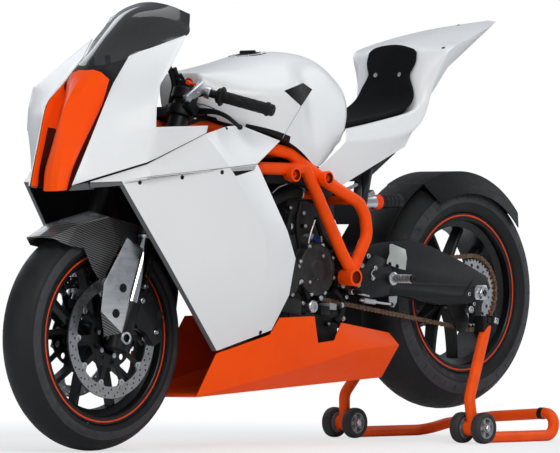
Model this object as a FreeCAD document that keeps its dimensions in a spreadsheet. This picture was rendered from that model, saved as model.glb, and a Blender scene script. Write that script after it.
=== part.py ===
import FreeCAD, Part
import math
import os

import Sketcher
from FreeCAD import Placement, Rotation, Vector

# A faired track motorcycle standing on a rear paddock stand.
# Frame: +X forward, +Y to the rider's left, +Z up, origin on the floor under the middle
# of the bike's length. The stand lifts the rear wheel, so the bike is pitched nose down.

# Driving sizes, in millimetres, and angles, in degrees.
SIZES = {
    "wheelbase": (1425, "axle to axle"),
    "rear_lift": (125, "rear axle above the front axle, on the stand"),
    "screen_height": (1200, "floor to the top of the screen"),
    "fairing_half_width": (240, "widest place of the fairing"),
    "rake_angle": (20, "fork from the vertical, as parked"),
    "front_tyre_radius": (300, "front tyre"),
    "front_tyre_half_width": (62, "front tyre"),
    "front_crown_drop": (52, "front tread, centre to edge"),
    "front_rim_half_width": (52, "front rim over its flanges"),
    "rear_tyre_radius": (335, "rear tyre"),
    "rear_tyre_half_width": (98, "rear tyre"),
    "rear_crown_drop": (76, "rear tread, centre to edge"),
    "rear_rim_half_width": (83, "rear rim over its flanges"),
    "bead_radius": (216, "17 inch bead seat"),
    "flange_height": (14, "rim flange above the bead seat"),
    "flange_thickness": (7, "rim flange"),
    "well_depth": (20, "rim well below the bead seat"),
    "rim_wall": (7, "rim under the bead seat"),
    "spoke_depth": (30, "wheel spokes along the axle"),
    "spoke_width": (17, "wheel spokes across"),
    "front_spoke_angle": (15, "between a front spoke's two limbs and its middle"),
    "rear_spoke_angle": (21, "between a rear spoke's two limbs and its middle"),
    "hub_radius": (46, "both wheel hubs"),
    "front_hub_half_width": (58, "front hub"),
    "rear_hub_half_width": (80, "rear hub"),
    "axle_radius": (12.5, "both axles"),
    "running_gap": (0.3, "clearance of a part that turns on another"),
    "seat_gap": (0.3, "clearance of a part that lies on another"),
    "disc_radius": (160, "front brake disc"),
    "disc_ring_width": (34, "front brake disc, friction ring"),
    "disc_thickness": (5, "front brake disc"),
    "disc_spread": (72, "middle plane to a front disc"),
    "bobbin_radius": (9, "disc bobbins"),
    "disc_pad_gap": (2.5, "disc to caliper"),
    "rear_disc_radius": (110, "rear brake disc"),
    "rear_disc_spread": (100, "middle plane to the rear disc"),
    "sprocket_radius": (106, "pitch circle of the rear sprocket"),
    "small_sprocket_radius": (38, "pitch circle of the gearbox sprocket"),
    "sprocket_spread": (111, "middle plane to the chain"),
    "sprocket_thickness": (5, "rear sprocket"),
    "chain_pitch": (15.875, "pin to pin"),
    "chain_half_width": (7, "chain over its plates"),
    "chain_half_height": (7.5, "chain plate"),
    "chain_sprocket_gap": (2, "chain plates above the sprocket"),
    "fork_spread": (105, "middle plane to a fork leg"),
    "fork_offset": (30, "fork legs ahead of the steering axis"),
    "slider_radius": (22, "bright fork tube"),
    "fork_tube_radius": (27, "black upper fork tube"),
    "foot_radius": (29, "axle foot of the fork"),
    "foot_top": (98, "axle foot above the axle, along the fork"),
    "yoke_thickness": (26, "yokes"),
    "yoke_wall": (10, "yoke round a fork tube"),
    "stem_radius": (17, "steering stem"),
    "head_bore_radius": (22, "steering head"),
    "head_radius": (34, "steering head"),
    "head_gap": (6, "steering head to each yoke"),
    "clip_gap": (20, "upper yoke to the handlebar clamps"),
    "clip_height": (30, "handlebar clamps"),
    "clip_wall": (9, "handlebar clamps"),
    "bar_radius": (11, "handlebars"),
    "grip_radius": (16.5, "grips"),
    "lever_radius": (6, "hand levers"),
    "panel_wall": (4, "fairing panels"),
    "screen_wall": (4, "windscreen"),
    "frame_tube_radius": (17, "trellis frame"),
    "brace_tube_radius": (12, "trellis frame, cross tubes"),
    "boss_radius": (15, "threaded bosses on the frame"),
    "boss_reach": (28, "threaded bosses, out from the tube's middle"),
    "boss_bore_radius": (8, "threaded bosses"),
    "boss_depth": (18, "threaded bosses"),
    "pivot_boss_radius": (23, "swingarm pivot"),
    "pivot_boss_length": (42, "swingarm pivot"),
    "pivot_shaft_radius": (10, "swingarm pivot"),
    "arm_inner_spread": (123, "middle plane to the inside of an arm"),
    "arm_thickness": (27, "swingarm arms"),
    "nut_radius": (19, "axle nuts"),
    "nut_length": (12, "axle nuts"),
    "engine_half_width": (117, "crankcase"),
    "cover_radius": (72, "engine side covers"),
    "cover_depth": (29, "engine side covers"),
    "cylinder_half_width": (88, "cylinders"),
    "pipe_radius": (22, "exhaust pipes"),
    "seat_foam": (18, "seat pads"),
    "cap_radius": (56, "fuel cap"),
    "cap_height": (14, "fuel cap"),
    "hugger_gap": (10, "tyre to the rear mudguard"),
    "hugger_wall": (4, "rear mudguard"),
    "plate_thickness": (7, "footrest plates"),
    "plate_spread": (158, "middle plane to a footrest plate"),
    "peg_radius": (11, "footrests"),
    "peg_length": (82, "footrests"),
    "stand_tube_radius": (16, "paddock stand"),
    "stand_bend_radius": (45, "paddock stand's bends"),
    "stand_spread": (243, "middle plane to the stand's side tubes"),
    "stand_wheel_radius": (44, "stand wheels"),
    "stand_wheel_width": (30, "stand wheels"),
    "stand_wheel_spread": (39, "side tube to the middle of each twin wheel"),
    "stand_axle_radius": (8, "stand wheels' axle"),
    "hook_thickness": (16, "stand hooks"),
    "bobbin_pin_radius": (9, "swingarm bobbins"),
    "cut_overrun": (5, "cuts past the piece"),
}
SPOKES = 5
BOBBINS = 10
TYRE_SIDES = 80
CROWN_ANGLES = (30, 60, 90)

doc = FreeCAD.newDocument("track_motorcycle")
sheet = doc.addObject("Spreadsheet::Sheet", "sizes")
for row, (alias, (value, meaning)) in enumerate(SIZES.items(), start=1):
    sheet.set(f"A{row}", meaning)
    sheet.set(f"B{row}", str(value))
    sheet.setAlias(f"B{row}", alias)
doc.recompute()


class Sizes:
    """The sheet's values by name."""

    def __getattr__(self, name):
        return float(sheet.get(name))


size = Sizes()
FRONT = "front"
REAR = "rear"
axle_run = math.sqrt(size.wheelbase**2 - size.rear_lift**2)
front_x = (axle_run + size.rear_tyre_radius - size.front_tyre_radius) / 2
FRONT_AXLE = Vector(front_x, 0, size.front_tyre_radius)
REAR_AXLE = Vector(front_x - axle_run, 0, size.front_tyre_radius + size.rear_lift)
REAR_AXLE_X = "-(sqrt(sizes.wheelbase ^ 2 - sizes.rear_lift ^ 2) - sizes.rear_tyre_radius"
REAR_AXLE_X += " + sizes.front_tyre_radius) / 2"
FRONT_AXLE_X = "(sqrt(sizes.wheelbase ^ 2 - sizes.rear_lift ^ 2) + sizes.rear_tyre_radius"
FRONT_AXLE_X += " - sizes.front_tyre_radius) / 2"
FORK_UP = Vector(-math.sin(math.radians(size.rake_angle)), 0,
                 math.cos(math.radians(size.rake_angle)))
FORK_AHEAD = Vector(FORK_UP.z, 0, -FORK_UP.x)
SIDEWAYS = Vector(0, 1, 0)

pieces = []


# Places and shapes


def spot(back_share, side_share, up_share):
    """A place: shares of the wheelbase behind the front axle, of the half width, of the height."""
    return Vector(
        front_x - back_share * size.wheelbase,
        side_share * size.fairing_half_width,
        up_share * size.screen_height,
    )


def fork_spot(rise, side=0, ahead=0):
    """A place along the fork, up from the front axle."""
    return FRONT_AXLE + FORK_UP * rise + SIDEWAYS * side + FORK_AHEAD * ahead


def rise_to(up_share):
    """How far up the fork a height lies, from the front axle."""
    return (up_share * size.screen_height - size.front_tyre_radius) / FORK_UP.z


def mirrored(place):
    return Vector(place.x, -place.y, place.z)


def both_sides(shape):
    """The shape and its mirror image, as separate solids."""
    other = shape.mirror(Vector(0, 0, 0), SIDEWAYS)
    return Part.makeCompound([shape, other])


def joined(shapes):
    """One solid from pieces that overlap."""
    first, *rest = shapes
    return first.fuse(rest).removeSplitter() if rest else first


def largest(shape):
    """The largest solid of a shape that cuts have split."""
    return max(shape.Solids, key=lambda solid: solid.Volume)


def stay(start, end, radius, things):
    """A bar from a start that carries it, up to the nearest face of the things it holds."""
    left = rod(start, end, radius).cut([doc.getObject(name).Shape for name in things])
    return min(left.Solids, key=lambda solid: (solid.CenterOfMass - start).Length)


def rod(start, end, radius):
    """A round bar."""
    return Part.makeCylinder(radius, (end - start).Length, start, end - start)


def ring(start, end, radius, bore):
    """A round bar with a hole along it."""
    return rod(start, end, radius).cut(rod(start, end, bore))


def tube(places, radius, bend):
    """A round bar through the places, with an arc of the bend radius at each corner."""
    edges = []
    here = places[0]
    for before, corner, after in zip(places, places[1:], places[2:]):
        to_before = (before - corner).normalize()
        to_after = (after - corner).normalize()
        half_turn = to_before.getAngle(to_after) / 2
        room = min((before - corner).Length, (after - corner).Length) * 0.48
        reach = min(bend / math.tan(half_turn), room)
        arc_radius = reach * math.tan(half_turn)
        arc_start = corner + to_before * reach
        arc_end = corner + to_after * reach
        middle = (to_before + to_after).normalize()
        arc_middle = corner + middle * (arc_radius / math.sin(half_turn) - arc_radius)
        edges.append(Part.LineSegment(here, arc_start).toShape())
        edges.append(Part.Arc(arc_start, arc_middle, arc_end).toShape())
        here = arc_end
    edges.append(Part.LineSegment(here, places[-1]).toShape())
    path = Part.Wire(edges)
    start = Part.Wire(Part.makeCircle(radius, places[0], places[1] - places[0]))
    return path.makePipeShell([start], True, False)


def plate(shares, inner, outer):
    """A plate along the bike: its side outline in shares, from one distance sideways to another."""
    corners = [spot(back, 0, up) + SIDEWAYS * inner for back, up in shares]
    face = Part.Face(Part.makePolygon(corners + corners[:1]))
    return face.extrude(SIDEWAYS * (outer - inner))


def triangles(faces):
    """Each face, named by its corners in order, as triangles."""
    for face in faces:
        for second, third in zip(face[1:], face[2:]):
            yield face[0], second, third


def with_other_side(places, faces):
    """The places and faces of the left half with those of the right half."""
    middle = {name for name, place in places.items() if place.y == 0}
    other = {name: name if name in middle else name + "_right" for name in places}
    both = dict(places)
    both.update({other[name]: mirrored(place) for name, place in places.items()})
    mirrored_faces = [
        tuple(other[name] for name in (face[0], *reversed(face[1:]))) for face in faces
    ]
    return both, list(faces) + mirrored_faces


def solid_of(faces_of_places):
    """A closed solid from triangles of places."""
    return closed_solid(
        [Part.Face(Part.makePolygon([a, b, c, a])) for a, b, c in faces_of_places]
    )


def closed_solid(faces):
    """A solid from the faces that close round it."""
    shell = Part.makeShell(faces)
    shell.sewShape()
    solid = Part.makeSolid(shell)
    if solid.Volume < 0:
        solid.reverse()
    return solid


def facet_block(places, faces):
    """A closed block from the facets of its left half."""
    places, faces = with_other_side(places, faces)
    return solid_of([[places[name] for name in three] for three in triangles(faces)])


def raised(places, faces, distance):
    """The places moved along the facets' normals, so that each facet moves by the distance."""
    normals = {name: [] for name in places}
    for three in triangles(faces):
        a, b, c = (places[name] for name in three)
        normal = (b - a).cross(c - a).normalize()
        for name in three:
            if all((normal - known).Length > 0.02 for known in normals[name]):
                normals[name].append(normal)
    moved = {}
    for name, place in places.items():
        if not normals[name]:
            continue
        total = Vector(0, 0, 0)
        for normal in normals[name]:
            total += normal
        total.normalize()
        lean = max(min(total.dot(normal) for normal in normals[name]), 0.5)
        moved[name] = place + total * (distance / lean)
    return moved


def facet_panel(places, faces, wall, lift=0):
    """A thin panel: its outer facets, lifted, and the same facets one wall further in."""
    outer = raised(places, faces, lift) if lift else places
    inner = raised(places, faces, lift - wall)
    threes = list(triangles(faces))
    skin = [[outer[name] for name in three] for three in threes]
    skin += [[inner[name] for name in reversed(three)] for three in threes]
    sides = {(three[i], three[(i + 1) % 3]) for three in threes for i in range(3)}
    for start, end in sides:
        if (end, start) not in sides:
            skin.append([outer[end], outer[start], inner[start]])
            skin.append([outer[end], inner[start], inner[end]])
    return solid_of(skin)


def faceted_ring(centre, outline, sides):
    """A ring of flat facets round an axle: its outline is distances along the axle and radii."""
    reach = 1 / math.cos(math.pi / sides)
    rings = []
    for step in range(sides):
        turn = math.pi * (2 * step + 1) / sides
        ray = Vector(math.cos(turn), 0, math.sin(turn)) * reach
        rings.append([centre + ray * radius + SIDEWAYS * along for along, radius in outline])
    faces = []
    for here, there in zip(rings, rings[1:] + rings[:1]):
        for corner in range(len(outline)):
            before = corner - 1
            places = [here[before], here[corner], there[corner], there[before], here[before]]
            faces.append(Part.Face(Part.makePolygon(places)))
    return closed_solid(faces)


def panel(shares, faces, wall, lift=0, whole=False):
    """A panel from a table of shares: one over both sides, or a left one and its mirror image."""
    places = {name: spot(*share) for name, share in shares.items()}
    if whole:
        places, faces = with_other_side(places, faces)
        return facet_panel(places, faces, wall, lift)
    return both_sides(facet_panel(places, faces, wall, lift))


# Objects of the document


def keep(thing, name):
    """A sub-part that is written out under its name."""
    thing.Label = name
    pieces.append(thing)
    return thing


def add_shape(name, shape):
    thing = doc.addObject("Part::Feature", name)
    thing.Shape = shape
    return keep(thing, name)


def origin_part(body, role):
    return next(part for part in body.Origin.OriginFeatures if part.Role == role)


def outline_sketch(body, role, name, corners):
    """A closed outline on one of the body's planes, each corner bound to two formulas."""
    sketch = body.newObject("Sketcher::SketchObject", name)
    sketch.AttachmentSupport = [(origin_part(body, role), "")]
    sketch.MapMode = "FlatFace"
    values = [
        Vector(float(sheet.evalExpression(across)), float(sheet.evalExpression(up)), 0)
        for across, up in corners
    ]
    count = len(corners)
    for corner in range(count):
        sketch.addGeometry(Part.LineSegment(values[corner], values[(corner + 1) % count]), False)
    for corner in range(count):
        following = (corner + 1) % count
        sketch.addConstraint(Sketcher.Constraint("Coincident", corner, 2, following, 1))
    for corner, (across, up) in enumerate(corners):
        for kind, value, formula in (
            ("DistanceX", values[corner].x, across),
            ("DistanceY", values[corner].y, up),
        ):
            number = sketch.addConstraint(Sketcher.Constraint(kind, -1, 1, corner, 1, value))
            sketch.setExpression(f"Constraints[{number}]", formula)
    return sketch


def circle_sketch(body, role, name, circles):
    """Circles on one of the body's planes: across, up and radius, each a formula."""
    sketch = body.newObject("Sketcher::SketchObject", name)
    sketch.AttachmentSupport = [(origin_part(body, role), "")]
    sketch.MapMode = "FlatFace"
    for number, formulas in enumerate(circles):
        across, up, radius = (float(sheet.evalExpression(formula)) for formula in formulas)
        sketch.addGeometry(Part.Circle(Vector(across, up, 0), Vector(0, 0, 1), radius), False)
        for kind, value, formula in (
            ("DistanceX", across, formulas[0]),
            ("DistanceY", up, formulas[1]),
        ):
            place = sketch.addConstraint(Sketcher.Constraint(kind, -1, 1, number, 3, value))
            sketch.setExpression(f"Constraints[{place}]", formula)
        place = sketch.addConstraint(Sketcher.Constraint("Radius", number, radius))
        sketch.setExpression(f"Constraints[{place}]", formulas[2])
    return sketch


def both_halves(half):
    """A lathe outline from its left half: each corner a distance along the axle and a radius."""
    return half + [(f"-({along})", radius) for along, radius in reversed(half)]


def turned(body, name, corners):
    """A feature turned about the body's Y axis."""
    feature = body.newObject("PartDesign::Revolution", name)
    feature.Profile = outline_sketch(body, "YZ_Plane", name + "_outline", corners)
    feature.ReferenceAxis = (feature.Profile[0], ["H_Axis"])
    return feature


def padded_both_ways(body, name, sketch, length):
    """A pad of the sketch's outline to both sides of its plane."""
    feature = body.newObject("PartDesign::Pad", name)
    feature.Profile = sketch
    feature.SideType = "Symmetric"
    feature.setExpression("Length", length)
    return feature


def polar(body, name, feature, copies):
    """Copies of a feature round the body's Y axis."""
    pattern = body.newObject("PartDesign::PolarPattern", name)
    pattern.Originals = [feature]
    pattern.Axis = (origin_part(body, "Y_Axis"), [""])
    pattern.Angle = 360
    pattern.Occurrences = copies
    body.Tip = pattern
    return pattern


def body_at(name, across_formula, up_formula, side_formula="0"):
    """A body whose origin lies on an axle."""
    body = doc.addObject("PartDesign::Body", name)
    body.setExpression("Placement.Base.x", across_formula)
    body.setExpression("Placement.Base.y", side_formula)
    body.setExpression("Placement.Base.z", up_formula)
    return body


def axle_of(end):
    """The formulas of an axle's place."""
    if end == FRONT:
        return FRONT_AXLE_X, "sizes.front_tyre_radius"
    return REAR_AXLE_X, "sizes.front_tyre_radius + sizes.rear_lift"


def turned_piece(name, end, corners, side_formula="0"):
    """A sub-part that is one lathe outline round an axle."""
    body = body_at(name, *axle_of(end), side_formula)
    turned(body, name + "_lathe", corners)
    return keep(body, name)


def round_bar(name, end, radius, low_side, length):
    """A bar along an axle, from a distance sideways."""
    bar = doc.addObject("Part::Cylinder", name)
    bar.Placement = Placement(Vector(0, 0, 0), Rotation(Vector(0, 0, 1), SIDEWAYS))
    across, up = axle_of(end)
    bar.setExpression("Placement.Base.x", across)
    bar.setExpression("Placement.Base.y", low_side)
    bar.setExpression("Placement.Base.z", up)
    bar.setExpression("Radius", radius)
    bar.setExpression("Height", length)
    return bar


def fuse_of(name, things):
    fuse = doc.addObject("Part::MultiFuse", name)
    fuse.Shapes = things
    return keep(fuse, name)


# Wheels


def tyre(end):
    """A slick tyre: crown, flanks, and the opening that seats on the rim."""

    def its(name):
        return getattr(size, f"{end}_{name}")

    half = [(0, its("tyre_radius"))]
    for angle in CROWN_ANGLES:
        turn = math.radians(angle)
        drop = its("crown_drop") * (1 - math.cos(turn))
        half.append((its("tyre_half_width") * math.sin(turn), its("tyre_radius") - drop))
    inside = its("rim_half_width") - size.flange_thickness - size.seat_gap
    half.append((inside, size.bead_radius + size.flange_height + size.flange_thickness))
    half.append((inside, size.bead_radius + size.seat_gap))
    outline = half + [(-along, radius) for along, radius in reversed(half[1:])]
    centre = FRONT_AXLE if end == FRONT else REAR_AXLE
    add_shape(f"{end}_tyre", faceted_ring(centre, outline, TYRE_SIDES))


def rim(end):
    """A cast wheel: rim, hub and split spokes."""
    body = body_at(f"{end}_rim", *axle_of(end))
    bore = "sizes.axle_radius + sizes.running_gap"
    hub = [(f"sizes.{end}_hub_half_width", "sizes.hub_radius"),
           (f"sizes.{end}_hub_half_width", bore)]
    turned(body, f"{end}_hub", both_halves(hub))
    reach = "(sizes.bead_radius - sizes.well_depth - sizes.rim_wall / 2)"
    half = "sizes.spoke_width / 2"

    def at(turn, radius, aside):
        """A corner of a spoke: on a ray at an angle, and a distance beside the ray."""
        sine = round(math.sin(math.radians(turn)), 4)
        cosine = round(math.cos(math.radians(turn)), 4)
        return (
            f"{radius} * {sine} + ({aside}) * {cosine}",
            f"{radius} * {cosine} - ({aside}) * {sine}",
        )

    spread = getattr(size, f"{end}_spoke_angle")
    corners = [
        at(-spread, reach, f"-{half}"),
        at(-spread, reach, half),
        at(0, "sizes.hub_radius * 1.75", "0"),
        at(spread, reach, f"-{half}"),
        at(spread, reach, half),
        at(0, "sizes.hub_radius * 0.7", half),
        at(0, "sizes.hub_radius * 0.7", f"-{half}"),
    ]
    sketch = outline_sketch(body, "XZ_Plane", f"{end}_spoke_outline", corners)
    spoke = padded_both_ways(body, f"{end}_spoke", sketch, "sizes.spoke_depth")
    polar(body, f"{end}_spokes", spoke, SPOKES)
    width = f"sizes.{end}_rim_half_width"
    seat_edge = f"{width} - sizes.flange_thickness"
    well_edge = f"{width} - sizes.flange_thickness - sizes.well_depth"
    flange = "sizes.bead_radius + sizes.flange_height"
    well = "sizes.bead_radius - sizes.well_depth"
    section = [
        (f"{well_edge} - sizes.rim_wall", well),
        (well_edge, "sizes.bead_radius"),
        (seat_edge, "sizes.bead_radius"),
        (seat_edge, flange),
        (width, flange),
        (width, "sizes.bead_radius - sizes.rim_wall"),
        (f"{well_edge} + sizes.rim_wall / 2", "sizes.bead_radius - sizes.rim_wall"),
        (f"{well_edge} - sizes.rim_wall / 2", "sizes.bead_radius - sizes.well_depth - sizes.rim_wall"),
    ]
    body.Tip = turned(body, f"{end}_rim_ring", both_halves(section))
    keep(body, f"{end}_rim")


def front_discs():
    """Two floating brake discs: friction ring, bobbins and carrier."""
    sides = []
    for name, sign in (("left", ""), ("right", "-")):
        middle = f"{sign}sizes.disc_spread"
        body = body_at(f"front_disc_{name}", *axle_of(FRONT), middle)
        half = "sizes.disc_thickness / 2"
        inner = "sizes.disc_radius - sizes.disc_ring_width"
        turned(body, f"disc_{name}_ring", both_halves([(half, "sizes.disc_radius"), (half, inner)]))
        pin = circle_sketch(
            body, "XZ_Plane", f"disc_{name}_bobbin_outline",
            [("0", f"{inner} - sizes.bobbin_radius / 2", "sizes.bobbin_radius")],
        )
        bobbin = padded_both_ways(body, f"disc_{name}_bobbin", pin, "sizes.disc_thickness * 1.6")
        polar(body, f"disc_{name}_bobbins", bobbin, BOBBINS)
        rim_edge = f"{inner} - sizes.bobbin_radius"
        carrier = [(half, rim_edge), (half, "sizes.hub_radius * 1.6")]
        body.Tip = turned(body, f"disc_{name}_carrier", both_halves(carrier))
        hub_side = f"{sign or '+'}(sizes.front_hub_half_width - sizes.disc_spread)"
        cup = [
            (half, "sizes.hub_radius * 1.7") if not sign else (f"-{half}", "sizes.hub_radius * 1.7"),
            (half, "sizes.hub_radius * 0.8") if not sign else (f"-{half}", "sizes.hub_radius * 0.8"),
            (f"0{hub_side}", "sizes.hub_radius * 0.8"),
            (f"0{hub_side}", "sizes.hub_radius"),
        ]
        body.Tip = turned(body, f"disc_{name}_cup", cup)
        sides.append(body)
    both = doc.addObject("Part::Compound", "front_discs")
    both.Links = sides
    keep(both, "front_discs")


def rear_disc():
    """The rear brake disc on the right."""
    half = "sizes.disc_thickness / 2"
    reach = "sizes.rear_disc_spread - sizes.rear_hub_half_width"
    corners = [
        ("-" + half, "sizes.rear_disc_radius"),
        (half, "sizes.rear_disc_radius"),
        (half, "sizes.hub_radius"),
        (reach, "sizes.hub_radius"),
        (reach, "sizes.hub_radius * 0.7"),
        ("-" + half, "sizes.hub_radius * 0.7"),
    ]
    turned_piece("rear_disc", REAR, corners, "-sizes.rear_disc_spread")


def rear_sprocket():
    """The rear sprocket, inside the chain, on its carrier."""
    half = "sizes.sprocket_thickness / 2"
    edge = "sizes.sprocket_radius - sizes.chain_half_height - sizes.chain_sprocket_gap"
    reach = "-(sizes.sprocket_spread - sizes.rear_hub_half_width)"
    corners = [
        (half, edge),
        ("-" + half, edge),
        ("-" + half, "sizes.hub_radius * 1.3"),
        (reach, "sizes.hub_radius"),
        (reach, "sizes.hub_radius * 0.7"),
        (half, "sizes.hub_radius * 0.7"),
    ]
    turned_piece("rear_sprocket", REAR, corners, "sizes.sprocket_spread")


def axles():
    """The two wheel axles with their nuts."""
    half = "sizes.fork_spread + sizes.foot_radius * 0.45"
    bar = round_bar("front_axle_bar", FRONT, "sizes.axle_radius", f"-({half})", f"2 * ({half})")
    nut = round_bar("front_axle_nut", FRONT, "sizes.nut_radius", half, "sizes.nut_length")
    length = "sizes.fork_spread - sizes.foot_radius - sizes.front_hub_half_width"
    spacers = [
        round_bar("front_spacer_" + name, FRONT, "sizes.nut_radius", low,
                  length + " - sizes.cut_overrun / 5")
        for name, low in (
            ("left", "sizes.front_hub_half_width + sizes.cut_overrun / 5"),
            ("right", "-(sizes.fork_spread - sizes.foot_radius)"),
        )
    ]
    fuse_of("front_axle", [bar, nut, *spacers])
    half = "sizes.arm_inner_spread + sizes.arm_thickness"
    bar = round_bar("rear_axle_bar", REAR, "sizes.axle_radius", f"-({half})", f"2 * ({half})")
    nut = round_bar("rear_axle_nut", REAR, "sizes.nut_radius * 1.2", half, "sizes.nut_length")
    other = round_bar("rear_axle_head", REAR, "sizes.nut_radius", f"-({half}) - sizes.nut_length",
                      "sizes.nut_length")
    spacers = [
        round_bar("rear_spacer_" + name, REAR, "sizes.nut_radius", low,
                  "sizes.arm_inner_spread - sizes.rear_hub_half_width - sizes.cut_overrun / 5")
        for name, low in (
            ("left", "sizes.rear_hub_half_width + sizes.cut_overrun / 5"),
            ("right", "-sizes.arm_inner_spread"),
        )
    ]
    fuse_of("rear_axle", [bar, nut, other, *spacers])


def chain():
    """The chain as one loop, its outer edge stepped link by link."""
    gearbox = spot(*GEARBOX_SPROCKET_SHARES)
    gearbox.y = 0
    span = gearbox - REAR_AXLE
    lean = math.atan2(span.z, span.x)
    dip = math.asin((size.sprocket_radius - size.small_sprocket_radius) / span.Length)
    big, small = size.sprocket_radius, size.small_sprocket_radius
    straight = span.Length * math.cos(dip)
    big_turn = math.pi + 2 * dip
    small_turn = math.pi - 2 * dip
    length = 2 * straight + big * big_turn + small * small_turn
    links = 2 * round(length / size.chain_pitch / 2)

    def along(distance, offset):
        """A place a distance round the loop, and out from its middle line."""
        distance = distance % length
        if distance < big * big_turn:
            turn = lean + math.pi / 2 - dip + distance / big
            return REAR_AXLE + Vector(math.cos(turn), 0, math.sin(turn)) * (big + offset)
        distance -= big * big_turn
        if distance < straight:
            turn = lean - math.pi / 2 + dip
            foot = REAR_AXLE + Vector(math.cos(turn), 0, math.sin(turn)) * (big + offset)
            return foot + Vector(-math.sin(turn), 0, math.cos(turn)) * distance
        distance -= straight
        if distance < small * small_turn:
            turn = lean - math.pi / 2 + dip + distance / small
            return gearbox + Vector(math.cos(turn), 0, math.sin(turn)) * (small + offset)
        distance -= small * small_turn
        turn = lean + math.pi / 2 - dip
        foot = gearbox + Vector(math.cos(turn), 0, math.sin(turn)) * (small + offset)
        return foot + Vector(-math.sin(turn), 0, math.cos(turn)) * distance

    waist = size.chain_half_height * 0.7
    outer = []
    for link in range(links):
        outer.append(along(length * link / links, size.chain_half_height))
        outer.append(along(length * (link + 0.5) / links, waist))
    corners = [0, big * big_turn, big * big_turn + straight, length - straight]
    inner = [along(big * big_turn * step / 16, -size.chain_half_height) for step in range(17)]
    inner += [
        along(corners[2] + small * small_turn * step / 10, -size.chain_half_height)
        for step in range(11)
    ]
    outer_face = Part.Face(Part.makePolygon(outer + outer[:1]))
    inner_face = Part.Face(Part.makePolygon(inner + inner[:1]))
    loop = outer_face.cut(inner_face)
    loop.translate(SIDEWAYS * (size.sprocket_spread - size.chain_half_width))
    add_shape("chain", loop.extrude(SIDEWAYS * 2 * size.chain_half_width))


GEARBOX_SPROCKET_SHARES = (0.53, 0, 0.3717)
CHAIN_ROOM_SHARES = [(0.53, 0.4155), (0.6, 0.42), (0.6, 0.315), (0.53, 0.32)]


# Fork and steering


FORK_HEIGHT_SHARES = {"tube_foot": 0.4732, "lower_yoke": 0.6039, "upper_yoke": 0.7512}
TUBE_FOOT = rise_to(FORK_HEIGHT_SHARES["tube_foot"])
LOWER_YOKE = rise_to(FORK_HEIGHT_SHARES["lower_yoke"])
UPPER_YOKE = rise_to(FORK_HEIGHT_SHARES["upper_yoke"])
HEAD_LOW = LOWER_YOKE + size.yoke_thickness / 2 + size.head_gap
HEAD_HIGH = UPPER_YOKE - size.yoke_thickness / 2 - size.head_gap
CLIP = UPPER_YOKE + size.yoke_thickness / 2 + size.clip_gap + size.clip_height / 2
TUBE_TOP = CLIP + size.clip_height / 2 + size.clip_wall


def fork():
    """Feet, bright tubes and black upper tubes of the two legs, and the yokes."""
    side = size.fork_spread
    foot = rod(fork_spot(-size.foot_radius * 1.2, side), fork_spot(size.foot_top, side),
               size.foot_radius)
    lug_radius = size.foot_radius * 0.3
    shapes = [foot]
    for rise, back, up in GUARD_LUG_SHARES:
        bolt = spot(back, 0, up) + SIDEWAYS * side
        shapes.append(rod(fork_spot(rise * size.foot_top, side), bolt, lug_radius))
        shapes.append(rod(bolt - SIDEWAYS * lug_radius, bolt + SIDEWAYS * size.foot_radius, lug_radius))
    foot = joined(shapes)
    nut_seat = size.fork_spread + size.foot_radius * 0.45
    foot = foot.cut(rod(FRONT_AXLE + SIDEWAYS * nut_seat, FRONT_AXLE + SIDEWAYS * nut_seat * 2,
                        size.nut_radius + size.seat_gap))
    foot = foot.cut(rod(fork_spot(size.foot_top - size.foot_radius, side),
                        fork_spot(UPPER_YOKE, side), size.slider_radius + size.seat_gap))
    foot = foot.cut(rod(FRONT_AXLE, FRONT_AXLE + SIDEWAYS * 2 * side, size.axle_radius + size.seat_gap))
    add_shape("fork_feet", both_sides(foot))
    slider = rod(fork_spot(size.foot_top - size.foot_radius, side),
                 fork_spot(UPPER_YOKE, side), size.slider_radius)
    add_shape("fork_sliders", both_sides(slider))
    upper = ring(fork_spot(TUBE_FOOT, side), fork_spot(TUBE_TOP, side),
                 size.fork_tube_radius, size.slider_radius + size.seat_gap)
    add_shape("fork_tubes", both_sides(upper))


def yoke(rise):
    """One yoke: two rings, a bridge and the seat of the stem."""
    half = size.yoke_thickness / 2
    outer = size.fork_tube_radius + size.yoke_wall
    low, high = rise - half, rise + half
    ends = [fork_spot(low, side) for side in (size.fork_spread, -size.fork_spread)]
    shapes = [rod(end, end + FORK_UP * size.yoke_thickness, outer) for end in ends]
    back = -size.fork_offset - size.stem_radius - size.yoke_wall
    front = size.fork_tube_radius * 0.4
    corners = [
        fork_spot(low, size.fork_spread, front),
        fork_spot(low, size.fork_spread, -size.fork_tube_radius),
        fork_spot(low, size.stem_radius * 2, back),
        fork_spot(low, -size.stem_radius * 2, back),
        fork_spot(low, -size.fork_spread, -size.fork_tube_radius),
        fork_spot(low, -size.fork_spread, front),
    ]
    bridge = Part.Face(Part.makePolygon(corners + corners[:1]))
    shapes.append(bridge.extrude(FORK_UP * size.yoke_thickness))
    shape = joined(shapes)
    for side in (size.fork_spread, -size.fork_spread):
        hole = rod(fork_spot(low - size.cut_overrun, side), fork_spot(high + size.cut_overrun, side),
                   size.fork_tube_radius + size.seat_gap)
        shape = shape.cut(hole)
    return shape


def yokes():
    """The two yokes and the stem between them."""
    stem = rod(fork_spot(LOWER_YOKE, 0, -size.fork_offset),
               fork_spot(UPPER_YOKE, 0, -size.fork_offset), size.stem_radius)
    shapes = [yoke(LOWER_YOKE), yoke(UPPER_YOKE), stem]
    bearing = size.head_bore_radius - size.running_gap
    for rise, way in ((HEAD_LOW, 1), (HEAD_HIGH, -1)):
        start = fork_spot(rise, 0, -size.fork_offset)
        shapes.append(rod(start, start + FORK_UP * way * size.yoke_thickness / 2, bearing))
    add_shape("yokes", joined(shapes))


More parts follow.
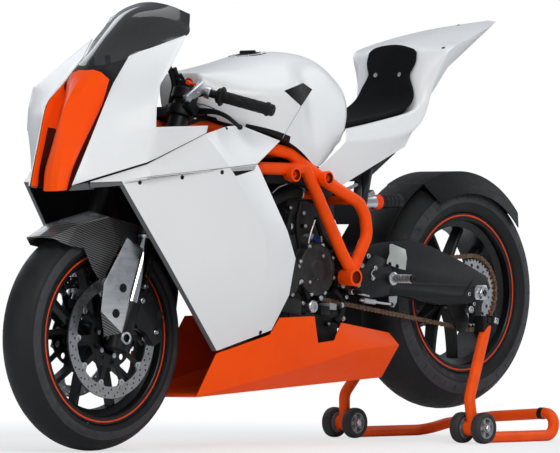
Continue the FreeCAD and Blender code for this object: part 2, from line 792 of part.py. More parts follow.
BAR_SHARES = {"inner": (0.198, 0.56, 0.798), "outer": (0.236, 1.4, 0.756)}
LEVER_SHARES = [(0.166, 0.65, 0.7695), (0.1615, 0.892, 0.7495), (0.163, 1.098, 0.7432),
                (0.168, 1.262, 0.717)]


def handlebars():
    """Clamps and bars, grips, levers and their brackets, left and right."""
    side = size.fork_spread
    low = fork_spot(CLIP - size.clip_height / 2, side)
    clamp = rod(low, low + FORK_UP * size.clip_height, size.fork_tube_radius + size.clip_wall)
    start = spot(*BAR_SHARES["inner"])
    end = spot(*BAR_SHARES["outer"])
    clip_centre = fork_spot(CLIP, side)
    bar = tube([clip_centre, start, end], size.bar_radius, size.bar_radius * 2)
    leg = rod(fork_spot(TUBE_FOOT, side), fork_spot(TUBE_TOP * 1.2, side),
              size.fork_tube_radius + size.seat_gap)
    bar = joined([clamp, bar]).cut(leg)
    add_shape("handlebars", both_sides(bar))
    way = end - start
    bore = size.bar_radius + size.seat_gap
    grip = ring(start + way * 0.42, end, size.grip_radius, bore)
    flange = ring(start + way * 0.38, start + way * 0.42, size.grip_radius * 1.5, bore)
    cap = rod(end, end + way * 0.03, size.grip_radius * 0.9)
    add_shape("grips", both_sides(joined([grip, flange, cap])))
    lever = tube([spot(*share) for share in LEVER_SHARES], size.lever_radius, size.lever_radius * 8)
    holder_start = start + way * 0.06
    holder = ring(holder_start, holder_start + way * 0.12, size.bar_radius * 1.9, size.bar_radius)
    link = rod(start + way * 0.12 + (spot(*LEVER_SHARES[0]) - start - way * 0.12) * 0.3,
               spot(*LEVER_SHARES[0]), size.bar_radius)
    lever = joined([lever, holder, link]).cut(bar)
    add_shape("hand_levers", both_sides(lever))


GUARD_LUG_SHARES = [(0.4, -0.028, 0.304), (0.8, -0.011, 0.36)]
GUARD_SHARES = [(-0.008, 0.47), (0.035, 0.446), (0.004, 0.327), (-0.014, 0.261), (-0.058, 0.254),
                (-0.064, 0.308), (-0.062, 0.37)]
CALIPER_SHARES = [(0.045, 0.34), (0.075, 0.358), (0.102, 0.335), (0.118, 0.29), (0.117, 0.245),
                  (0.094, 0.232), (0.07, 0.262), (0.05, 0.272), (0.036, 0.3)]


def fork_guards():
    """Bright faceted guards on the outside of the fork feet."""
    inner = size.fork_spread + size.foot_radius + size.seat_gap
    add_shape("fork_guards", both_sides(plate(GUARD_SHARES, inner, inner + size.panel_wall * 2)))


def front_calipers():
    """Calipers over the discs, open where the disc runs."""
    inner = size.disc_spread - size.foot_radius * 0.8
    outer = size.disc_spread + size.foot_radius * 0.95
    block = plate(CALIPER_SHARES, inner, outer)
    slot_half = size.disc_thickness / 2 + size.disc_pad_gap
    slot = rod(FRONT_AXLE + SIDEWAYS * (size.disc_spread - slot_half),
               FRONT_AXLE + SIDEWAYS * (size.disc_spread + slot_half),
               size.disc_radius + size.disc_pad_gap)
    block = block.cut(slot)
    foot = rod(fork_spot(-size.foot_radius * 1.2, size.fork_spread),
               fork_spot(size.foot_top + size.slider_radius, size.fork_spread),
               size.foot_radius + size.seat_gap)
    add_shape("front_calipers", both_sides(block.cut(foot)))


FENDER_SHARES = {
    "tip": (-0.139, 0, 0.471), "tip_side": (-0.139, 0.21, 0.468), "brow": (-0.085, 0, 0.508),
    "brow_side": (-0.082, 0.25, 0.498), "top": (-0.012, 0, 0.529), "top_side": (-0.006, 0.28, 0.516),
    "back": (0.07, 0, 0.51), "back_side": (0.07, 0.28, 0.498), "heel": (0.125, 0, 0.462),
    "heel_side": (0.12, 0.27, 0.452), "low_a": (-0.115, 0.3, 0.452), "low_b": (-0.078, 0.335, 0.446),
    "low_c": (-0.066, 0.4, 0.4), "low_d": (-0.05, 0.44, 0.372), "arm": (-0.004, 0.44, 0.45),
    "rear_low": (0.06, 0.335, 0.46),
}
FENDER_FACES = [
    ("tip", "tip_side", "brow_side", "brow"), ("brow", "brow_side", "top_side", "top"),
    ("top", "top_side", "back_side", "back"), ("back", "back_side", "heel_side", "heel"),
    ("tip_side", "low_a", "brow_side"), ("brow_side", "low_a", "low_b"),
    ("brow_side", "low_b", "arm", "top_side"), ("low_b", "low_c", "low_d", "arm"),
    ("top_side", "arm", "rear_low", "back_side"), ("back_side", "rear_low", "heel_side"),
]


def front_fender():
    """The front mudguard, with a web down to each fork foot."""
    shapes = [panel(FENDER_SHARES, FENDER_FACES, size.panel_wall, whole=True)]
    legs = []
    for side in (size.fork_spread, -size.fork_spread):
        top = fork_spot(TUBE_FOOT - size.cut_overrun, side)
        shapes.append(rod(top - FORK_UP * size.nut_length, top, size.foot_radius))
        legs.append(rod(fork_spot(size.foot_top, side), fork_spot(UPPER_YOKE, side),
                        size.slider_radius + size.seat_gap))
    add_shape("front_fender", joined(shapes).cut(legs))


# Fairing


NOSE_SHARES = {
    "brow": (0.115, 0.728, 0.917), "peak": (0.028, 0.359, 0.868), "cheek": (-0.018, 0.399, 0.806),
    "bend": (-0.051, 0.46, 0.76), "chin": (-0.112, 0.327, 0.581), "jaw": (-0.085, 0.4375, 0.594),
    "low": (-0.013, 0.896, 0.634), "flank": (-0.008, 1, 0.711), "side": (-0.006, 0.996, 0.758),
    "shoulder": (0.004, 0.991, 0.804), "temple": (0.05, 0.89, 0.848), "lobe": (0.127, 1, 0.719),
    "lobe_low": (0.123, 1, 0.703),
}
NOSE_FACES = [
    ("cheek", "peak", "brow", "temple"), ("cheek", "temple", "shoulder"),
    ("bend", "cheek", "shoulder", "side"), ("bend", "side", "flank", "low", "jaw"),
    ("chin", "bend", "jaw"), ("flank", "lobe", "lobe_low", "low"),
]
INSERT_SHARES = {
    "top": (-0.028, 0, 0.833), "top_side": (-0.025, 0.25, 0.828), "corner": (-0.02, 0.378, 0.805),
    "mid": (-0.094, 0, 0.74), "mid_crest": (-0.088, 0.2, 0.742), "mid_groove": (-0.062, 0.3, 0.748),
    "mid_edge": (-0.053, 0.438, 0.757), "low": (-0.113, 0, 0.569), "low_crest": (-0.11, 0.17, 0.57),
    "low_groove": (-0.082, 0.24, 0.576), "low_edge": (-0.113, 0.303, 0.581),
}
INSERT_FACES = [
    ("mid", "mid_crest", "top_side", "top"), ("mid_crest", "mid_groove", "top_side"),
    ("mid_groove", "corner", "top_side"), ("mid_groove", "mid_edge", "corner"),
    ("low", "low_crest", "mid_crest", "mid"), ("low_crest", "low_groove", "mid_groove", "mid_crest"),
    ("low_groove", "low_edge", "mid_edge", "mid_groove"),
]
SCREEN_SHARES = {
    "foot": (-0.022, 0, 0.84), "foot_side": (-0.018, 0.25, 0.834), "hem": (-0.014, 0.385, 0.812),
    "waist": (0.02, 0, 0.9), "edge": (0.031, 0.345, 0.874), "waist_side": (0.024, 0.2, 0.89),
    "crest": (0.075, 0, 0.962), "crest_side": (0.082, 0.32, 0.945), "brow": (0.119, 0.715, 0.92),
    "apex": (0.134, 0, 1), "apex_side": (0.137, 0.33, 0.992), "corner": (0.143, 0.62, 0.968),
}
SCREEN_FACES = [
    ("foot", "foot_side", "waist_side", "waist"), ("foot_side", "hem", "edge", "waist_side"),
    ("waist", "waist_side", "crest_side", "crest"), ("waist_side", "edge", "brow", "crest_side"),
    ("crest", "crest_side", "apex_side", "apex"), ("crest_side", "brow", "corner", "apex_side"),
]
UPPER_SHARES = {
    "jaw": (-0.083, 0.43, 0.589), "low": (-0.01, 0.87, 0.627), "lobe": (0.123, 0.975, 0.697),
    "tab": (0.226, 0.735, 0.722), "top": (0.272, 0.69, 0.727), "tip": (0.372, 0.76, 0.695),
    "heel": (0.281, 0.917, 0.64), "slot": (0.191, 1, 0.6295), "hem": (-0.012, 0.9375, 0.604),
    "toe": (-0.056, 0.77, 0.593),
}
UPPER_FACES = [
    ("jaw", "toe", "hem", "low"), ("low", "hem", "slot", "lobe"), ("lobe", "slot", "heel", "top", "tab"),
    ("top", "heel", "tip"),
]
LOWER_SHARES = {
    "toe": (-0.056, 0.77, 0.585), "hem": (-0.012, 0.9375, 0.596), "slot": (0.191, 1, 0.6245),
    "heel": (0.28, 0.925, 0.632), "fold": (0.286, 1.02, 0.481), "fold_low": (0.299, 0.979, 0.382),
    "rear_top": (0.363, 0.9375, 0.49), "rear_mid": (0.386, 0.9375, 0.429), "rear_low": (0.38, 0.875, 0.346),
    "corner": (0.351, 0.77, 0.267), "tip": (0.2155, 0.6875, 0.221), "front": (0.058, 0.854, 0.409),
}
LOWER_FACES = [
    ("toe", "front", "slot", "hem"), ("front", "fold", "slot"), ("front", "tip", "fold_low", "fold"),
    ("slot", "fold", "rear_top", "heel"), ("fold", "fold_low", "rear_top"),
    ("fold_low", "tip", "corner", "rear_low"), ("fold_low", "rear_low", "rear_mid", "rear_top"),
]
BELLY_SHARES = {
    "front": (0.194, 0, 0.115), "front_side": (0.187, 0.542, 0.1175), "front_top": (0.217, 0.675, 0.215),
    "top": (0.352, 0.74, 0.257), "shelf": (0.377, 0.75, 0.295), "notch": (0.48, 0.729, 0.2985),
    "notch_low": (0.491, 0.729, 0.2375), "notch_back": (0.545, 0.6875, 0.243),
    "hump": (0.569, 0.667, 0.284), "tail_top": (0.748, 0.458, 0.26), "tail": (0.772, 0.5, 0.2305),
    "fold_rear": (0.618, 0.646, 0.22), "fold": (0.508, 0.708, 0.1925), "keel": (0.728, 0.458, 0.155),
    "keel_middle": (0.728, 0, 0.15),
}
BELLY_FACES = [
    ("front_side", "fold", "notch_low", "notch", "shelf", "top", "front_top"),
    ("fold", "notch_back", "notch_low"), ("fold", "fold_rear", "hump", "notch_back"),
    ("fold_rear", "tail", "tail_top", "hump"), ("front_side", "keel", "tail", "fold_rear", "fold"),
    ("front", "keel_middle", "keel", "front_side"),
]


def fairing():
    """The body panels, the nose insert and the screen."""
    add_shape("nose_fairing", panel(NOSE_SHARES, NOSE_FACES, size.panel_wall))
    add_shape("nose_insert", panel(INSERT_SHARES, INSERT_FACES, size.panel_wall, whole=True))
    add_shape("windscreen", panel(SCREEN_SHARES, SCREEN_FACES, size.screen_wall, whole=True))
    add_shape("upper_side_panels", panel(UPPER_SHARES, UPPER_FACES, size.panel_wall))
    add_shape("lower_side_panels", panel(LOWER_SHARES, LOWER_FACES, size.panel_wall))
    add_shape("belly_pan", panel(BELLY_SHARES, BELLY_FACES, size.panel_wall, whole=True))


TANK_SHARES = {
    "nose": (0.232, 0, 0.843), "nose_side": (0.233, 0.3, 0.84), "cheek": (0.236, 0.36, 0.8),
    "cheek_low": (0.25, 0.36, 0.742), "nose_low": (0.245, 0, 0.742), "brow": (0.341, 0, 0.876),
    "brow_side": (0.341, 0.3, 0.867), "cap_rear": (0.472, 0, 0.905), "cap_side": (0.47, 0.33, 0.898),
    "ridge": (0.369, 0.8125, 0.8075), "ridge_rear": (0.459, 0.64, 0.835), "hip": (0.59, 0.42, 0.838),
    "back": (0.6, 0, 0.862), "tail": (0.648, 0, 0.781), "tail_side": (0.624, 0.4, 0.76),
    "heel": (0.588, 0.5, 0.7), "foot": (0.56, 0.55, 0.682), "low": (0.4905, 0.667, 0.64),
    "low_middle": (0.4905, 0, 0.64), "foot_middle": (0.588, 0, 0.69), "sill": (0.376, 0.77, 0.7),
    "sill_middle": (0.376, 0, 0.7),
}
TANK_FACES = [
    ("nose", "nose_side", "brow_side", "brow"), ("brow", "brow_side", "cap_side", "cap_rear"),
    ("cap_rear", "cap_side", "hip", "back"), ("back", "hip", "tail_side", "tail"),
    ("nose_side", "cheek", "ridge", "brow_side"), ("brow_side", "ridge", "ridge_rear", "cap_side"),
    ("cap_side", "ridge_rear", "hip"), ("cheek", "cheek_low", "sill", "ridge"),
    ("ridge", "sill", "low", "ridge_rear"), ("ridge_rear", "low", "foot", "hip"),
    ("hip", "foot", "heel", "tail_side"), ("tail", "tail_side", "heel", "foot_middle"),
    ("foot_middle", "heel", "foot", "low", "low_middle"), ("low_middle", "low", "sill", "sill_middle"),
    ("sill_middle", "sill", "cheek_low", "nose_low"),
    ("nose_low", "cheek_low", "cheek", "nose_side", "nose"),
]
CAP_SHARES = (0.4147, 0, 0.8925)
CAP_LEAN_ANGLE = 9


def tank():
    """The tank cover and the fuel cap let into its top."""
    places = {name: spot(*share) for name, share in TANK_SHARES.items()}
    block = facet_block(places, [tuple(reversed(face)) for face in TANK_FACES])
    lean = math.radians(CAP_LEAN_ANGLE)
    up = Vector(math.sin(lean), 0, math.cos(lean))
    middle = spot(*CAP_SHARES)
    seat = rod(middle - up * size.cap_height, middle + up * size.cap_height, size.cap_radius)
    tubes = []
    for places in frame_runs()[: len(HEAD_JOINTS_SHARES)]:
        radius = size.frame_tube_radius + size.seat_gap
        tubes.append(tube(places, radius, size.frame_tube_radius * 3))
        tubes.append(tube([mirrored(place) for place in places], radius, size.frame_tube_radius * 3))
    add_shape("tank_cover", block.cut([seat, *tubes]))
    low = middle - up * (size.cap_height - size.seat_gap)
    rim_ring = ring(low, middle + up * size.cut_overrun, size.cap_radius - size.seat_gap,
                    size.cap_radius * 0.75)
    lid = rod(low, middle + up * size.cut_overrun * 0.4, size.cap_radius * 0.75)
    add_shape("fuel_cap", joined([rim_ring, lid]))


TAIL_SHARES = {
    "seat_front": (0.611, 0.479, 0.731), "seat_rear": (0.776, 0.5, 0.7715), "step": (0.824, 0.458, 0.807),
    "waist": (0.832, 0.35, 0.865), "pad_top": (0.845, 0.39, 0.925), "seat_mid": (0.611, 0, 0.722),
    "rear_mid": (0.776, 0, 0.756), "step_mid": (0.82, 0, 0.793), "waist_mid": (0.84, 0, 0.868),
    "top_mid": (0.852, 0, 0.937), "front": (0.584, 0.62, 0.701), "crease": (0.785, 0.604, 0.735),
    "horn_low": (0.844, 0.565, 0.823), "horn": (0.865, 0.753, 0.925), "wing": (1.001, 0.57, 0.979),
    "wing_mid": (1, 0, 0.986), "tip": (1.128, 0.15, 1.012), "tip_mid": (1.136, 0, 1.0165),
    "low_front": (0.495, 0.667, 0.635), "low": (0.575, 0.625, 0.601), "low_mid": (0.77, 0.56, 0.696),
    "rear_side": (0.849, 0.5, 0.81), "under": (0.89, 0.6, 0.888), "nose": (0.565, 0.63, 0.685),
}
TAIL_FACES = [
    ("seat_mid", "rear_mid", "seat_rear", "seat_front"), ("rear_mid", "step_mid", "step", "seat_rear"),
    ("step_mid", "waist_mid", "waist", "step"), ("waist_mid", "top_mid", "pad_top", "waist"),
    ("seat_front", "seat_rear", "crease", "front"), ("seat_rear", "step", "horn_low", "crease"),
    ("step", "waist", "pad_top", "horn", "horn_low"), ("top_mid", "wing_mid", "wing", "horn", "pad_top"),
    ("wing_mid", "tip_mid", "tip", "wing"), ("front", "crease", "low_mid", "low", "nose"),
    ("nose", "low", "low_front"), ("crease", "horn_low", "rear_side", "low_mid"),
    ("horn_low", "horn", "under", "rear_side"), ("horn", "wing", "under"), ("wing", "tip", "under"),
]


SEAT_FACES = 4


def tail():
    """The tail unit and the seat pad that lies on its first faces, up to the backrest."""
    faces = [tuple(reversed(face)) for face in TAIL_FACES]
    add_shape("tail_unit", panel(TAIL_SHARES, faces, size.panel_wall, whole=True))
    lift = size.seat_gap + size.seat_foam
    pad = panel(TAIL_SHARES, faces[:SEAT_FACES], size.seat_foam, lift, whole=True)
    add_shape("seat_pad", pad.cut(doc.getObject("tank_cover").Shape))


# Frame, engine and rear end


FRAME_RUNS_SHARES = [
    [(0.2533, 0.25, 0.725), (0.345, 0.62, 0.68), (0.4125, 0.667, 0.669), (0.5075, 0.6875, 0.61),
     (0.6125, 0.6875, 0.56), (0.63, 0.6875, 0.53), (0.6365, 0.6875, 0.486), (0.589, 0.72, 0.406)],
    [(0.215, 0.13, 0.65), (0.3275, 0.66, 0.632), (0.41, 0.6875, 0.632), (0.454, 0.6875, 0.637)],
    [(0.454, 0.6875, 0.637), (0.49, 0.6875, 0.5755), (0.564, 0.6875, 0.442), (0.583, 0.72, 0.405)],
]
FRAME_BRACES_SHARES = [(0.4125, 0.667, 0.669), (0.6, 0.6875, 0.566)]
ENGINE_MOUNTS_SHARES = [(0.49, 0.6875, 0.5755)]
FRAME_STUBS_SHARES = [(0.404, 0.6875, 0.619), (0.497, 0.6875, 0.6135)]
PIVOT_SHARES = (0.5795, 0, 0.388)
HEAD_JOINTS_SHARES = (0.66, 0.127)


def frame_runs():
    """The places that the left side tubes pass, the first two from the steering head."""
    runs = [[spot(*share) for share in run] for run in FRAME_RUNS_SHARES]
    aside = size.head_radius * 0.44
    for run, share in zip(runs, HEAD_JOINTS_SHARES):
        rise = HEAD_LOW + (HEAD_HIGH - HEAD_LOW) * share
        run.insert(0, fork_spot(rise, aside, -size.fork_offset - aside))
    return runs


def main_frame():
    """The trellis: head, side tubes, cross tubes and pivot bosses."""
    head = rod(fork_spot(HEAD_LOW, 0, -size.fork_offset), fork_spot(HEAD_HIGH, 0, -size.fork_offset),
               size.head_radius)
    shapes = [head]
    bores = []
    for places in frame_runs():
        shapes.append(tube(places, size.frame_tube_radius, size.frame_tube_radius * 3))
        shapes.append(tube([mirrored(place) for place in places], size.frame_tube_radius,
                           size.frame_tube_radius * 3))
    for share in FRAME_BRACES_SHARES:
        place = spot(*share)
        shapes.append(rod(mirrored(place), place, size.brace_tube_radius))
    for share in FRAME_STUBS_SHARES:
        place = spot(*share)
        mouth = place + SIDEWAYS * size.boss_reach
        bores.append(rod(mouth - SIDEWAYS * size.boss_depth, mouth, size.boss_bore_radius))
        shapes += [rod(place, mouth, size.boss_radius), rod(mirrored(place), mirrored(mouth),
                                                            size.boss_radius)]
    pivot = spot(*PIVOT_SHARES)
    inner = size.arm_inner_spread + size.arm_thickness + size.seat_gap
    for sign in (1, -1):
        start = pivot + SIDEWAYS * sign * inner
        shapes.append(rod(start, start + SIDEWAYS * sign * size.pivot_boss_length,
                          size.pivot_boss_radius))
    shapes.append(rod(pivot - SIDEWAYS * inner, pivot + SIDEWAYS * inner, size.pivot_shaft_radius))
    for share in ENGINE_MOUNTS_SHARES:
        place = spot(*share)
        for end in (place, mirrored(place)):
            inner_end = Vector(end.x, math.copysign(size.cylinder_half_width, end.y), end.z)
            shapes.append(rod(inner_end, end, size.brace_tube_radius))
    shape = joined(shapes)
    bores += [bore.mirror(Vector(0, 0, 0), SIDEWAYS) for bore in bores]
    bores.append(rod(fork_spot(HEAD_LOW - size.cut_overrun, 0, -size.fork_offset),
                     fork_spot(HEAD_HIGH + size.cut_overrun, 0, -size.fork_offset),
                     size.head_bore_radius))
    add_shape("main_frame", shape.cut(bores))


CRANKCASE_SHARES = [(0.33, 0.42), (0.36, 0.335), (0.4, 0.3), (0.52, 0.285), (0.57, 0.32), (0.575, 0.43),
                    (0.54, 0.47), (0.47, 0.485), (0.38, 0.47)]
FRONT_CYLINDER_SHARES = [(0.36, 0.455), (0.43, 0.49), (0.37, 0.6), (0.285, 0.575)]
REAR_CYLINDER_SHARES = [(0.455, 0.49), (0.535, 0.475), (0.555, 0.6), (0.47, 0.615)]
COVERS_SHARES = [(0.508, 0.405, 1), (0.42, 0.39, 0.8)]


def engine():
    """Crankcase, the two cylinders and the round side covers."""
    width = size.engine_half_width
    gearbox = spot(*GEARBOX_SPROCKET_SHARES)
    face = size.sprocket_spread - size.chain_half_width - size.cut_overrun
    room = size.small_sprocket_radius + size.chain_half_height + size.cut_overrun * 1.4
    recess = rod(gearbox + SIDEWAYS * face, gearbox + SIDEWAYS * width * 2, room)
    recess = recess.fuse(plate(CHAIN_ROOM_SHARES, face, width * 2))
    edge = size.small_sprocket_radius - size.chain_half_height - size.seat_gap * 2
    sprocket = rod(gearbox + SIDEWAYS * (face - size.cut_overrun),
                   gearbox + SIDEWAYS * (size.sprocket_spread + size.sprocket_thickness / 2), edge)
    case = joined([plate(CRANKCASE_SHARES, -width, width).cut(recess), sprocket])
    frame = doc.getObject("main_frame").Shape
    case = case.cut(frame)
    add_shape("engine_crankcase", case)
    half = size.cylinder_half_width
    cylinders = [plate(shares, -half, half) for shares in (FRONT_CYLINDER_SHARES, REAR_CYLINDER_SHARES)]
    add_shape("engine_cylinders", Part.makeCompound([block.cut([case, frame]) for block in cylinders]))
    covers = []
    for back, up, scale in COVERS_SHARES:
        place = spot(back, 0, up) + SIDEWAYS * width
        covers.append(rod(place, place + SIDEWAYS * size.cover_depth, size.cover_radius * scale))
    chain_side = size.sprocket_spread + size.chain_half_width + size.cut_overrun * 0.6
    chain_room = rod(gearbox, gearbox + SIDEWAYS * chain_side, room)
    chain_room = chain_room.fuse(plate(CHAIN_ROOM_SHARES, face, chain_side))
    left = joined(covers)
    right = left.mirror(Vector(0, 0, 0), SIDEWAYS)
    add_shape("engine_covers", Part.makeCompound([left.cut(chain_room), right]))


EXHAUST_RUN_SHARES = [(0.345, 0.12, 0.53), (0.303, 0.12, 0.45), (0.303, 0.12, 0.3), (0.35, 0.12, 0.2),
                      (0.44, 0.12, 0.2)]
REAR_PIPE_RUN_SHARES = [(0.53, -0.3, 0.545), (0.609, -0.3, 0.51), (0.609, -0.3, 0.3), (0.52, -0.2, 0.22)]
SILENCER_SHARES = [(0.42, 0.165), (0.7, 0.17), (0.725, 0.24), (0.6, 0.26), (0.42, 0.24)]
RADIATOR_SHARES = [(0.222, 0.6), (0.244, 0.6), (0.28, 0.37), (0.258, 0.37)]
HOSES_SHARES = [[(0.262, 0.3, 0.42), (0.35, 0.3, 0.43)], [(0.235, -0.3, 0.58), (0.32, -0.3, 0.565)]]


def exhaust_and_cooling():
    """Exhaust pipes, the silencer in the belly, and the radiator."""
    front = tube([spot(*share) for share in EXHAUST_RUN_SHARES], size.pipe_radius, size.pipe_radius * 2)
    rear = tube([spot(*share) for share in REAR_PIPE_RUN_SHARES], size.pipe_radius, size.pipe_radius * 2)
    silencer = plate(SILENCER_SHARES, -size.cylinder_half_width, size.cylinder_half_width)
    engine_parts = [doc.getObject("engine_crankcase").Shape, doc.getObject("engine_cylinders").Shape]
    add_shape("exhaust", joined([front, rear, silencer]).cut(engine_parts))
    shapes = [plate(RADIATOR_SHARES, -size.arm_inner_spread, size.arm_inner_spread)]
    for hose in HOSES_SHARES:
        start, end = (spot(*share) for share in hose)
        shapes.append(rod(start, end, size.brace_tube_radius))
    add_shape("radiator", joined(shapes).cut(engine_parts))


SWINGARM_SHARES = [(0.565, 0.412), (0.62, 0.445), (0.695, 0.468), (0.777, 0.478), (0.84, 0.463),
                   (0.928, 0.431), (1.01, 0.395), (1.022, 0.372), (1.012, 0.338), (0.953, 0.328),
                   (0.876, 0.325), (0.764, 0.345), (0.62, 0.352), (0.565, 0.366)]
BRIDGE_SHARES = [(0.636, 0.44), (0.7, 0.462), (0.742, 0.44), (0.742, 0.37), (0.636, 0.36)]
LOOP_BRIDGE_SHARES = [(0.645, 0.382), (0.73, 0.382), (0.73, 0.345), (0.645, 0.345)]
FIN_SHARES = [(0.905, 0.332), (0.955, 0.33), (0.982, 0.285), (0.965, 0.258), (0.945, 0.262)]
CARRIER_SHARES = [(0.965, 0.34), (1.0, 0.34), (0.996, 0.28), (0.97, 0.28)]
BOBBIN_SHARES = (0.983, 0, 0.289)


def swingarm():
    """Two arms, the bridge between them and the bobbins that the stand lifts."""
    inner, outer = size.arm_inner_spread, size.arm_inner_spread + size.arm_thickness
    arm = plate(SWINGARM_SHARES, inner, outer)
    arm = arm.cut(rod(REAR_AXLE, REAR_AXLE + SIDEWAYS * outer * 2, size.axle_radius))
    place = spot(*BOBBIN_SHARES)
    carrier = plate(CARRIER_SHARES, outer - size.arm_thickness / 2, outer)
    bobbin = rod(place + SIDEWAYS * (outer - size.arm_thickness / 2),
                 place + SIDEWAYS * (outer + size.hook_thickness * 3), size.bobbin_pin_radius)
    arm = joined([arm, carrier, bobbin])
    other = arm.mirror(Vector(0, 0, 0), SIDEWAYS)
    chain_side = size.sprocket_spread - size.chain_half_width - size.cut_overrun
    bridge = plate(BRIDGE_SHARES, -inner - size.cut_overrun, chain_side)
    loop_bridge = plate(LOOP_BRIDGE_SHARES, chain_side - size.cut_overrun, inner + size.cut_overrun)
    pivot = spot(*PIVOT_SHARES)
    shaft = rod(pivot - SIDEWAYS * outer * 2, pivot + SIDEWAYS * outer * 2,
                size.pivot_shaft_radius + size.seat_gap)
    fin = plate(FIN_SHARES, inner, inner + size.panel_wall)
    add_shape("swingarm", joined([arm, other, bridge, loop_bridge, fin]).cut(shaft))


HUGGER_SKIRT_ANGLE = 20
HUGGER_START_ANGLE = 62
HUGGER_END_ANGLE = 138
HUGGER_STEP_ANGLE = 6
BRACKET_FOOT_ANGLE = 13
BRACKET_TOP_ANGLE = 21


def rear_hugger():
    """The rear mudguard: an arc over the tyre, with skirts, on two brackets to the arms."""
    low = size.rear_tyre_radius + size.hugger_gap
    half = size.rear_tyre_half_width + size.hugger_gap
    corners = [
        (half, low - size.rear_crown_drop * 0.8), (half * 0.62, low), (-half * 0.62, low),
        (-half, low - size.rear_crown_drop * 0.8),
    ]
    wall = size.hugger_wall
    outer = [(-half - wall, low - size.rear_crown_drop * 0.8), (-half * 0.62 - wall / 2, low + wall),
             (half * 0.62 + wall / 2, low + wall), (half + wall, low - size.rear_crown_drop * 0.8)]
    start = math.radians(HUGGER_START_ANGLE)
    places = [
        REAR_AXLE + Vector(math.cos(start) * radius, side, math.sin(start) * radius)
        for side, radius in corners + outer
    ]
    section = Part.Face(Part.makePolygon(places + places[:1]))
    arc = section.revolve(REAR_AXLE, SIDEWAYS, HUGGER_START_ANGLE - HUGGER_END_ANGLE)
    skirt_half = half * 0.6
    skirt = []
    for turn in range(HUGGER_SKIRT_ANGLE, HUGGER_START_ANGLE + 1, HUGGER_STEP_ANGLE):
        ray = Vector(math.cos(math.radians(turn)), 0, math.sin(math.radians(turn)))
        skirt.append((REAR_AXLE + ray * low, REAR_AXLE + ray * (low + wall)))
    outline = [inner for inner, outer in skirt] + [outer for inner, outer in reversed(skirt)]
    outline = [place - SIDEWAYS * skirt_half for place in outline]
    front = Part.Face(Part.makePolygon(outline + outline[:1])).extrude(SIDEWAYS * 2 * skirt_half)
    shapes = [arc, front]
    foot, top = (
        REAR_AXLE + Vector(math.cos(turn), 0, math.sin(turn)) * reach
        for turn, reach in (
            (math.radians(BRACKET_FOOT_ANGLE), low + size.bobbin_pin_radius * 4),
            (math.radians(BRACKET_TOP_ANGLE), low + wall),
        )
    )
    for aside in (skirt_half * 0.7, -skirt_half * 0.7):
        shapes.append(rod(foot + SIDEWAYS * aside, top + SIDEWAYS * aside, size.bobbin_pin_radius))
    add_shape("rear_hugger", joined(shapes).cut(doc.getObject("swingarm").Shape))


REAR_CALIPER_SHARES = [(0.9, 0.35), (0.955, 0.36), (0.955, 0.3), (0.91, 0.29)]


def rear_caliper():
    """The rear caliper under the right arm."""
    outer = -size.arm_inner_spread - size.arm_thickness * 0.4
    block = plate(REAR_CALIPER_SHARES, -size.rear_disc_spread + size.foot_radius * 0.4, outer)
    slot_half = size.disc_thickness / 2 + size.disc_pad_gap
    middle = REAR_AXLE - SIDEWAYS * size.rear_disc_spread
    slot = rod(middle - SIDEWAYS * slot_half, middle + SIDEWAYS * slot_half,
               size.rear_disc_radius + size.disc_pad_gap)
    tyre_room = rod(REAR_AXLE - SIDEWAYS * 2 * size.arm_inner_spread, REAR_AXLE,
                    size.rear_tyre_radius)
    tyre_room = tyre_room.common(rod(REAR_AXLE - SIDEWAYS * size.rear_tyre_half_width * 0.94,
                                     REAR_AXLE, size.rear_tyre_radius))
    add_shape("rear_caliper", block.cut(slot).cut(tyre_room).cut(doc.getObject("swingarm").Shape))


SHOCK_SHARES = {"top": (0.6, 0, 0.59), "foot": (0.66, 0, 0.435)}
RESERVOIR_SHARES = {"block": (0.63, 0.6, 0.5605), "knob": (0.748, 0.6, 0.5675)}
PLATE_SHARES = [(0.592, 0.396), (0.622, 0.41), (0.66, 0.442), (0.705, 0.425), (0.715, 0.395),
                (0.7, 0.345), (0.64, 0.34), (0.606, 0.36), (0.592, 0.378)]
HEEL_SHARES = [(0.688, 0.43), (0.694, 0.466), (0.742, 0.455), (0.745, 0.402), (0.71, 0.402)]
PEG_SHARES = (0.7035, 0, 0.388)
SHIFT_RUN_SHARES = [(0.69, 0.352), (0.65, 0.356), (0.58, 0.354)]


SEAT_RUNS_SHARES = [
    [(0.606, 0.6875, 0.563), (0.66, 0.42, 0.61), (0.78, 0.33, 0.69), (0.81, 0.3, 0.8)],
    [(0.62, 0.6875, 0.545), (0.69, 0.42, 0.64)],
]
SEAT_BRACES_SHARES = [(0.68, 0.405, 0.622), (0.78, 0.33, 0.69)]


def rear_subframe():
    """The black seat frame."""
    shapes = []
    for run in SEAT_RUNS_SHARES:
        places = [spot(*share) for share in run]
        shapes.append(tube(places, size.brace_tube_radius, size.brace_tube_radius * 3))
        shapes.append(tube([mirrored(place) for place in places], size.brace_tube_radius,
                           size.brace_tube_radius * 3))
    for share in SEAT_BRACES_SHARES:
        shapes.append(rod(mirrored(spot(*share)), spot(*share), size.brace_tube_radius))
    carried = [doc.getObject("main_frame").Shape, doc.getObject("tail_unit").Shape]
    add_shape("rear_subframe", largest(joined(shapes).cut(carried)))


def shock_absorber():
    """The shock absorber with its side reservoir."""
    top, foot = spot(*SHOCK_SHARES["top"]), spot(*SHOCK_SHARES["foot"])
    spring = rod(foot, top, size.pipe_radius * 1.3)
    block, knob = spot(*RESERVOIR_SHARES["block"]), spot(*RESERVOIR_SHARES["knob"])
    reservoir = rod(block, knob, size.frame_tube_radius * 0.9)
    hose = rod(top, block, size.bobbin_pin_radius)
    carriers = [doc.getObject(name).Shape for name in ("swingarm", "main_frame", "rear_subframe")]
    add_shape("shock_absorber", joined([spring, reservoir, hose]).cut(carriers))


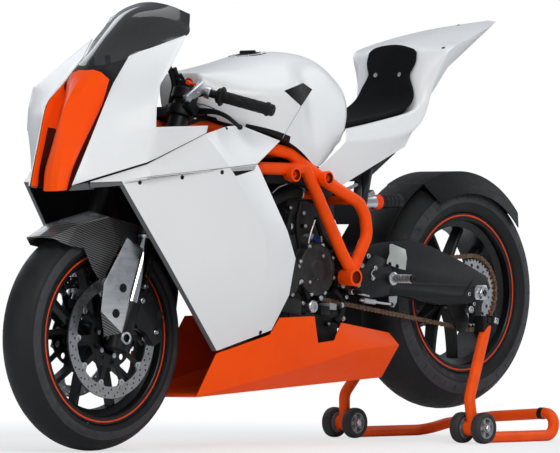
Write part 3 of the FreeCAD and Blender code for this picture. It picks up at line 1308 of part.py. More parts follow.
def footrests():
    """Footrest plates, heel guards, pegs and the gear and brake controls."""
    inner = size.plate_spread
    outer = inner + size.plate_thickness
    frame = doc.getObject("main_frame").Shape
    add_shape("rearset_plates", both_sides(plate(PLATE_SHARES, inner, outer).cut(frame)))
    guard = plate(HEEL_SHARES, outer + size.seat_gap, outer + size.seat_gap + size.panel_wall)
    place = spot(*PEG_SHARES) + SIDEWAYS * outer
    flange = rod(place, place + SIDEWAYS * size.nut_length, size.peg_radius * 1.5)
    peg = rod(place, place + SIDEWAYS * size.peg_length, size.peg_radius)
    rests = [both_sides(guard), both_sides(joined([peg, flange]))]
    add_shape("footrests", Part.makeCompound(rests))
    run = [spot(back, 0, up) + SIDEWAYS * (outer + size.bar_radius) for back, up in SHIFT_RUN_SHARES]
    rod_shape = tube(run, size.lever_radius, size.lever_radius * 3)
    post = rod(run[0] - SIDEWAYS * size.bar_radius, run[0] + SIDEWAYS * size.bar_radius,
               size.lever_radius * 1.6)
    toe = rod(run[-1], run[-1] + SIDEWAYS * size.peg_length * 0.5, size.lever_radius * 1.3)
    controls = both_sides(joined([rod_shape, post, toe]))
    add_shape("foot_controls", controls)


BRACKET_RUN_SHARES = [(0.1485, 0.13, 0.673), (0.085, 0.13, 0.692), (0.02, 0.13, 0.8)]
INSTRUMENTS_SHARES = [(0.07, 0.86), (0.12, 0.85), (0.11, 0.805), (0.06, 0.81)]
NOSE_STAYS_SHARES = [
    ((-0.09, 0.13, 0.8), "nose_insert"), ((0.0, 1.1, 0.79), "nose_fairing"),
    ((0.0, 0.13, 0.95), "windscreen"), ((0.1, 0.13, 0.835), "instruments"),
]
PANEL_STAYS_SHARES = [
    ((0.302, 0.45, 0.7), (0.302, 1.1, 0.69), "main_frame", "upper_side_panels"),
    ((0.351, 0.5335, 0.392), (0.351, 1.2, 0.392), "engine_crankcase", "lower_side_panels"),
    ((0.302, 0.367, 0.567), (0.302, 1.2, 0.567), "engine_cylinders", "lower_side_panels"),
    ((0.45, 0.46, 0.32), (0.45, 0.46, 0.1), "engine_crankcase", "belly_pan"),
]


def fairing_bracket():
    """The bracket from the steering head to the nose, with the instruments on it."""
    places = [spot(*share) for share in BRACKET_RUN_SHARES]
    radius = size.brace_tube_radius * 0.7
    left = tube(places, radius, radius * 3)
    right = tube([mirrored(place) for place in places], radius, radius * 3)
    cross = rod(mirrored(places[-1]), places[-1], radius)
    frame = doc.getObject("main_frame").Shape
    add_shape("instruments", plate(INSTRUMENTS_SHARES, -size.cap_radius, size.cap_radius))
    shapes = [left, right, cross]
    for share, held in NOSE_STAYS_SHARES:
        end = spot(*share)
        shapes.append(stay(places[-1], end, radius, [held]))
        shapes.append(stay(mirrored(places[-1]), mirrored(end), radius, [held]))
    add_shape("fairing_bracket", joined(shapes).cut(frame))


def panel_stays():
    """Short bars from the frame and the engine out to the side panels and the belly pan."""
    shapes = []
    for start, end, carrier, held in PANEL_STAYS_SHARES:
        bar = stay(spot(*start), spot(*end), size.brace_tube_radius * 0.7, [carrier, held])
        shapes += [bar, bar.mirror(Vector(0, 0, 0), SIDEWAYS)]
    add_shape("panel_stays", Part.makeCompound(shapes))


# Paddock stand


STAND_ARM_SHARES = [(0.985, 0.275), (0.89, 0.106), (0.897, 0.037)]
STAND_HANDLE_SHARES = [(1.15, 1.0125, 0.0134), (1.15, 1.0125, 0.067), (1.15, 0.07, 0.053),
                       (1.15, -0.667, 0.032), (1.148, -1.0125, 0.0134)]
STAND_AXLE_SHARE = 0.897
HOOK_SHARES = [(0.962, 0.3), (0.974, 0.3), (0.974, 0.281), (0.991, 0.281), (0.991, 0.3),
               (1.003, 0.3), (1.003, 0.262), (0.962, 0.262)]


def stand_frame():
    """The stand: an arm, a wheel block and a floor tube a side, joined by the handle."""
    spread = size.stand_spread
    arm = [spot(back, 0, up) + SIDEWAYS * spread for back, up in STAND_ARM_SHARES]
    arm[0].y = size.arm_inner_spread + size.arm_thickness + size.hook_thickness * 2
    arm[1].y = spread - size.stand_tube_radius * 0.4
    radius, bend = size.stand_tube_radius, size.stand_bend_radius
    axle = spot(STAND_AXLE_SHARE, 0, 0) + SIDEWAYS * spread + Vector(0, 0, size.stand_wheel_radius)
    reach = size.stand_wheel_spread + size.stand_wheel_width / 2
    shapes = []
    loop = [spot(*share) for share in STAND_HANDLE_SHARES]
    for place in loop:
        place.z = max(place.z, radius)
    toe = Vector(axle.x - size.stand_wheel_radius, spread, radius)
    loop = [axle, toe, *loop, mirrored(toe), mirrored(axle)]
    shapes.append(tube(loop, radius, bend))
    for sign in (1, -1):
        leg = [Vector(place.x, sign * place.y, place.z) for place in arm]
        shapes.append(tube(leg, radius, bend))
        middle = Vector(axle.x, sign * axle.y, axle.z)
        shapes.append(rod(middle - SIDEWAYS * reach, middle + SIDEWAYS * reach, size.stand_axle_radius))
        shapes.append(rod(middle - SIDEWAYS * radius * 1.1, middle + SIDEWAYS * radius * 1.1,
                          radius * 1.4))
    add_shape("stand_frame", joined(shapes))


def stand_hooks():
    """Black forked hooks that hold the swingarm's bobbins."""
    place = spot(*BOBBIN_SHARES)
    inner = size.arm_inner_spread + size.arm_thickness + size.hook_thickness
    outer = inner + size.hook_thickness * 2
    pin = rod(place, place + SIDEWAYS * outer * 2, size.bobbin_pin_radius + size.seat_gap)
    hook = plate(HOOK_SHARES, inner, outer).cut(pin).cut(doc.getObject("stand_frame").Shape)
    add_shape("stand_hooks", both_sides(hook))


def stand_wheels():
    """The twin wheels of each side of the stand."""
    centre_x = f"{FRONT_AXLE_X} - {STAND_AXLE_SHARE} * sizes.wheelbase"
    for name, sign in (("left", "1"), ("right", "-1")):
        pair = []
        for place, way in (("outer", "+"), ("inner", "-")):
            middle = f"{sign} * (sizes.stand_spread {way} sizes.stand_wheel_spread)"
            body = body_at(f"stand_wheel_{name}_{place}", centre_x, "sizes.stand_wheel_radius", middle)
            half = "sizes.stand_wheel_width / 2"
            corners = [
                (half, "sizes.stand_wheel_radius * 0.62"),
                (half, "sizes.stand_wheel_radius * 0.88"),
                (f"{half} * 0.6", "sizes.stand_wheel_radius"),
                (f"-{half} * 0.6", "sizes.stand_wheel_radius"),
                (f"-{half}", "sizes.stand_wheel_radius * 0.88"),
                (f"-{half}", "sizes.stand_wheel_radius * 0.62"),
                (f"-{half} * 0.6", "sizes.stand_wheel_radius * 0.55"),
                (f"-{half} * 0.6", "sizes.stand_axle_radius + sizes.running_gap"),
                (f"{half} * 0.6", "sizes.stand_axle_radius + sizes.running_gap"),
                (f"{half} * 0.6", "sizes.stand_wheel_radius * 0.55"),
            ]
            turned(body, f"stand_wheel_{name}_{place}_lathe", corners)
            pair.append(body)
        both = doc.addObject("Part::Compound", f"stand_wheels_{name}")
        both.Links = pair
        keep(both, f"stand_wheels_{name}")


def build():
    for end in (FRONT, REAR):
        tyre(end)
        rim(end)
    front_discs()
    rear_disc()
    rear_sprocket()
    axles()
    chain()
    fork()
    yokes()
    handlebars()
    fork_guards()
    front_calipers()
    front_fender()
    main_frame()
    fairing()
    tank()
    tail()
    engine()
    exhaust_and_cooling()
    swingarm()
    rear_hugger()
    rear_caliper()
    rear_subframe()
    shock_absorber()
    footrests()
    fairing_bracket()
    panel_stays()
    stand_frame()
    stand_hooks()
    stand_wheels()
    doc.recompute()


def check():
    for thing in doc.Objects:
        if "Invalid" in thing.State or "Error" in thing.State:
            raise RuntimeError(f"{thing.Name} did not build")
    for piece in pieces:
        if piece.Shape.isNull() or not piece.Shape.isValid():
            raise RuntimeError(f"{piece.Label} has no valid shape")


def write():
    os.makedirs("parts", exist_ok=True)
    for piece in pieces:
        piece.Shape.exportStep(f"parts/{piece.Label}.step")
        solids = piece.Shape.Solids
        print(piece.Label, len(solids), "solids", round(piece.Shape.Volume / 1000), "cm3")


build()
check()
write()
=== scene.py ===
import math

import bpy
from mathutils import Matrix, Vector


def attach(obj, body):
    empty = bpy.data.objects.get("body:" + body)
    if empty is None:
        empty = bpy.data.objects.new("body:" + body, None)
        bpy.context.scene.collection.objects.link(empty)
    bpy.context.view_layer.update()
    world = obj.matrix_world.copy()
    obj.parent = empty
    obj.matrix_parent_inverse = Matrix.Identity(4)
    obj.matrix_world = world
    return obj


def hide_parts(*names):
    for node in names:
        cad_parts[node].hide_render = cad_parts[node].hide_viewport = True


# A faired track motorcycle on its rear paddock stand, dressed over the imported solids.
# Metres, +X forward, +Y to the rider's left, +Z up, the floor at zero.

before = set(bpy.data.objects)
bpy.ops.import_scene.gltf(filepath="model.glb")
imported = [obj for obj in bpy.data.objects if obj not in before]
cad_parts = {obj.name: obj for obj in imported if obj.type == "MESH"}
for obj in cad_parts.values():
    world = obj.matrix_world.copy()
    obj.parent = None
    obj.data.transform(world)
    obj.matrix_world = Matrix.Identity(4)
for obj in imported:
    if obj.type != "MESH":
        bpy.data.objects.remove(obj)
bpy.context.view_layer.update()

WHEELBASE, REAR_LIFT = 1.425, 0.125
HALF_WIDTH, HEIGHT = 0.240, 1.2
FRONT_RADIUS, REAR_RADIUS = 0.300, 0.335
AXLE_RUN = math.sqrt(WHEELBASE ** 2 - REAR_LIFT ** 2)
FRONT_X = (AXLE_RUN + REAR_RADIUS - FRONT_RADIUS) / 2
FRONT_AXLE = Vector((FRONT_X, 0, FRONT_RADIUS))
REAR_AXLE = Vector((FRONT_X - AXLE_RUN, 0, FRONT_RADIUS + REAR_LIFT))
RAKE = math.radians(20)
FORK_UP = Vector((-math.sin(RAKE), 0, math.cos(RAKE)))
SIDEWAYS = Vector((0, 1, 0))
UP = Vector((0, 0, 1))


def spot(back, side, up):
    """A place: shares of the wheelbase behind the front axle, of the half width, of the height."""
    return Vector((FRONT_X - back * WHEELBASE, side * HALF_WIDTH, up * HEIGHT))


def fork_spot(rise, side=0.0):
    """A place along the fork, from the front axle up."""
    return FRONT_AXLE + FORK_UP * rise + SIDEWAYS * side


def flipped(place):
    return Vector((place.x, -place.y, place.z))


# Camera and stage

AZIMUTH, ELEVATION, ROLL = (math.radians(angle) for angle in (132.806, -0.781, 0.627))
FOCAL_PIXELS, IMAGE_WIDTH, IMAGE_HEIGHT, SENSOR = 4314.3, 560, 453, 36
CAMERA_PLACE = Vector((8.057 + FRONT_X, 8.103, 0.479))
PIXELS_LEFT, PIXELS_UP = 9.0, 13.7


def make_camera():
    data = bpy.data.cameras.new("camera")
    data.sensor_width = SENSOR
    data.lens = FOCAL_PIXELS * SENSOR / IMAGE_WIDTH
    data.shift_x = PIXELS_LEFT / IMAGE_WIDTH
    data.shift_y = -PIXELS_UP / IMAGE_WIDTH
    data.clip_end = 200
    ahead = Vector((-math.sin(AZIMUTH) * math.cos(ELEVATION),
                    math.cos(AZIMUTH) * math.cos(ELEVATION), -math.sin(ELEVATION)))
    right = ahead.cross(UP).normalized()
    over = right.cross(ahead)
    across = right * math.cos(ROLL) + over * math.sin(ROLL)
    upward = over * math.cos(ROLL) - right * math.sin(ROLL)
    camera = bpy.data.objects.new("camera", data)
    camera.matrix_world = Matrix((
        (across.x, upward.x, -ahead.x, CAMERA_PLACE.x),
        (across.y, upward.y, -ahead.y, CAMERA_PLACE.y),
        (across.z, upward.z, -ahead.z, CAMERA_PLACE.z),
        (0, 0, 0, 1),
    ))
    bpy.context.scene.collection.objects.link(camera)
    bpy.context.scene.camera = camera


class Tree:
    """A node tree under construction."""

    def __init__(self, tree):
        self.tree = tree

    def node(self, kind, inputs=None, **settings):
        made = self.tree.nodes.new(kind)
        for key, value in settings.items():
            setattr(made, key, value)
        for key, value in (inputs or {}).items():
            self.feed(made.inputs[key], value)
        return made

    def feed(self, socket, value):
        if isinstance(value, bpy.types.NodeSocket):
            self.tree.links.new(value, socket)
        else:
            socket.default_value = value

    def coords(self, stretch=(1, 1, 1), turn=(0, 0, 0)):
        place = self.node("ShaderNodeTexCoord").outputs["Object"]
        mapping = self.node("ShaderNodeMapping", {"Vector": place, "Scale": stretch, "Rotation": turn})
        return mapping.outputs[0]

    def noise(self, scale, detail=3.0, stretch=(1, 1, 1), rough=0.5):
        made = self.node("ShaderNodeTexNoise", {
            "Vector": self.coords(stretch), "Scale": scale, "Detail": detail, "Roughness": rough,
        })
        return made.outputs["Fac"]

    def maths(self, operation, first, second):
        return self.node("ShaderNodeMath", {0: first, 1: second}, operation=operation).outputs[0]

    def spread(self, value, low, high, to_low, to_high):
        made = self.node("ShaderNodeMapRange", {
            "Value": value, "From Min": low, "From Max": high, "To Min": to_low, "To Max": to_high,
        })
        return made.outputs[0]

    def blend(self, factor, first, second):
        made = self.node("ShaderNodeMix", data_type="RGBA")
        self.feed(made.inputs["Factor"], factor)
        self.feed(made.inputs[6], first)
        self.feed(made.inputs[7], second)
        return made.outputs[2]

    def bump(self, height, strength, distance, under=None):
        inputs = {"Height": height, "Strength": strength, "Distance": distance}
        if under is not None:
            inputs["Normal"] = under
        return self.node("ShaderNodeBump", inputs).outputs[0]


def seen_directly(tree, mirrors=False):
    """One for camera and glass rays, and mirror rays if wanted; nought for rays of soft light."""
    path = tree.node("ShaderNodeLightPath").outputs
    seen = tree.maths("MAXIMUM", path["Is Camera Ray"], path["Is Transmission Ray"])
    return tree.maths("MAXIMUM", seen, path["Is Glossy Ray"]) if mirrors else seen


BACKDROP = (1, 1, 1, 1)
SOFT_SKY = (0.30, 0.33, 0.37, 1)
ZENITH = (0.40, 0.46, 0.54, 1)
MIRRORED_SKY = (0.26, 0.28, 0.31, 1)
FLOOR_COLOUR = (0.82, 0.82, 0.82, 1)
ZENITH_START_END = (0.25, 0.9)
FLOOR_REACH, FLOOR_SIDES, FLOOR_FADE = 45.0, 48, (0.9, 1.9, 0.62, 1)


def make_world():
    world = bpy.data.worlds.new("studio")
    world.use_nodes = True
    tree = Tree(world.node_tree)
    height = tree.node("ShaderNodeSeparateXYZ", {0: tree.node("ShaderNodeTexCoord").outputs["Generated"]})
    high = tree.spread(height.outputs["Z"], *ZENITH_START_END, 0, 1)
    shown = tree.blend(high, BACKDROP, ZENITH)
    mirrored = tree.blend(seen_directly(tree, True), SOFT_SKY, MIRRORED_SKY)
    colour = tree.blend(seen_directly(tree), mirrored, shown)
    background = world.node_tree.nodes["Background"]
    tree.feed(background.inputs["Color"], colour)
    bpy.context.scene.world = world


def make_floor():
    """A pale floor that keeps the shadow near the wheels and fades to white further out."""
    mesh = bpy.data.meshes.new("floor")
    ring = [(*place, 0) for place in circle(FLOOR_REACH, FLOOR_SIDES)]
    mesh.from_pydata(ring, [], [tuple(range(FLOOR_SIDES))])
    floor = bpy.data.objects.new("floor", mesh)
    bpy.context.scene.collection.objects.link(floor)
    made = bpy.data.materials.new("floor")
    made.use_nodes = True
    tree = Tree(made.node_tree)
    soft = tree.node("ShaderNodeBsdfDiffuse", {"Color": FLOOR_COLOUR}).outputs[0]
    white = tree.node("ShaderNodeEmission", {"Color": BACKDROP}).outputs[0]
    away = tree.node("ShaderNodeVectorMath", {0: tree.coords()}, operation="LENGTH").outputs["Value"]
    share = tree.maths("MULTIPLY", seen_directly(tree), tree.spread(away, *FLOOR_FADE))
    mixed = tree.node("ShaderNodeMixShader", {0: share, 1: soft, 2: white})
    tree.feed(made.node_tree.nodes["Material Output"].inputs["Surface"], mixed.outputs[0])
    mesh.materials.append(made)


LAMP_AIM = Vector((0, 0, 0.55))
LAMPS = [
    ("key", (3.2, 6.4, 4.6), 262, 3.6, (1.0, 0.985, 0.96)),
    ("top", (-0.6, 0.2, 4.8), 66, 3.4, (0.95, 0.975, 1.0)),
    ("front", (6.6, 0.5, 2.2), 84, 3.0, (1.0, 1.0, 1.0)),
    ("far_side", (-1.5, -6.0, 3.6), 66, 3.6, (0.94, 0.97, 1.0)),
    ("behind", (-6.4, 1.5, 2.8), 54, 3.0, (0.97, 0.985, 1.0)),
]


def make_lamps():
    for name, place, power, width, colour in LAMPS:
        data = bpy.data.lights.new(name, "AREA")
        data.energy = power
        data.size = width
        data.color = colour
        lamp = bpy.data.objects.new(name, data)
        lamp.location = place
        lamp.rotation_mode = "QUATERNION"
        lamp.rotation_quaternion = (LAMP_AIM - Vector(place)).to_track_quat("-Z", "Y")
        bpy.context.scene.collection.objects.link(lamp)


# Finishes

DUST_COLOUR = (0.30, 0.28, 0.25, 1)
finishes = {}


def finish_tree(name):
    made = bpy.data.materials.new(name)
    made.use_nodes = True
    finishes[name] = made
    return Tree(made.node_tree), made.node_tree.nodes["Principled BSDF"]


def finish(name, colour, worn, rough, metallic=0.0, mottle=4.0, share=0.5, grain=900.0, relief=0.02,
           smear=0.06, coat=0.0, level=0.5, stretch=(1, 1, 1), dust=0.0):
    """A finish with uneven colour, smeared gloss, fine relief and a little dust on what faces up."""
    tree, shader = finish_tree(name)
    wide = tree.noise(mottle, 5, stretch, 0.6)
    fine = tree.noise(grain, 2, stretch)
    patch = tree.spread(wide, 0.42, 0.72, 0, share)
    shade = tree.blend(patch, (*colour, 1), (*worn, 1))
    if dust:
        normal = tree.node("ShaderNodeNewGeometry").outputs["Normal"]
        facing = tree.node("ShaderNodeSeparateXYZ", {0: normal}).outputs["Z"]
        lying = tree.spread(facing, 0.35, 1.0, 0, dust)
        loose = tree.maths("MULTIPLY", lying, tree.spread(tree.noise(38, 6), 0.35, 0.7, 0.2, 1))
        shade = tree.blend(loose, shade, DUST_COLOUR)
    tree.feed(shader.inputs["Base Color"], shade)
    gloss = tree.maths("ADD", tree.spread(tree.noise(mottle * 4, 4), 0.3, 0.7, rough - smear, rough + smear),
                       tree.spread(fine, 0.3, 0.7, -smear / 3, smear / 3))
    tree.feed(shader.inputs["Roughness"], gloss)
    tree.feed(shader.inputs["Normal"], tree.bump(fine, relief * 10, relief * 0.01))
    shader.inputs["Metallic"].default_value = metallic
    shader.inputs["Specular IOR Level"].default_value = level
    shader.inputs["Coat Weight"].default_value = coat
    shader.inputs["Coat Roughness"].default_value = 0.12
    return tree, shader


def make_finishes():
    white, dull_white = (0.80, 0.80, 0.795), (0.70, 0.70, 0.69)
    finish("white_paint", white, dull_white, 0.34, mottle=2.6, share=0.35, grain=700, relief=0.008, coat=0.2)
    finish("orange_paint", (0.97, 0.082, 0.002), (0.84, 0.060, 0.002), 0.42, mottle=3.0, relief=0.01,
           level=0.10)
    finish("frame_paint", (0.96, 0.080, 0.002), (0.66, 0.046, 0.002), 0.42, mottle=14, level=0.12, dust=0.08)
    finish("stand_paint", (0.97, 0.095, 0.004), (0.66, 0.060, 0.004), 0.38, mottle=11, level=0.14, dust=0.08)
    # painted shade inside the open frame tube mouths
    finish("bore_shade_orange", (0.14, 0.012, 0.001), (0.10, 0.010, 0.001), 0.6, mottle=30, level=0.15)
    finish("black_metal", (0.0065, 0.0065, 0.0075), (0.016, 0.0155, 0.015), 0.44, 0.1, mottle=18, level=0.25)
    finish("dark_metal", (0.010, 0.010, 0.011), (0.026, 0.025, 0.023), 0.40, 0.3, mottle=22, level=0.25,
           dust=0.06)
    finish("engine_metal", (0.030, 0.029, 0.029), (0.075, 0.071, 0.066), 0.5, 0.5, mottle=26, grain=420,
           relief=0.05, level=0.25, dust=0.1)
    finish("exhaust_steel", (0.42, 0.37, 0.31), (0.20, 0.13, 0.10), 0.34, 1.0, mottle=12, relief=0.02)
    finish("bright_metal", (0.62, 0.63, 0.64), (0.42, 0.43, 0.44), 0.34, 1.0, mottle=9, grain=160,
           relief=0.012, smear=0.1, stretch=(1, 1, 14))
    finish("pale_metal", (0.50, 0.53, 0.49), (0.36, 0.39, 0.36), 0.42, 0.5, mottle=12, grain=260,
           relief=0.012)
    finish("chrome_tube", (0.66, 0.67, 0.70), (0.45, 0.46, 0.50), 0.13, 1.0, mottle=8, grain=300,
           relief=0.003, smear=0.05)
    finish("black_plastic", (0.0055, 0.0055, 0.006), (0.012, 0.012, 0.0125), 0.55, mottle=16, grain=1200,
           relief=0.03, level=0.2, dust=0.03)
    finish("grey_plastic", (0.30, 0.31, 0.31), (0.20, 0.205, 0.205), 0.45, mottle=20, level=0.4)
    finish("grip_rubber", (0.0065, 0.0065, 0.007), (0.018, 0.0175, 0.0175), 0.62, mottle=40, grain=1500,
           relief=0.04, level=0.22)
    finish("seat_foam", (0.0055, 0.0055, 0.0065), (0.011, 0.011, 0.012), 0.9, mottle=9, grain=650,
           relief=0.12, level=0.12)
    finish("chain_metal", (0.52, 0.27, 0.13), (0.10, 0.06, 0.04), 0.42, 0.85, mottle=90, share=0.9,
           grain=300, relief=0.03)
    finish("chain_plate", (0.20, 0.13, 0.085), (0.07, 0.05, 0.04), 0.5, 0.8, mottle=90, share=0.8,
           grain=300, relief=0.03)
    finish("rim_black", (0.006, 0.006, 0.0065), (0.014, 0.0135, 0.0135), 0.36, 0.1, mottle=16, level=0.35,
           dust=0.03)
    finish("orange_line", (0.88, 0.06, 0.002), (0.60, 0.04, 0.002), 0.42, mottle=22, level=0.2)
    # painted shade: the shaded grooves, intakes and edges of the nose insert
    finish("painted_shade_red", (0.045, 0.004, 0.001), (0.08, 0.007, 0.002), 0.6, mottle=30, level=0.1)
    finish("shadow_gap", (0.005, 0.005, 0.005), (0.015, 0.015, 0.015), 0.8, mottle=40, level=0.1)
    finish("grey_line", (0.42, 0.42, 0.42), (0.34, 0.34, 0.34), 0.6, mottle=40, level=0.2)
    finish("blue_anodised", (0.03, 0.09, 0.42), (0.02, 0.05, 0.25), 0.3, 0.8, mottle=40)
    # painted shade: the turned-in edges of the white panels, shown shaded grey
    finish("lip_grey", (0.12, 0.122, 0.126), (0.08, 0.082, 0.085), 0.5, mottle=12, level=0.2)
    finish("stand_tyre", (0.030, 0.030, 0.032), (0.06, 0.058, 0.056), 0.6, mottle=24, level=0.25)
    finish("hub_grey", (0.30, 0.31, 0.32), (0.20, 0.205, 0.21), 0.45, 0.1, mottle=24, level=0.3)
    make_tyre_rubber()
    make_disc_steel()
    make_carbon()
    make_screen_glass()


def radial(tree, centre):
    """The distance from a wheel's axle."""
    place = tree.node("ShaderNodeTexCoord").outputs["Object"]
    from_axle = tree.node("ShaderNodeVectorMath", {0: place, 1: tuple(-centre)}, operation="ADD").outputs[0]
    flat = tree.node("ShaderNodeVectorMath", {0: from_axle, 1: (1, 0, 1)}, operation="MULTIPLY").outputs[0]
    return tree.node("ShaderNodeVectorMath", {0: flat}, operation="LENGTH").outputs["Value"]


def make_tyre_rubber():
    """Rubber with scuffs and fine rings, and the paler ribbed rubber of the flank bands."""
    for end, centre in (("front", FRONT_AXLE), ("rear", REAR_AXLE)):
        for part, lift, ribs, depth in (("rubber", 1.0, 700.0, 0.2), ("band", 4.2, 1900.0, 0.7)):
            tree, shader = finish_tree(f"{end}_{part}")
            scuffs = tree.spread(tree.noise(46, 6, (1, 0.3, 1), rough=0.65), 0.4, 0.75, 0, 1)
            wide = tree.spread(tree.noise(5, 4), 0.35, 0.7, 0, 1)
            clean, rubbed, dusty = (tuple(lift * value for value in colour) + (1,) for colour in (
                (0.0070, 0.0070, 0.0078), (0.022, 0.0215, 0.021), (0.013, 0.013, 0.0145)))
            shade = tree.blend(tree.maths("MULTIPLY", scuffs, 0.55), clean, rubbed)
            shade = tree.blend(tree.maths("MULTIPLY", wide, 0.4), shade, dusty)
            tree.feed(shader.inputs["Base Color"], shade)
            tree.feed(shader.inputs["Roughness"], tree.spread(scuffs, 0, 1, 0.5, 0.78))
            rings = tree.node("ShaderNodeTexNoise", noise_dimensions="1D", inputs={
                "W": radial(tree, centre), "Scale": ribs, "Detail": 2.0,
            }).outputs["Fac"]
            pores = tree.noise(900, 3)
            ribbed = tree.bump(rings, depth, 0.0006)
            tree.feed(shader.inputs["Normal"], tree.bump(pores, 0.25, 0.0006, ribbed))
            shader.inputs["Specular IOR Level"].default_value = 0.26


def make_disc_steel():
    """Disc steel with the rings that the pads leave."""
    for name, centre in (("disc_steel", FRONT_AXLE), ("rear_disc_steel", REAR_AXLE)):
        tree, shader = finish_tree(name)
        marks = tree.node("ShaderNodeTexNoise", {"W": radial(tree, centre), "Scale": 1400.0, "Detail": 3.0},
                          noise_dimensions="1D").outputs["Fac"]
        bands = tree.spread(marks, 0.35, 0.65, 0, 1)
        shade = tree.blend(bands, (0.33, 0.33, 0.335, 1), (0.52, 0.52, 0.53, 1))
        patches = tree.spread(tree.noise(30, 4), 0.5, 0.8, 0, 0.6)
        shade = tree.blend(patches, shade, (0.26, 0.24, 0.22, 1))
        tree.feed(shader.inputs["Base Color"], shade)
        tree.feed(shader.inputs["Roughness"], tree.spread(marks, 0.3, 0.7, 0.28, 0.42))
        tree.feed(shader.inputs["Normal"], tree.bump(marks, 0.12, 0.0004))
        shader.inputs["Metallic"].default_value = 1.0


def make_carbon():
    """Carbon cloth under a clear coat: fine tows that catch the light by turns."""
    tree, shader = finish_tree("carbon")
    bent = tree.noise(3.0, 2)
    place = tree.coords((1, 1, 1), (0.10, 0.30, 0))
    shift = tree.node("ShaderNodeVectorMath", {0: bent, 1: (0.05, 0.05, 0.05)}, operation="MULTIPLY")
    moved = tree.node("ShaderNodeVectorMath", {0: place, 1: shift.outputs[0]}, operation="ADD").outputs[0]
    tows = tree.node("ShaderNodeTexWave", {"Vector": moved, "Scale": 52.0, "Distortion": 0.0},
                     bands_direction="Z").outputs["Fac"]
    across = tree.node("ShaderNodeTexWave", {"Vector": moved, "Scale": 120.0, "Distortion": 0.6},
                       bands_direction="X").outputs["Fac"]
    lit = tree.maths("MULTIPLY", tree.spread(tows, 0.35, 0.85, 0, 1), tree.spread(across, 0, 1, 0.6, 1))
    shade = tree.blend(lit, (0.008, 0.008, 0.009, 1), (0.15, 0.145, 0.14, 1))
    tree.feed(shader.inputs["Base Color"], shade)
    tree.feed(shader.inputs["Roughness"], tree.spread(tree.noise(20, 3), 0.3, 0.7, 0.24, 0.4))
    tree.feed(shader.inputs["Normal"], tree.bump(lit, 0.15, 0.0004))
    shader.inputs["Metallic"].default_value = 0.3
    shader.inputs["Coat Weight"].default_value = 0.5
    shader.inputs["Coat Roughness"].default_value = 0.1


def make_screen_glass():
    tree, shader = finish_tree("smoked_screen")
    haze = tree.spread(tree.noise(7, 4), 0.35, 0.7, 0, 1)
    shade = tree.blend(haze, (0.004, 0.005, 0.006, 1), (0.016, 0.019, 0.020, 1))
    tree.feed(shader.inputs["Base Color"], shade)
    tree.feed(shader.inputs["Roughness"], tree.spread(tree.noise(26, 4), 0.3, 0.7, 0.05, 0.11))
    shader.inputs["Alpha"].default_value = 0.86
    shader.inputs["Coat Weight"].default_value = 0.4
    shader.inputs["Coat Roughness"].default_value = 0.04


# Mesh building


class Build:
    """Points and faces of one piece, with the number of a finish for each face."""

    def __init__(self):
        self.points = []
        self.faces = []
        self.kinds = []

    def add(self, points, faces):
        first = len(self.points)
        self.points += [Vector(point) for point in points]
        self.faces += [tuple(first + i for i in face) for face in faces]
        self.kinds += [0] * len(faces)
        return self

    def add_build(self, other, kind=None):
        first = len(self.points)
        self.points += other.points
        self.faces += [tuple(first + i for i in face) for face in other.faces]
        self.kinds += other.kinds if kind is None else [kind] * len(other.faces)
        return self

    def moved(self, change):
        made = Build()
        made.points = [change(point) for point in self.points]
        made.faces, made.kinds = list(self.faces), list(self.kinds)
        return made

    def mirrored(self):
        made = self.moved(flipped)
        made.faces = [tuple(reversed(face)) for face in made.faces]
        return made

    def both(self):
        """This side and its mirror image."""
        return self.add_build(self.mirrored())


def polar(radius, turn):
    return radius * math.cos(turn), radius * math.sin(turn)


def ray(turn):
    """A way square to the axles."""
    return Vector((math.cos(turn), 0, math.sin(turn)))


def frame_of(way):
    """Two directions square to a way."""
    way = way.normalized()
    aside = way.cross(UP if abs(way.z) < 0.95 else Vector((1, 0, 0))).normalized()
    return aside, way.cross(aside).normalized()


def rounded_path(places, bend, steps=6):
    """The runs between the places with an arc at each corner."""
    path = [places[0]]
    for before, corner, after in zip(places, places[1:], places[2:]):
        to_before, to_after = (before - corner), (after - corner)
        room = min(to_before.length, to_after.length) * 0.48
        to_before.normalize()
        to_after.normalize()
        half_turn = to_before.angle(to_after) / 2
        reach = min(bend / math.tan(half_turn), room)
        start, end = corner + to_before * reach, corner + to_after * reach
        for step in range(steps + 1):
            share = step / steps
            path.append(start.lerp(corner, share).lerp(corner.lerp(end, share), share))
    path.append(places[-1])
    return path


def curved_path(places, steps=6):
    """A smooth line through the places."""
    ends = [places[0] * 2 - places[1], *places, places[-1] * 2 - places[-2]]
    path = []
    for number in range(len(places) - 1):
        a, b, c, d = ends[number:number + 4]
        for step in range(steps):
            t = step / steps
            path.append((b * 2 + (c - a) * t + (a * 2 - b * 5 + c * 4 - d) * t * t
                         + (b * 3 - a - c * 3 + d) * t ** 3) / 2)
    path.append(places[-1])
    return path


def swept(path, section_at):
    """A closed skin of the sections along a path. section_at gives the section's flat points at a share."""
    ways = []
    for before, after in zip(path[:1] + path[:-1], path[1:] + path[-1:]):
        ways.append((after - before).normalized())
    aside, over = frame_of(ways[0])
    points, faces = [], []
    for number, place in enumerate(path):
        if number:
            turn = ways[number - 1].rotation_difference(ways[number])
            aside, over = turn @ aside, turn @ over
        section = section_at(number / (len(path) - 1))
        points += [place + aside * u + over * v for u, v in section]
    count = len(section)
    for number in range(len(path) - 1):
        for i in range(count):
            j = (i + 1) % count
            a, b = number * count, (number + 1) * count
            faces.append((a + i, a + j, b + j, b + i))
    faces.append(tuple(reversed(range(count))))
    faces.append(tuple(range((len(path) - 1) * count, len(path) * count)))
    return Build().add(points, faces)


def circle(radius, sides):
    return [polar(radius, 2 * math.pi * i / sides) for i in range(sides)]


def pipe(places, radius, sides=14, bend=None, steps=6):
    path = rounded_path(places, bend, steps) if bend else list(places)
    return swept(path, lambda share: circle(radius, sides))


def hose(places, radius, sides=10):
    return swept(curved_path(places), lambda share: circle(radius, sides))


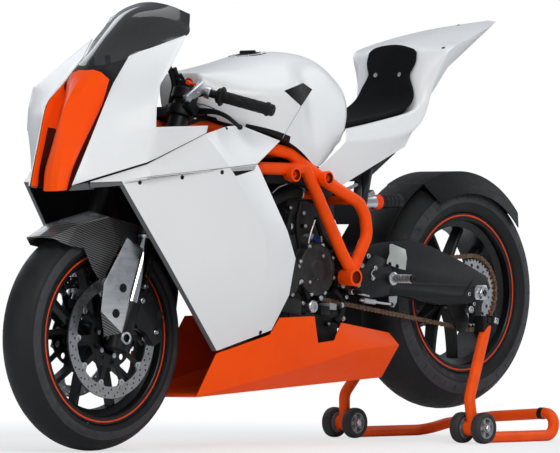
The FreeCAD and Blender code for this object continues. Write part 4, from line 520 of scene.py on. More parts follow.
def lathe(centre, way, profile, rounds=48, closed=True, start=0.0, kinds=None):
    """The profile, distances along a way and radii, turned about it. kinds gives each run's finish."""
    aside, over = frame_of(way)
    way = way.normalized()
    count = len(profile)
    points, faces = [], []
    for step in range(rounds):
        angle = start + 2 * math.pi * step / rounds
        outward = aside * math.cos(angle) + over * math.sin(angle)
        points += [centre + way * along + outward * radius for along, radius in profile]
    for step in range(rounds):
        a, b = step * count, ((step + 1) % rounds) * count
        for i in range(count if closed else count - 1):
            j = (i + 1) % count
            faces.append((a + i, b + i, b + j, a + j))
    made = Build().add(points, faces)
    if kinds:
        made.kinds = kinds * rounds
    return made


def turned(centre, way, profile, rounds, kinds=None, start=0.0):
    """A turned form whose profile isn't a closed ring."""
    return lathe(centre, way, profile, rounds, False, start, kinds)


def sleeve(low, high, inner, outer):
    """The closed profile of a ring."""
    return [(low, inner), (low, outer), (high, outer), (high, inner)]


def whole_profile(half):
    """A lathe outline from the half with distances above nought, without closing it."""
    return [(-along, radius) for along, radius in reversed(half)] + half


def bar(start, end, radius, sides=20, chamfer=0.0):
    """A round bar with chamfered ends."""
    way = end - start
    length = way.length
    cut = min(chamfer, radius * 0.9, length / 2)
    profile = [(0, 0.0), (0, radius - cut), (cut, radius), (length - cut, radius), (length, radius - cut),
               (length, 0.0)]
    return turned(start, way, profile, sides)


def bolt(place, way, radius, height):
    """A screw head with a socket, on a thin washer."""
    way = way.normalized()
    made = bar(place, place + way * height * 0.25, radius * 1.35, 16, height * 0.06)
    profile = [(0, radius), (height * 0.8, radius), (height, radius * 0.85), (height, radius * 0.5),
               (height * 0.4, radius * 0.5), (height * 0.4, 0.0)]
    return made.add_build(turned(place, way, profile, 6))


def slab(low_side, high_side):
    """A closed plate between two outlines with as many corners."""
    count = len(low_side)
    faces = [tuple(range(count)), tuple(reversed(range(count, 2 * count)))]
    faces += [(i, i + count, (i + 1) % count + count, (i + 1) % count) for i in range(count)]
    return Build().add(low_side + high_side, faces)


def prism(corners, low, high):
    """A plate across the bike from its side outline."""
    return slab(*([Vector((c.x, side, c.z)) for c in corners] for side in (low, high)))


def cut_sheet(loops, thickness):
    """A flat plate with holes, from closed loops of flat points, about its own middle plane."""
    data = bpy.data.curves.new("sheet", "CURVE")
    data.dimensions = "2D"
    data.fill_mode = "BOTH"
    data.extrude = thickness / 2
    for loop in loops:
        spline = data.splines.new("POLY")
        spline.points.add(len(loop) - 1)
        for point, (u, v) in zip(spline.points, loop):
            point.co = (u, v, 0, 1)
        spline.use_cyclic_u = True
    thing = bpy.data.objects.new("sheet", data)
    bpy.context.scene.collection.objects.link(thing)
    bpy.context.view_layer.update()
    mesh = bpy.data.meshes.new_from_object(thing.evaluated_get(bpy.context.evaluated_depsgraph_get()))
    made = Build().add([v.co for v in mesh.vertices], [tuple(f.vertices) for f in mesh.polygons])
    bpy.data.objects.remove(thing)
    bpy.data.curves.remove(data)
    bpy.data.meshes.remove(mesh)
    return made


def sheet_faces(wide, tall):
    """The faces between rows of points."""
    return [(j * wide + i, j * wide + i + 1, (j + 1) * wide + i + 1, (j + 1) * wide + i)
            for j in range(tall - 1) for i in range(wide - 1)]


def grid(rows, steps_across, steps_along):
    """A smooth sheet over both sides, through rows of places, each from the middle outwards."""
    rows = [[flipped(place) for place in reversed(row[1:])] + row for row in rows]
    fine_rows = [curved_path(row, steps_across) for row in rows]
    columns = [curved_path([row[i] for row in fine_rows], steps_along) for i in range(len(fine_rows[0]))]
    tall, wide = len(columns[0]), len(columns)
    return Build().add([columns[i][j] for j in range(tall) for i in range(wide)], sheet_faces(wide, tall))


# Objects

smoothing = {}


def smooth_group(angle):
    """A modifier that drops split corners and shades smooth up to an angle."""
    if angle in smoothing:
        return smoothing[angle]
    group = bpy.data.node_groups.new(f"smooth_{angle}", "GeometryNodeTree")
    group.interface.new_socket("Geometry", in_out="INPUT", socket_type="NodeSocketGeometry")
    group.interface.new_socket("Geometry", in_out="OUTPUT", socket_type="NodeSocketGeometry")
    tree = Tree(group)
    start = tree.node("NodeGroupInput").outputs[0]
    bare = tree.node("GeometryNodeRemoveAttribute", {"Geometry": start, "Name": "custom_normal"}).outputs[0]
    soft = tree.node("GeometryNodeSetShadeSmooth", {"Geometry": bare, "Shade Smooth": True}).outputs[0]
    fold = tree.node("GeometryNodeInputMeshEdgeAngle").outputs["Unsigned Angle"]
    sharp = tree.node("FunctionNodeCompare", {0: fold, 1: math.radians(angle)}, operation="GREATER_THAN")
    edged = tree.node("GeometryNodeSetShadeSmooth", domain="EDGE", inputs={
        "Geometry": soft, "Selection": sharp.outputs[0], "Shade Smooth": False,
    })
    tree.node("NodeGroupOutput", {0: edged.outputs[0]})
    smoothing[angle] = group
    return group


def shade(thing, angle=35):
    thing.modifiers.new("smooth", "NODES").node_group = smooth_group(angle)
    return thing


def bevelled(thing, width, segments=2, angle=30):
    made = thing.modifiers.new("bevel", "BEVEL")
    made.width = width
    made.segments = segments
    made.limit_method = "ANGLE"
    made.angle_limit = math.radians(angle)
    made.miter_outer = "MITER_ARC"
    return thing


def refolded(thing, width, fold_angle, angle):
    """The piece with every fold from an angle up rounded."""
    thing.modifiers.remove(thing.modifiers["smooth"])
    bevelled(thing, width, 3, fold_angle)
    return shade(thing, angle)


def piece(name, build, body, kinds, stands_for=(), bevel=0.0, angle=35, segments=2, wall=0.0,
          lining=None):
    """A visible piece that rides on a body."""
    mesh = bpy.data.meshes.new(name)
    mesh.from_pydata(build.points, [], build.faces)
    kinds = [kinds] if isinstance(kinds, str) else kinds
    for kind in kinds:
        mesh.materials.append(finishes[kind])
    mesh.polygons.foreach_set("material_index", build.kinds)
    mesh.validate()
    thing = bpy.data.objects.new(name, mesh)
    bpy.context.scene.collection.objects.link(thing)
    if wall:
        if lining:
            thing.modifiers.new("facets", "TRIANGULATE").min_vertices = 5
        made = thing.modifiers.new("wall", "SOLIDIFY")
        made.thickness = abs(wall)
        made.offset = -math.copysign(1, wall)
        made.use_even_offset = True
        if lining:
            mesh.materials.append(finishes[lining])
            made.material_offset = len(kinds)
    if bevel:
        bevelled(thing, bevel, segments)
    shade(thing, angle)
    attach(thing, body)
    if stands_for:
        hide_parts(*stands_for)
    return thing


# Wheels

TYRES = {
    "front": (FRONT_AXLE, FRONT_RADIUS, 0.062, 0.052, 0.052),
    "rear": (REAR_AXLE, REAR_RADIUS, 0.098, 0.076, 0.083),
}
FLANGE_RADIUS = 0.2302
BAND_START_ANGLE = 66
RIDGES = {62: 0.0008, 64: 0.0008}
CROWN_ANGLES = [0, 10, 20, 30, 40, 50, 58, 61, 62, 64, 65, 70, 76, 83, 90]
FLANK_TICKS, TICK_ANGLES = 36, (71, 82)


def around(centre, turn, radius, side=0.0):
    """A place on a circle about an axle, from straight up and forward round."""
    return centre + Vector((radius * math.sin(turn), side, radius * math.cos(turn)))


def make_tyre(end, body):
    """A slick tyre: rounded crown, moulded lines, a ribbed band on the flank and the bead."""
    centre, radius, half_width, drop, rim_half = TYRES[end]
    edge = radius - drop
    half, kinds = [], []
    for angle in CROWN_ANGLES:
        turn = math.radians(angle)
        lift = RIDGES.get(angle, 0)
        half.append(((half_width + lift) * math.sin(turn),
                     radius + lift - (drop + lift) * (1 - math.cos(turn))))
        kinds.append(1 if angle > BAND_START_ANGLE else 0)
    half += [(half_width * 0.985, edge - 0.006), (half_width * 0.955, edge - 0.012),
             (rim_half + 0.004, FLANGE_RADIUS + 0.0033), (rim_half - 0.004, FLANGE_RADIUS + 0.001)]
    kinds += [0, 0, 0, 0]
    profile = whole_profile(half[1:])
    middle = len(half) - 1
    profile = profile[:middle] + [half[0]] + profile[middle:]
    build = turned(centre, SIDEWAYS, profile, 96, kinds[:0:-1] + kinds[1:])
    if end == "rear":
        build.add_build(flank_ticks(centre, radius, half_width, drop))
    piece(f"{end}_tyre_skin", build, body, [f"{end}_rubber", f"{end}_band"], [f"{end}_tyre"],
          angle=50)


def flank_ticks(centre, radius, half_width, drop):
    """Short raised bars across the flank band."""
    build = Build()
    for number in range(FLANK_TICKS):
        turn = 2 * math.pi * number / FLANK_TICKS
        for sign in (1, -1):
            ends = []
            for angle in TICK_ANGLES:
                lean = math.radians(angle)
                reach = radius - drop * (1 - math.cos(lean))
                ends.append(around(centre, turn, reach, sign * half_width * math.sin(lean)))
            build.add_build(swept(ends, lambda share: chamfered(0.0009, 0.0009, 0.0003)), 0)
    return build


def chamfered(half_u, half_v, cut):
    """A box section with cut corners."""
    near_u, near_v = half_u - cut, half_v - cut
    return [(near_u, -half_v), (half_u, -near_v), (half_u, near_v), (near_u, half_v),
            (-near_u, half_v), (-half_u, near_v), (-half_u, -near_v), (-near_u, -half_v)]


RIM_LIMBS = {"front": (15, 5, 0.020), "rear": (21, 5, 0.024)}
RIM_SIDES = [(0.0075, 0.2168), (0.0068, 0.2296), (0.0058, FLANGE_RADIUS), (0.001, FLANGE_RADIUS),
             (0, 0.2292), (0, 0.2240), (0, 0.2200), (0, 0.2115), (0.002, 0.2092), (0.024, 0.2085),
             (0.029, 0.1985), (0.034, 0.1905)]
RIM_LINE = 5
HUBS = {
    "front": [(0.020, 0.041), (0.038, 0.047), (0.050, 0.047), (0.0575, 0.040), (0.0575, 0.019)],
    "rear": [(0.034, 0.047), (0.056, 0.058), (0.070, 0.058), (0.0795, 0.050), (0.0795, 0.019)],
}
SPOKE_RUN = [(0.25, 0.030), (0.55, 0.090), (0.85, 0.150), (1.0, 0.190), (1.06, 0.204)]
CROTCH_RADII = (0.030, 0.095, 0.112)
VALVE_TURN, VALVE_PLACE, VALVE_LENGTH, VALVE_RADIUS = math.radians(36), 0.1905, 0.034, 0.0032


def make_rim(end, body):
    """A cast wheel: rim with its painted line, split spokes, hub and valve."""
    centre, _, _, _, lip = TYRES[end]
    spread, count, deep = RIM_LIMBS[end]
    outer = [(lip - inset, radius) for inset, radius in RIM_SIDES]
    kinds = [int(run == RIM_LINE) for run in range(len(outer) - 1)]
    profile = outer + [(-along, radius) for along, radius in reversed(outer)]
    build = lathe(centre, SIDEWAYS, profile, 96, kinds=kinds + [0] + kinds[::-1] + [0])
    build.add_build(turned(centre, SIDEWAYS, whole_profile(HUBS[end]), 40))
    for number in range(count):
        middle = 2 * math.pi * number / count
        for sign in (1, -1):
            places = [around(centre, middle + sign * math.radians(share * spread), radius)
                      for share, radius in SPOKE_RUN]
            build.add_build(swept(curved_path(places, 4), lambda share: spoke_section(deep, share)))
    for number in range(count):
        places = [around(centre, 2 * math.pi * number / count, radius) for radius in CROTCH_RADII]
        build.add_build(swept(places, crotch_section))
    valve = around(centre, VALVE_TURN, VALVE_PLACE)
    inward = (centre - valve).normalized()
    build.add_build(bar(valve, valve + inward * VALVE_LENGTH, VALVE_RADIUS, 10, 0.001))
    piece(f"{end}_wheel", build, body, ["rim_black", "orange_line"], [f"{end}_rim"],
          angle=40)


def spoke_section(deep, share):
    """A spoke's section: deep along the axle at the hub, slim towards the rim."""
    waist = 1 - 0.28 * math.sin(math.pi * min(share * 1.1, 1))
    return chamfered(deep * (1 - 0.38 * share), 0.0092 * waist, 0.0026)


def crotch_section(share):
    """The web where a pair of spokes leaves the hub."""
    return chamfered(0.012 * (1 - 0.4 * share), 0.010 * (1 - 0.75 * share), 0.002)


def upright(build, centre):
    """A flat sheet stood up square to an axle."""
    return build.moved(lambda point: centre + Vector((point.x, -point.z, point.y)))


def flat_circle(radius, sides, centre=(0.0, 0.0)):
    return [(centre[0] + u, centre[1] + v) for u, v in circle(radius, sides)]


def hole_ring(radius, count, phase, bore, sides):
    """Round holes on a circle."""
    return [flat_circle(bore, sides, polar(radius, 2 * math.pi * (number + phase) / count))
            for number in range(count)]


def scalloped(inner, outer, count, width, sides):
    """A closed line between two radii: at the outer one on `count` lobes of a width in turns."""
    line = []
    for step in range(sides):
        turn = 2 * math.pi * step / sides
        phase = abs((turn * count / (2 * math.pi) + 0.5) % 1 - 0.5)
        share = min(max((width - phase) / (width * 0.45), 0), 1)
        line.append(polar(inner + (outer - inner) * share * share * (3 - 2 * share), turn))
    return line


DISC_OUTER, DISC_INNER, DISC_THICKNESS = 0.160, 0.129, 0.005
DISC_HOLE_ROWS = [(0.1365, 0.0), (0.1455, 1 / 3), (0.1535, 2 / 3)]
DISC_HOLES, DISC_HOLE_RADIUS = 28, 0.0031
BOBBINS, BOBBIN_REACH = 10, 0.1225
BOBBIN = [(-0.0029, 0.0042), (-0.0034, 0.0052), (-0.0034, 0.0078), (-0.0024, 0.0086), (0.0024, 0.0086),
          (0.0034, 0.0078), (0.0034, 0.0052), (0.0029, 0.0042)]
BOBBIN_CORE = [(-0.0024, 0.0), (-0.0024, 0.0043), (0.0024, 0.0043), (0.0024, 0.0)]
STAR_SCREWS, STAR_SCREW_PHASE, STAR_SCREW_REACH = 6, 0.3, 0.048
DISC_SIDE, CUP_SIDE, CUP_RADII = 0.072, 0.014, (0.046, 0.030)


def make_front_discs():
    """Floating discs: drilled rings with lugs, bobbins, and a dark star between them and the hub."""
    steel, star, pins = Build(), Build(), Build()
    loops = [circle(DISC_OUTER, 120), scalloped(DISC_INNER, 0.1185, BOBBINS, 0.16, 160)]
    for radius, phase in DISC_HOLE_ROWS:
        loops += hole_ring(radius, DISC_HOLES, phase, DISC_HOLE_RADIUS, 8)
    ring = cut_sheet(loops, DISC_THICKNESS)
    arms = [scalloped(0.078, 0.1175, BOBBINS, 0.15, 200), circle(0.036, 40)]
    carrier = cut_sheet(arms + hole_ring(0.062, BOBBINS, 0.5, 0.0085, 12), 0.004)
    for sign in (1, -1):
        middle = FRONT_AXLE + SIDEWAYS * sign * DISC_SIDE
        steel.add_build(upright(ring, middle))
        star.add_build(upright(carrier, middle))
        for number in range(BOBBINS):
            place = middle + ray(2 * math.pi * number / BOBBINS) * BOBBIN_REACH
            pins.add_build(lathe(place, SIDEWAYS, BOBBIN, 16))
            pins.add_build(turned(place, SIDEWAYS, BOBBIN_CORE, 12), 1)
        for number in range(STAR_SCREWS):
            turn = 2 * math.pi * (number + STAR_SCREW_PHASE) / STAR_SCREWS
            place = middle + ray(turn) * STAR_SCREW_REACH + SIDEWAYS * sign * 0.002
            pins.add_build(bolt(place, SIDEWAYS * sign, 0.0048, 0.001))
        star.add_build(lathe(middle, SIDEWAYS, sleeve(-sign * CUP_SIDE, 0.002 * sign, *CUP_RADII), 32))
    piece("disc_rings", steel, "front_wheel", "disc_steel", ["front_discs"])
    piece("disc_stars", star, "front_wheel", "rim_black", bevel=0.0006)
    piece("disc_bobbins", pins, "front_wheel", ["bright_metal", "rim_black"])


SPROCKET_TEETH = 42
SPROCKET_TIP, SPROCKET_ROOT = 0.0964, 0.0908
SPROCKET_SIDE, REAR_DISC_SIDE = 0.111, -0.100
TOOTH = [(0.0, SPROCKET_ROOT), (0.22, SPROCKET_ROOT), (0.42, SPROCKET_TIP), (0.62, SPROCKET_TIP),
         (0.82, SPROCKET_ROOT)]
SPROCKET_HOLES, SPROCKET_HOLE_REACH = 18, 0.078
CARRIER = [(-0.030, 0.036), (-0.030, 0.050), (-0.004, 0.062), (-0.003, 0.068), (0.001, 0.068),
           (0.0026, 0.058), (0.0026, 0.036)]
SPROCKET_NUTS, SPROCKET_NUT_REACH, SPROCKET_FACE = 6, 0.0635, 0.0026
REAR_DISC_HOLES, REAR_DISC_ROWS = 20, [(0.086, 0.0), (0.096, 0.5)]
REAR_BELL = [(0.0, 0.034), (0.0, 0.058), (0.004, 0.058), (0.019, 0.046), (0.019, 0.034)]


def make_rear_drive():
    """The rear sprocket with teeth, holes and bolts, its dark carrier, and the rear disc."""
    teeth = []
    for number in range(SPROCKET_TEETH):
        for share, radius in TOOTH:
            teeth.append(polar(radius, 2 * math.pi * (number + share) / SPROCKET_TEETH))
    loops = [teeth, scalloped(0.050, 0.060, 6, 0.2, 96)]
    for number in range(SPROCKET_HOLES):
        turn = 2 * math.pi * (number + 0.5) / SPROCKET_HOLES
        loops.append(flat_circle(0.0056 if number % 3 else 0.0036, 14, polar(SPROCKET_HOLE_REACH, turn)))
    middle = REAR_AXLE + SIDEWAYS * SPROCKET_SIDE
    plate = upright(cut_sheet(loops, 0.005), middle)
    piece("sprocket_plate", plate, "rear_wheel", "bright_metal", ["rear_sprocket"], bevel=0.0004)
    nuts = Build()
    for number in range(SPROCKET_NUTS):
        turn = 2 * math.pi * number / SPROCKET_NUTS
        place = middle + ray(turn) * SPROCKET_NUT_REACH + SIDEWAYS * SPROCKET_FACE
        nuts.add_build(bolt(place, SIDEWAYS, 0.0052, 0.006))
    piece("sprocket_carrier", lathe(middle, SIDEWAYS, CARRIER, 48), "rear_wheel", "rim_black")
    piece("sprocket_nuts", nuts, "rear_wheel", "bright_metal")
    loops = [scalloped(0.105, 0.110, 12, 0.3, 144), scalloped(0.046, 0.062, 5, 0.25, 90)]
    for radius, phase in REAR_DISC_ROWS:
        loops += hole_ring(radius, REAR_DISC_HOLES, phase, 0.0032, 8)
    middle = REAR_AXLE + SIDEWAYS * REAR_DISC_SIDE
    build = upright(cut_sheet(loops, 0.005), middle)
    build.add_build(lathe(middle, SIDEWAYS, REAR_BELL, 40))
    piece("rear_disc_ring", build, "rear_wheel", "rear_disc_steel", ["rear_disc"],
          bevel=0.0003)


CHAIN_PITCH, BIG_RADIUS, SMALL_RADIUS = 0.015875, 0.106, 0.038
GEARBOX = (0.53, 0, 0.3717)
LINK_HALF, LINK_SIDES, PLATE_THICKNESS = 0.0066, (0.0036, 0.0052), 0.0013
ROLLER_HALF, ROLLER_RADIUS, PIN_HALF, PIN_RADIUS = 0.0036, 0.0046, 0.0069, 0.0024


def chain_stops():
    """The pins round the loop: each a place and the way along the chain."""
    gearbox = spot(*GEARBOX)
    span = gearbox - REAR_AXLE
    lean = math.atan2(span.z, span.x)
    dip = math.asin((BIG_RADIUS - SMALL_RADIUS) / span.length)
    straight = span.length * math.cos(dip)
    big_run, small_run = BIG_RADIUS * (math.pi + 2 * dip), SMALL_RADIUS * (math.pi - 2 * dip)
    length = 2 * straight + big_run + small_run
    links = 2 * round(length / CHAIN_PITCH / 2)

    def along(distance):
        distance %= length
        if distance < big_run:
            return REAR_AXLE + ray(lean + math.pi / 2 - dip + distance / BIG_RADIUS) * BIG_RADIUS
        distance -= big_run
        low = ray(lean - math.pi / 2 + dip)
        if distance < straight:
            return REAR_AXLE + low * BIG_RADIUS + Vector((-low.z, 0, low.x)) * distance
        distance -= straight
        if distance < small_run:
            return gearbox + ray(lean - math.pi / 2 + dip + distance / SMALL_RADIUS) * SMALL_RADIUS
        distance -= small_run
        high = ray(lean + math.pi / 2 - dip)
        return gearbox + high * SMALL_RADIUS + Vector((-high.z, 0, high.x)) * distance

    return [along(length * number / links) + SIDEWAYS * SPROCKET_SIDE for number in range(links)]


def link_plate(start, end, low, high):
    """One figure-of-eight plate between two pins."""
    along = (end - start).normalized()
    over = along.cross(SIDEWAYS)
    length = (end - start).length
    half = LINK_HALF
    edge = [(-half, 0), (-half * 0.7, half * 0.7), (0, half), (length * 0.5, half * 0.66), (length, half),
               (length + half * 0.7, half * 0.7), (length + half, 0), (length + half * 0.7, -half * 0.7),
               (length, -half), (length * 0.5, -half * 0.66), (0, -half), (-half * 0.7, -half * 0.7)]
    return slab(*([start + along * u + over * v + SIDEWAYS * side for u, v in edge] for side in (low, high)))


def make_chain():
    """The chain: outer and inner plates by turns, and a pin with its roller at each joint."""
    stops = chain_stops()
    build = Build()
    for number, start in enumerate(stops):
        end = stops[(number + 1) % len(stops)]
        low = LINK_SIDES[number % 2]
        for sign in (1, -1):
            plate = link_plate(start, end, *sorted((sign * low, sign * (low + PLATE_THICKNESS))))
            build.add_build(plate, number % 2)
        roller = [(-ROLLER_HALF, ROLLER_RADIUS), (ROLLER_HALF, ROLLER_RADIUS)]
        build.add_build(turned(start, SIDEWAYS, roller, 8), 0)
        build.add_build(bar(start - SIDEWAYS * PIN_HALF, start + SIDEWAYS * PIN_HALF, PIN_RADIUS, 8), 1)
    piece("chain_links", build, "chassis", ["chain_metal", "chain_plate"], ["chain"], angle=30)


def make_wheels():
    for end, body in (("front", "front_wheel"), ("rear", "rear_wheel")):
        make_tyre(end, body)
        make_rim(end, body)
    make_front_discs()
    make_rear_drive()
    make_chain()


# Panels

NOSE = {
    "brow": (0.115, 0.728, 0.917), "peak": (0.028, 0.359, 0.868), "cheek": (-0.018, 0.399, 0.806),
    "bend": (-0.051, 0.46, 0.76), "chin": (-0.112, 0.327, 0.581), "jaw": (-0.085, 0.4375, 0.594),
    "low": (-0.013, 0.896, 0.634), "flank": (-0.008, 1, 0.711), "side": (-0.006, 0.996, 0.758),
    "shoulder": (0.004, 0.991, 0.804), "temple": (0.05, 0.89, 0.848), "lobe": (0.127, 1, 0.719),
    "lobe_low": (0.123, 1, 0.703),
}
NOSE_FACES = [
    ("cheek", "peak", "brow", "temple"), ("cheek", "temple", "shoulder"),
    ("bend", "cheek", "shoulder", "side"), ("bend", "side", "flank", "low", "jaw"),
    ("chin", "bend", "jaw"), ("flank", "lobe", "lobe_low", "low"),
]
UPPER = {
    "jaw": (-0.083, 0.43, 0.5905), "low": (-0.01, 0.88, 0.6305), "lobe": (0.123, 0.985, 0.7),
    "tab": (0.226, 0.735, 0.722), "top": (0.272, 0.69, 0.727), "tip": (0.372, 0.76, 0.695),
    "heel": (0.281, 0.917, 0.64), "slot": (0.191, 1, 0.6295), "hem": (-0.012, 0.9375, 0.604),
    "toe": (-0.056, 0.77, 0.593),
}
UPPER_FACES = [
    ("jaw", "toe", "hem", "low"), ("low", "hem", "slot", "lobe"), ("lobe", "slot", "heel", "top", "tab"),
    ("top", "heel", "tip"),
]
LOWER = {
    "toe": (-0.056, 0.77, 0.591), "hem": (-0.012, 0.9375, 0.602), "slot": (0.191, 1, 0.628),
    "heel": (0.28, 0.925, 0.6385), "fold": (0.286, 1.02, 0.481), "fold_low": (0.299, 0.979, 0.382),
    "rear_top": (0.363, 0.9375, 0.49), "rear_mid": (0.386, 0.9375, 0.429), "rear_low": (0.38, 0.875, 0.346),
    "corner": (0.351, 0.77, 0.267), "tip": (0.2155, 0.6875, 0.221), "front": (0.058, 0.854, 0.409),
}
LOWER_FACES = [
    ("toe", "front", "slot", "hem"), ("front", "fold", "slot"), ("front", "tip", "fold_low", "fold"),
    ("slot", "fold", "rear_top", "heel"), ("fold", "fold_low", "rear_top"),
    ("fold_low", "tip", "corner", "rear_low"), ("fold_low", "rear_low", "rear_mid", "rear_top"),
]
BELLY = {
    "front": (0.194, 0, 0.115), "front_side": (0.187, 0.542, 0.1175), "front_top": (0.217, 0.675, 0.215),
    "top": (0.352, 0.74, 0.257), "shelf": (0.377, 0.75, 0.295), "notch": (0.48, 0.729, 0.2985),
    "notch_low": (0.491, 0.729, 0.2375), "notch_back": (0.545, 0.6875, 0.243),
    "hump": (0.569, 0.667, 0.284), "tail_top": (0.748, 0.458, 0.26), "tail": (0.772, 0.5, 0.2305),
    "fold_rear": (0.618, 0.646, 0.22), "fold": (0.508, 0.708, 0.1925), "keel": (0.728, 0.458, 0.155),
    "keel_middle": (0.728, 0, 0.15),
}
BELLY_FACES = [
    ("front_side", "fold", "notch_low", "notch", "shelf", "top", "front_top"),
    ("fold", "notch_back", "notch_low"), ("fold", "fold_rear", "hump", "notch_back"),
    ("fold_rear", "tail", "tail_top", "hump"), ("front_side", "keel", "tail", "fold_rear", "fold"),
    ("front", "keel_middle", "keel", "front_side"),
]
TANK = {
    "nose": (0.232, 0, 0.843), "nose_side": (0.233, 0.3, 0.84), "cheek": (0.236, 0.36, 0.8),
    "cheek_low": (0.25, 0.36, 0.742), "nose_low": (0.245, 0, 0.742), "brow": (0.341, 0, 0.876),
    "brow_side": (0.341, 0.3, 0.867), "cap_rear": (0.472, 0, 0.905), "cap_side": (0.47, 0.33, 0.898),
    "ridge": (0.369, 0.8125, 0.8075), "ridge_rear": (0.459, 0.64, 0.835), "hip": (0.59, 0.42, 0.838),
    "back": (0.6, 0, 0.862), "tail": (0.648, 0, 0.781), "tail_side": (0.624, 0.4, 0.76),
    "heel": (0.588, 0.5, 0.7), "foot": (0.56, 0.55, 0.682), "low": (0.4905, 0.667, 0.64),
    "low_middle": (0.4905, 0, 0.64), "foot_middle": (0.588, 0, 0.69), "sill": (0.376, 0.77, 0.7),
    "sill_middle": (0.376, 0, 0.7),
}
TANK_FACES = [
    ("nose", "nose_side", "brow_side", "brow"), ("brow", "brow_side", "cap_side", "cap_rear"),
    ("cap_rear", "cap_side", "hip", "back"), ("back", "hip", "tail_side", "tail"),
    ("nose_side", "cheek", "ridge", "brow_side"), ("brow_side", "ridge", "ridge_rear", "cap_side"),
    ("cap_side", "ridge_rear", "hip"), ("cheek", "cheek_low", "sill", "ridge"),
    ("ridge", "sill", "low", "ridge_rear"), ("ridge_rear", "low", "foot", "hip"),
    ("hip", "foot", "heel", "tail_side"), ("tail", "tail_side", "heel", "foot_middle"),
    ("foot_middle", "heel", "foot", "low", "low_middle"), ("low_middle", "low", "sill", "sill_middle"),
    ("sill_middle", "sill", "cheek_low", "nose_low"),
    ("nose_low", "cheek_low", "cheek", "nose_side", "nose"),
]
TANK_FOLDS = {
    ("cheek", "ridge"): 0.45, ("ridge", "ridge_rear"): 0.35, ("ridge_rear", "low"): 0.2,
    ("cheek_low", "sill"): 0.9, ("sill", "low"): 0.9, ("low", "foot"): 0.9, ("foot", "heel"): 0.9,
    ("heel", "tail_side"): 0.6, ("tail_side", "tail"): 0.2, ("heel", "foot_middle"): 0.9,
    ("cheek", "cheek_low"): 0.8, ("cheek", "nose_side"): 0.5, ("nose", "nose_side"): 0.5,
    ("hip", "tail_side"): 0.35,
}
TAIL = {
    "seat_front": (0.611, 0.479, 0.731), "seat_rear": (0.776, 0.5, 0.7715), "step": (0.824, 0.458, 0.807),
    "waist": (0.832, 0.35, 0.865), "pad_top": (0.845, 0.39, 0.925), "seat_mid": (0.611, 0, 0.722),
    "rear_mid": (0.776, 0, 0.756), "step_mid": (0.82, 0, 0.793), "waist_mid": (0.84, 0, 0.868),
    "top_mid": (0.852, 0, 0.937), "front": (0.584, 0.62, 0.701), "crease": (0.785, 0.604, 0.735),
    "horn_low": (0.844, 0.565, 0.823), "horn": (0.865, 0.753, 0.925), "wing": (1.001, 0.57, 0.979),
    "wing_mid": (1, 0, 0.986), "tip": (1.128, 0.15, 1.012), "tip_mid": (1.136, 0, 1.0165),
    "low_front": (0.495, 0.667, 0.635), "low": (0.575, 0.625, 0.601), "low_mid": (0.77, 0.56, 0.696),
    "rear_side": (0.849, 0.5, 0.81), "under": (0.89, 0.6, 0.888), "nose": (0.565, 0.63, 0.685),
}
TAIL_FACES = [
    ("seat_mid", "rear_mid", "seat_rear", "seat_front"), ("rear_mid", "step_mid", "step", "seat_rear"),
    ("step_mid", "waist_mid", "waist", "step"), ("waist_mid", "top_mid", "pad_top", "waist"),
    ("seat_front", "seat_rear", "crease", "front"), ("seat_rear", "step", "horn_low", "crease"),
    ("step", "waist", "pad_top", "horn", "horn_low"), ("top_mid", "wing_mid", "wing", "horn", "pad_top"),
    ("wing_mid", "tip_mid", "tip", "wing"), ("front", "crease", "low_mid", "low", "nose"),
    ("nose", "low", "low_front"), ("crease", "horn_low", "rear_side", "low_mid"),
    ("horn_low", "horn", "under", "rear_side"), ("horn", "wing", "under"), ("wing", "tip", "under"),
]
TAIL_FOLDS = {
    ("front", "crease"): 0.6, ("crease", "horn_low"): 0.3, ("horn", "wing"): 0.8, ("wing", "tip"): 0.8,
    ("seat_front", "seat_rear"): 0.7, ("seat_rear", "step"): 0.5, ("horn_low", "horn"): 0.4,
    ("pad_top", "horn"): 0.5, ("top_mid", "pad_top"): 0.5,
}
FENDER = {
    "tip": (-0.139, 0, 0.471), "tip_side": (-0.139, 0.21, 0.468), "brow": (-0.085, 0, 0.508),
    "brow_side": (-0.082, 0.25, 0.498), "top": (-0.012, 0, 0.529), "top_side": (-0.006, 0.28, 0.516),
    "back": (0.07, 0, 0.51), "back_side": (0.07, 0.28, 0.498), "heel": (0.125, 0, 0.462),
    "heel_side": (0.12, 0.27, 0.452), "low_a": (-0.115, 0.3, 0.452), "low_b": (-0.078, 0.335, 0.446),
    "low_c": (-0.066, 0.4, 0.4), "low_d": (-0.05, 0.44, 0.372), "arm": (-0.004, 0.44, 0.45),
    "rear_low": (0.06, 0.335, 0.46),
}
FENDER_FACES = [
    ("tip", "tip_side", "brow_side", "brow"), ("brow", "brow_side", "top_side", "top"),
    ("top", "top_side", "back_side", "back"), ("back", "back_side", "heel_side", "heel"),
    ("tip_side", "low_a", "brow_side"), ("brow_side", "low_a", "low_b"),
    ("brow_side", "low_b", "arm", "top_side"), ("low_b", "low_c", "low_d", "arm"),
    ("top_side", "arm", "rear_low", "back_side"), ("back_side", "rear_low", "heel_side"),
]
WALL, TAIL_WALL = 0.004, 0.0008
FOLD_ANGLE = 14
SOFT_LEVELS, SOFT_ROUNDS, SOFT_PULL = 3, 6, 0.8
TANK_UNDERSIDE = -0.35


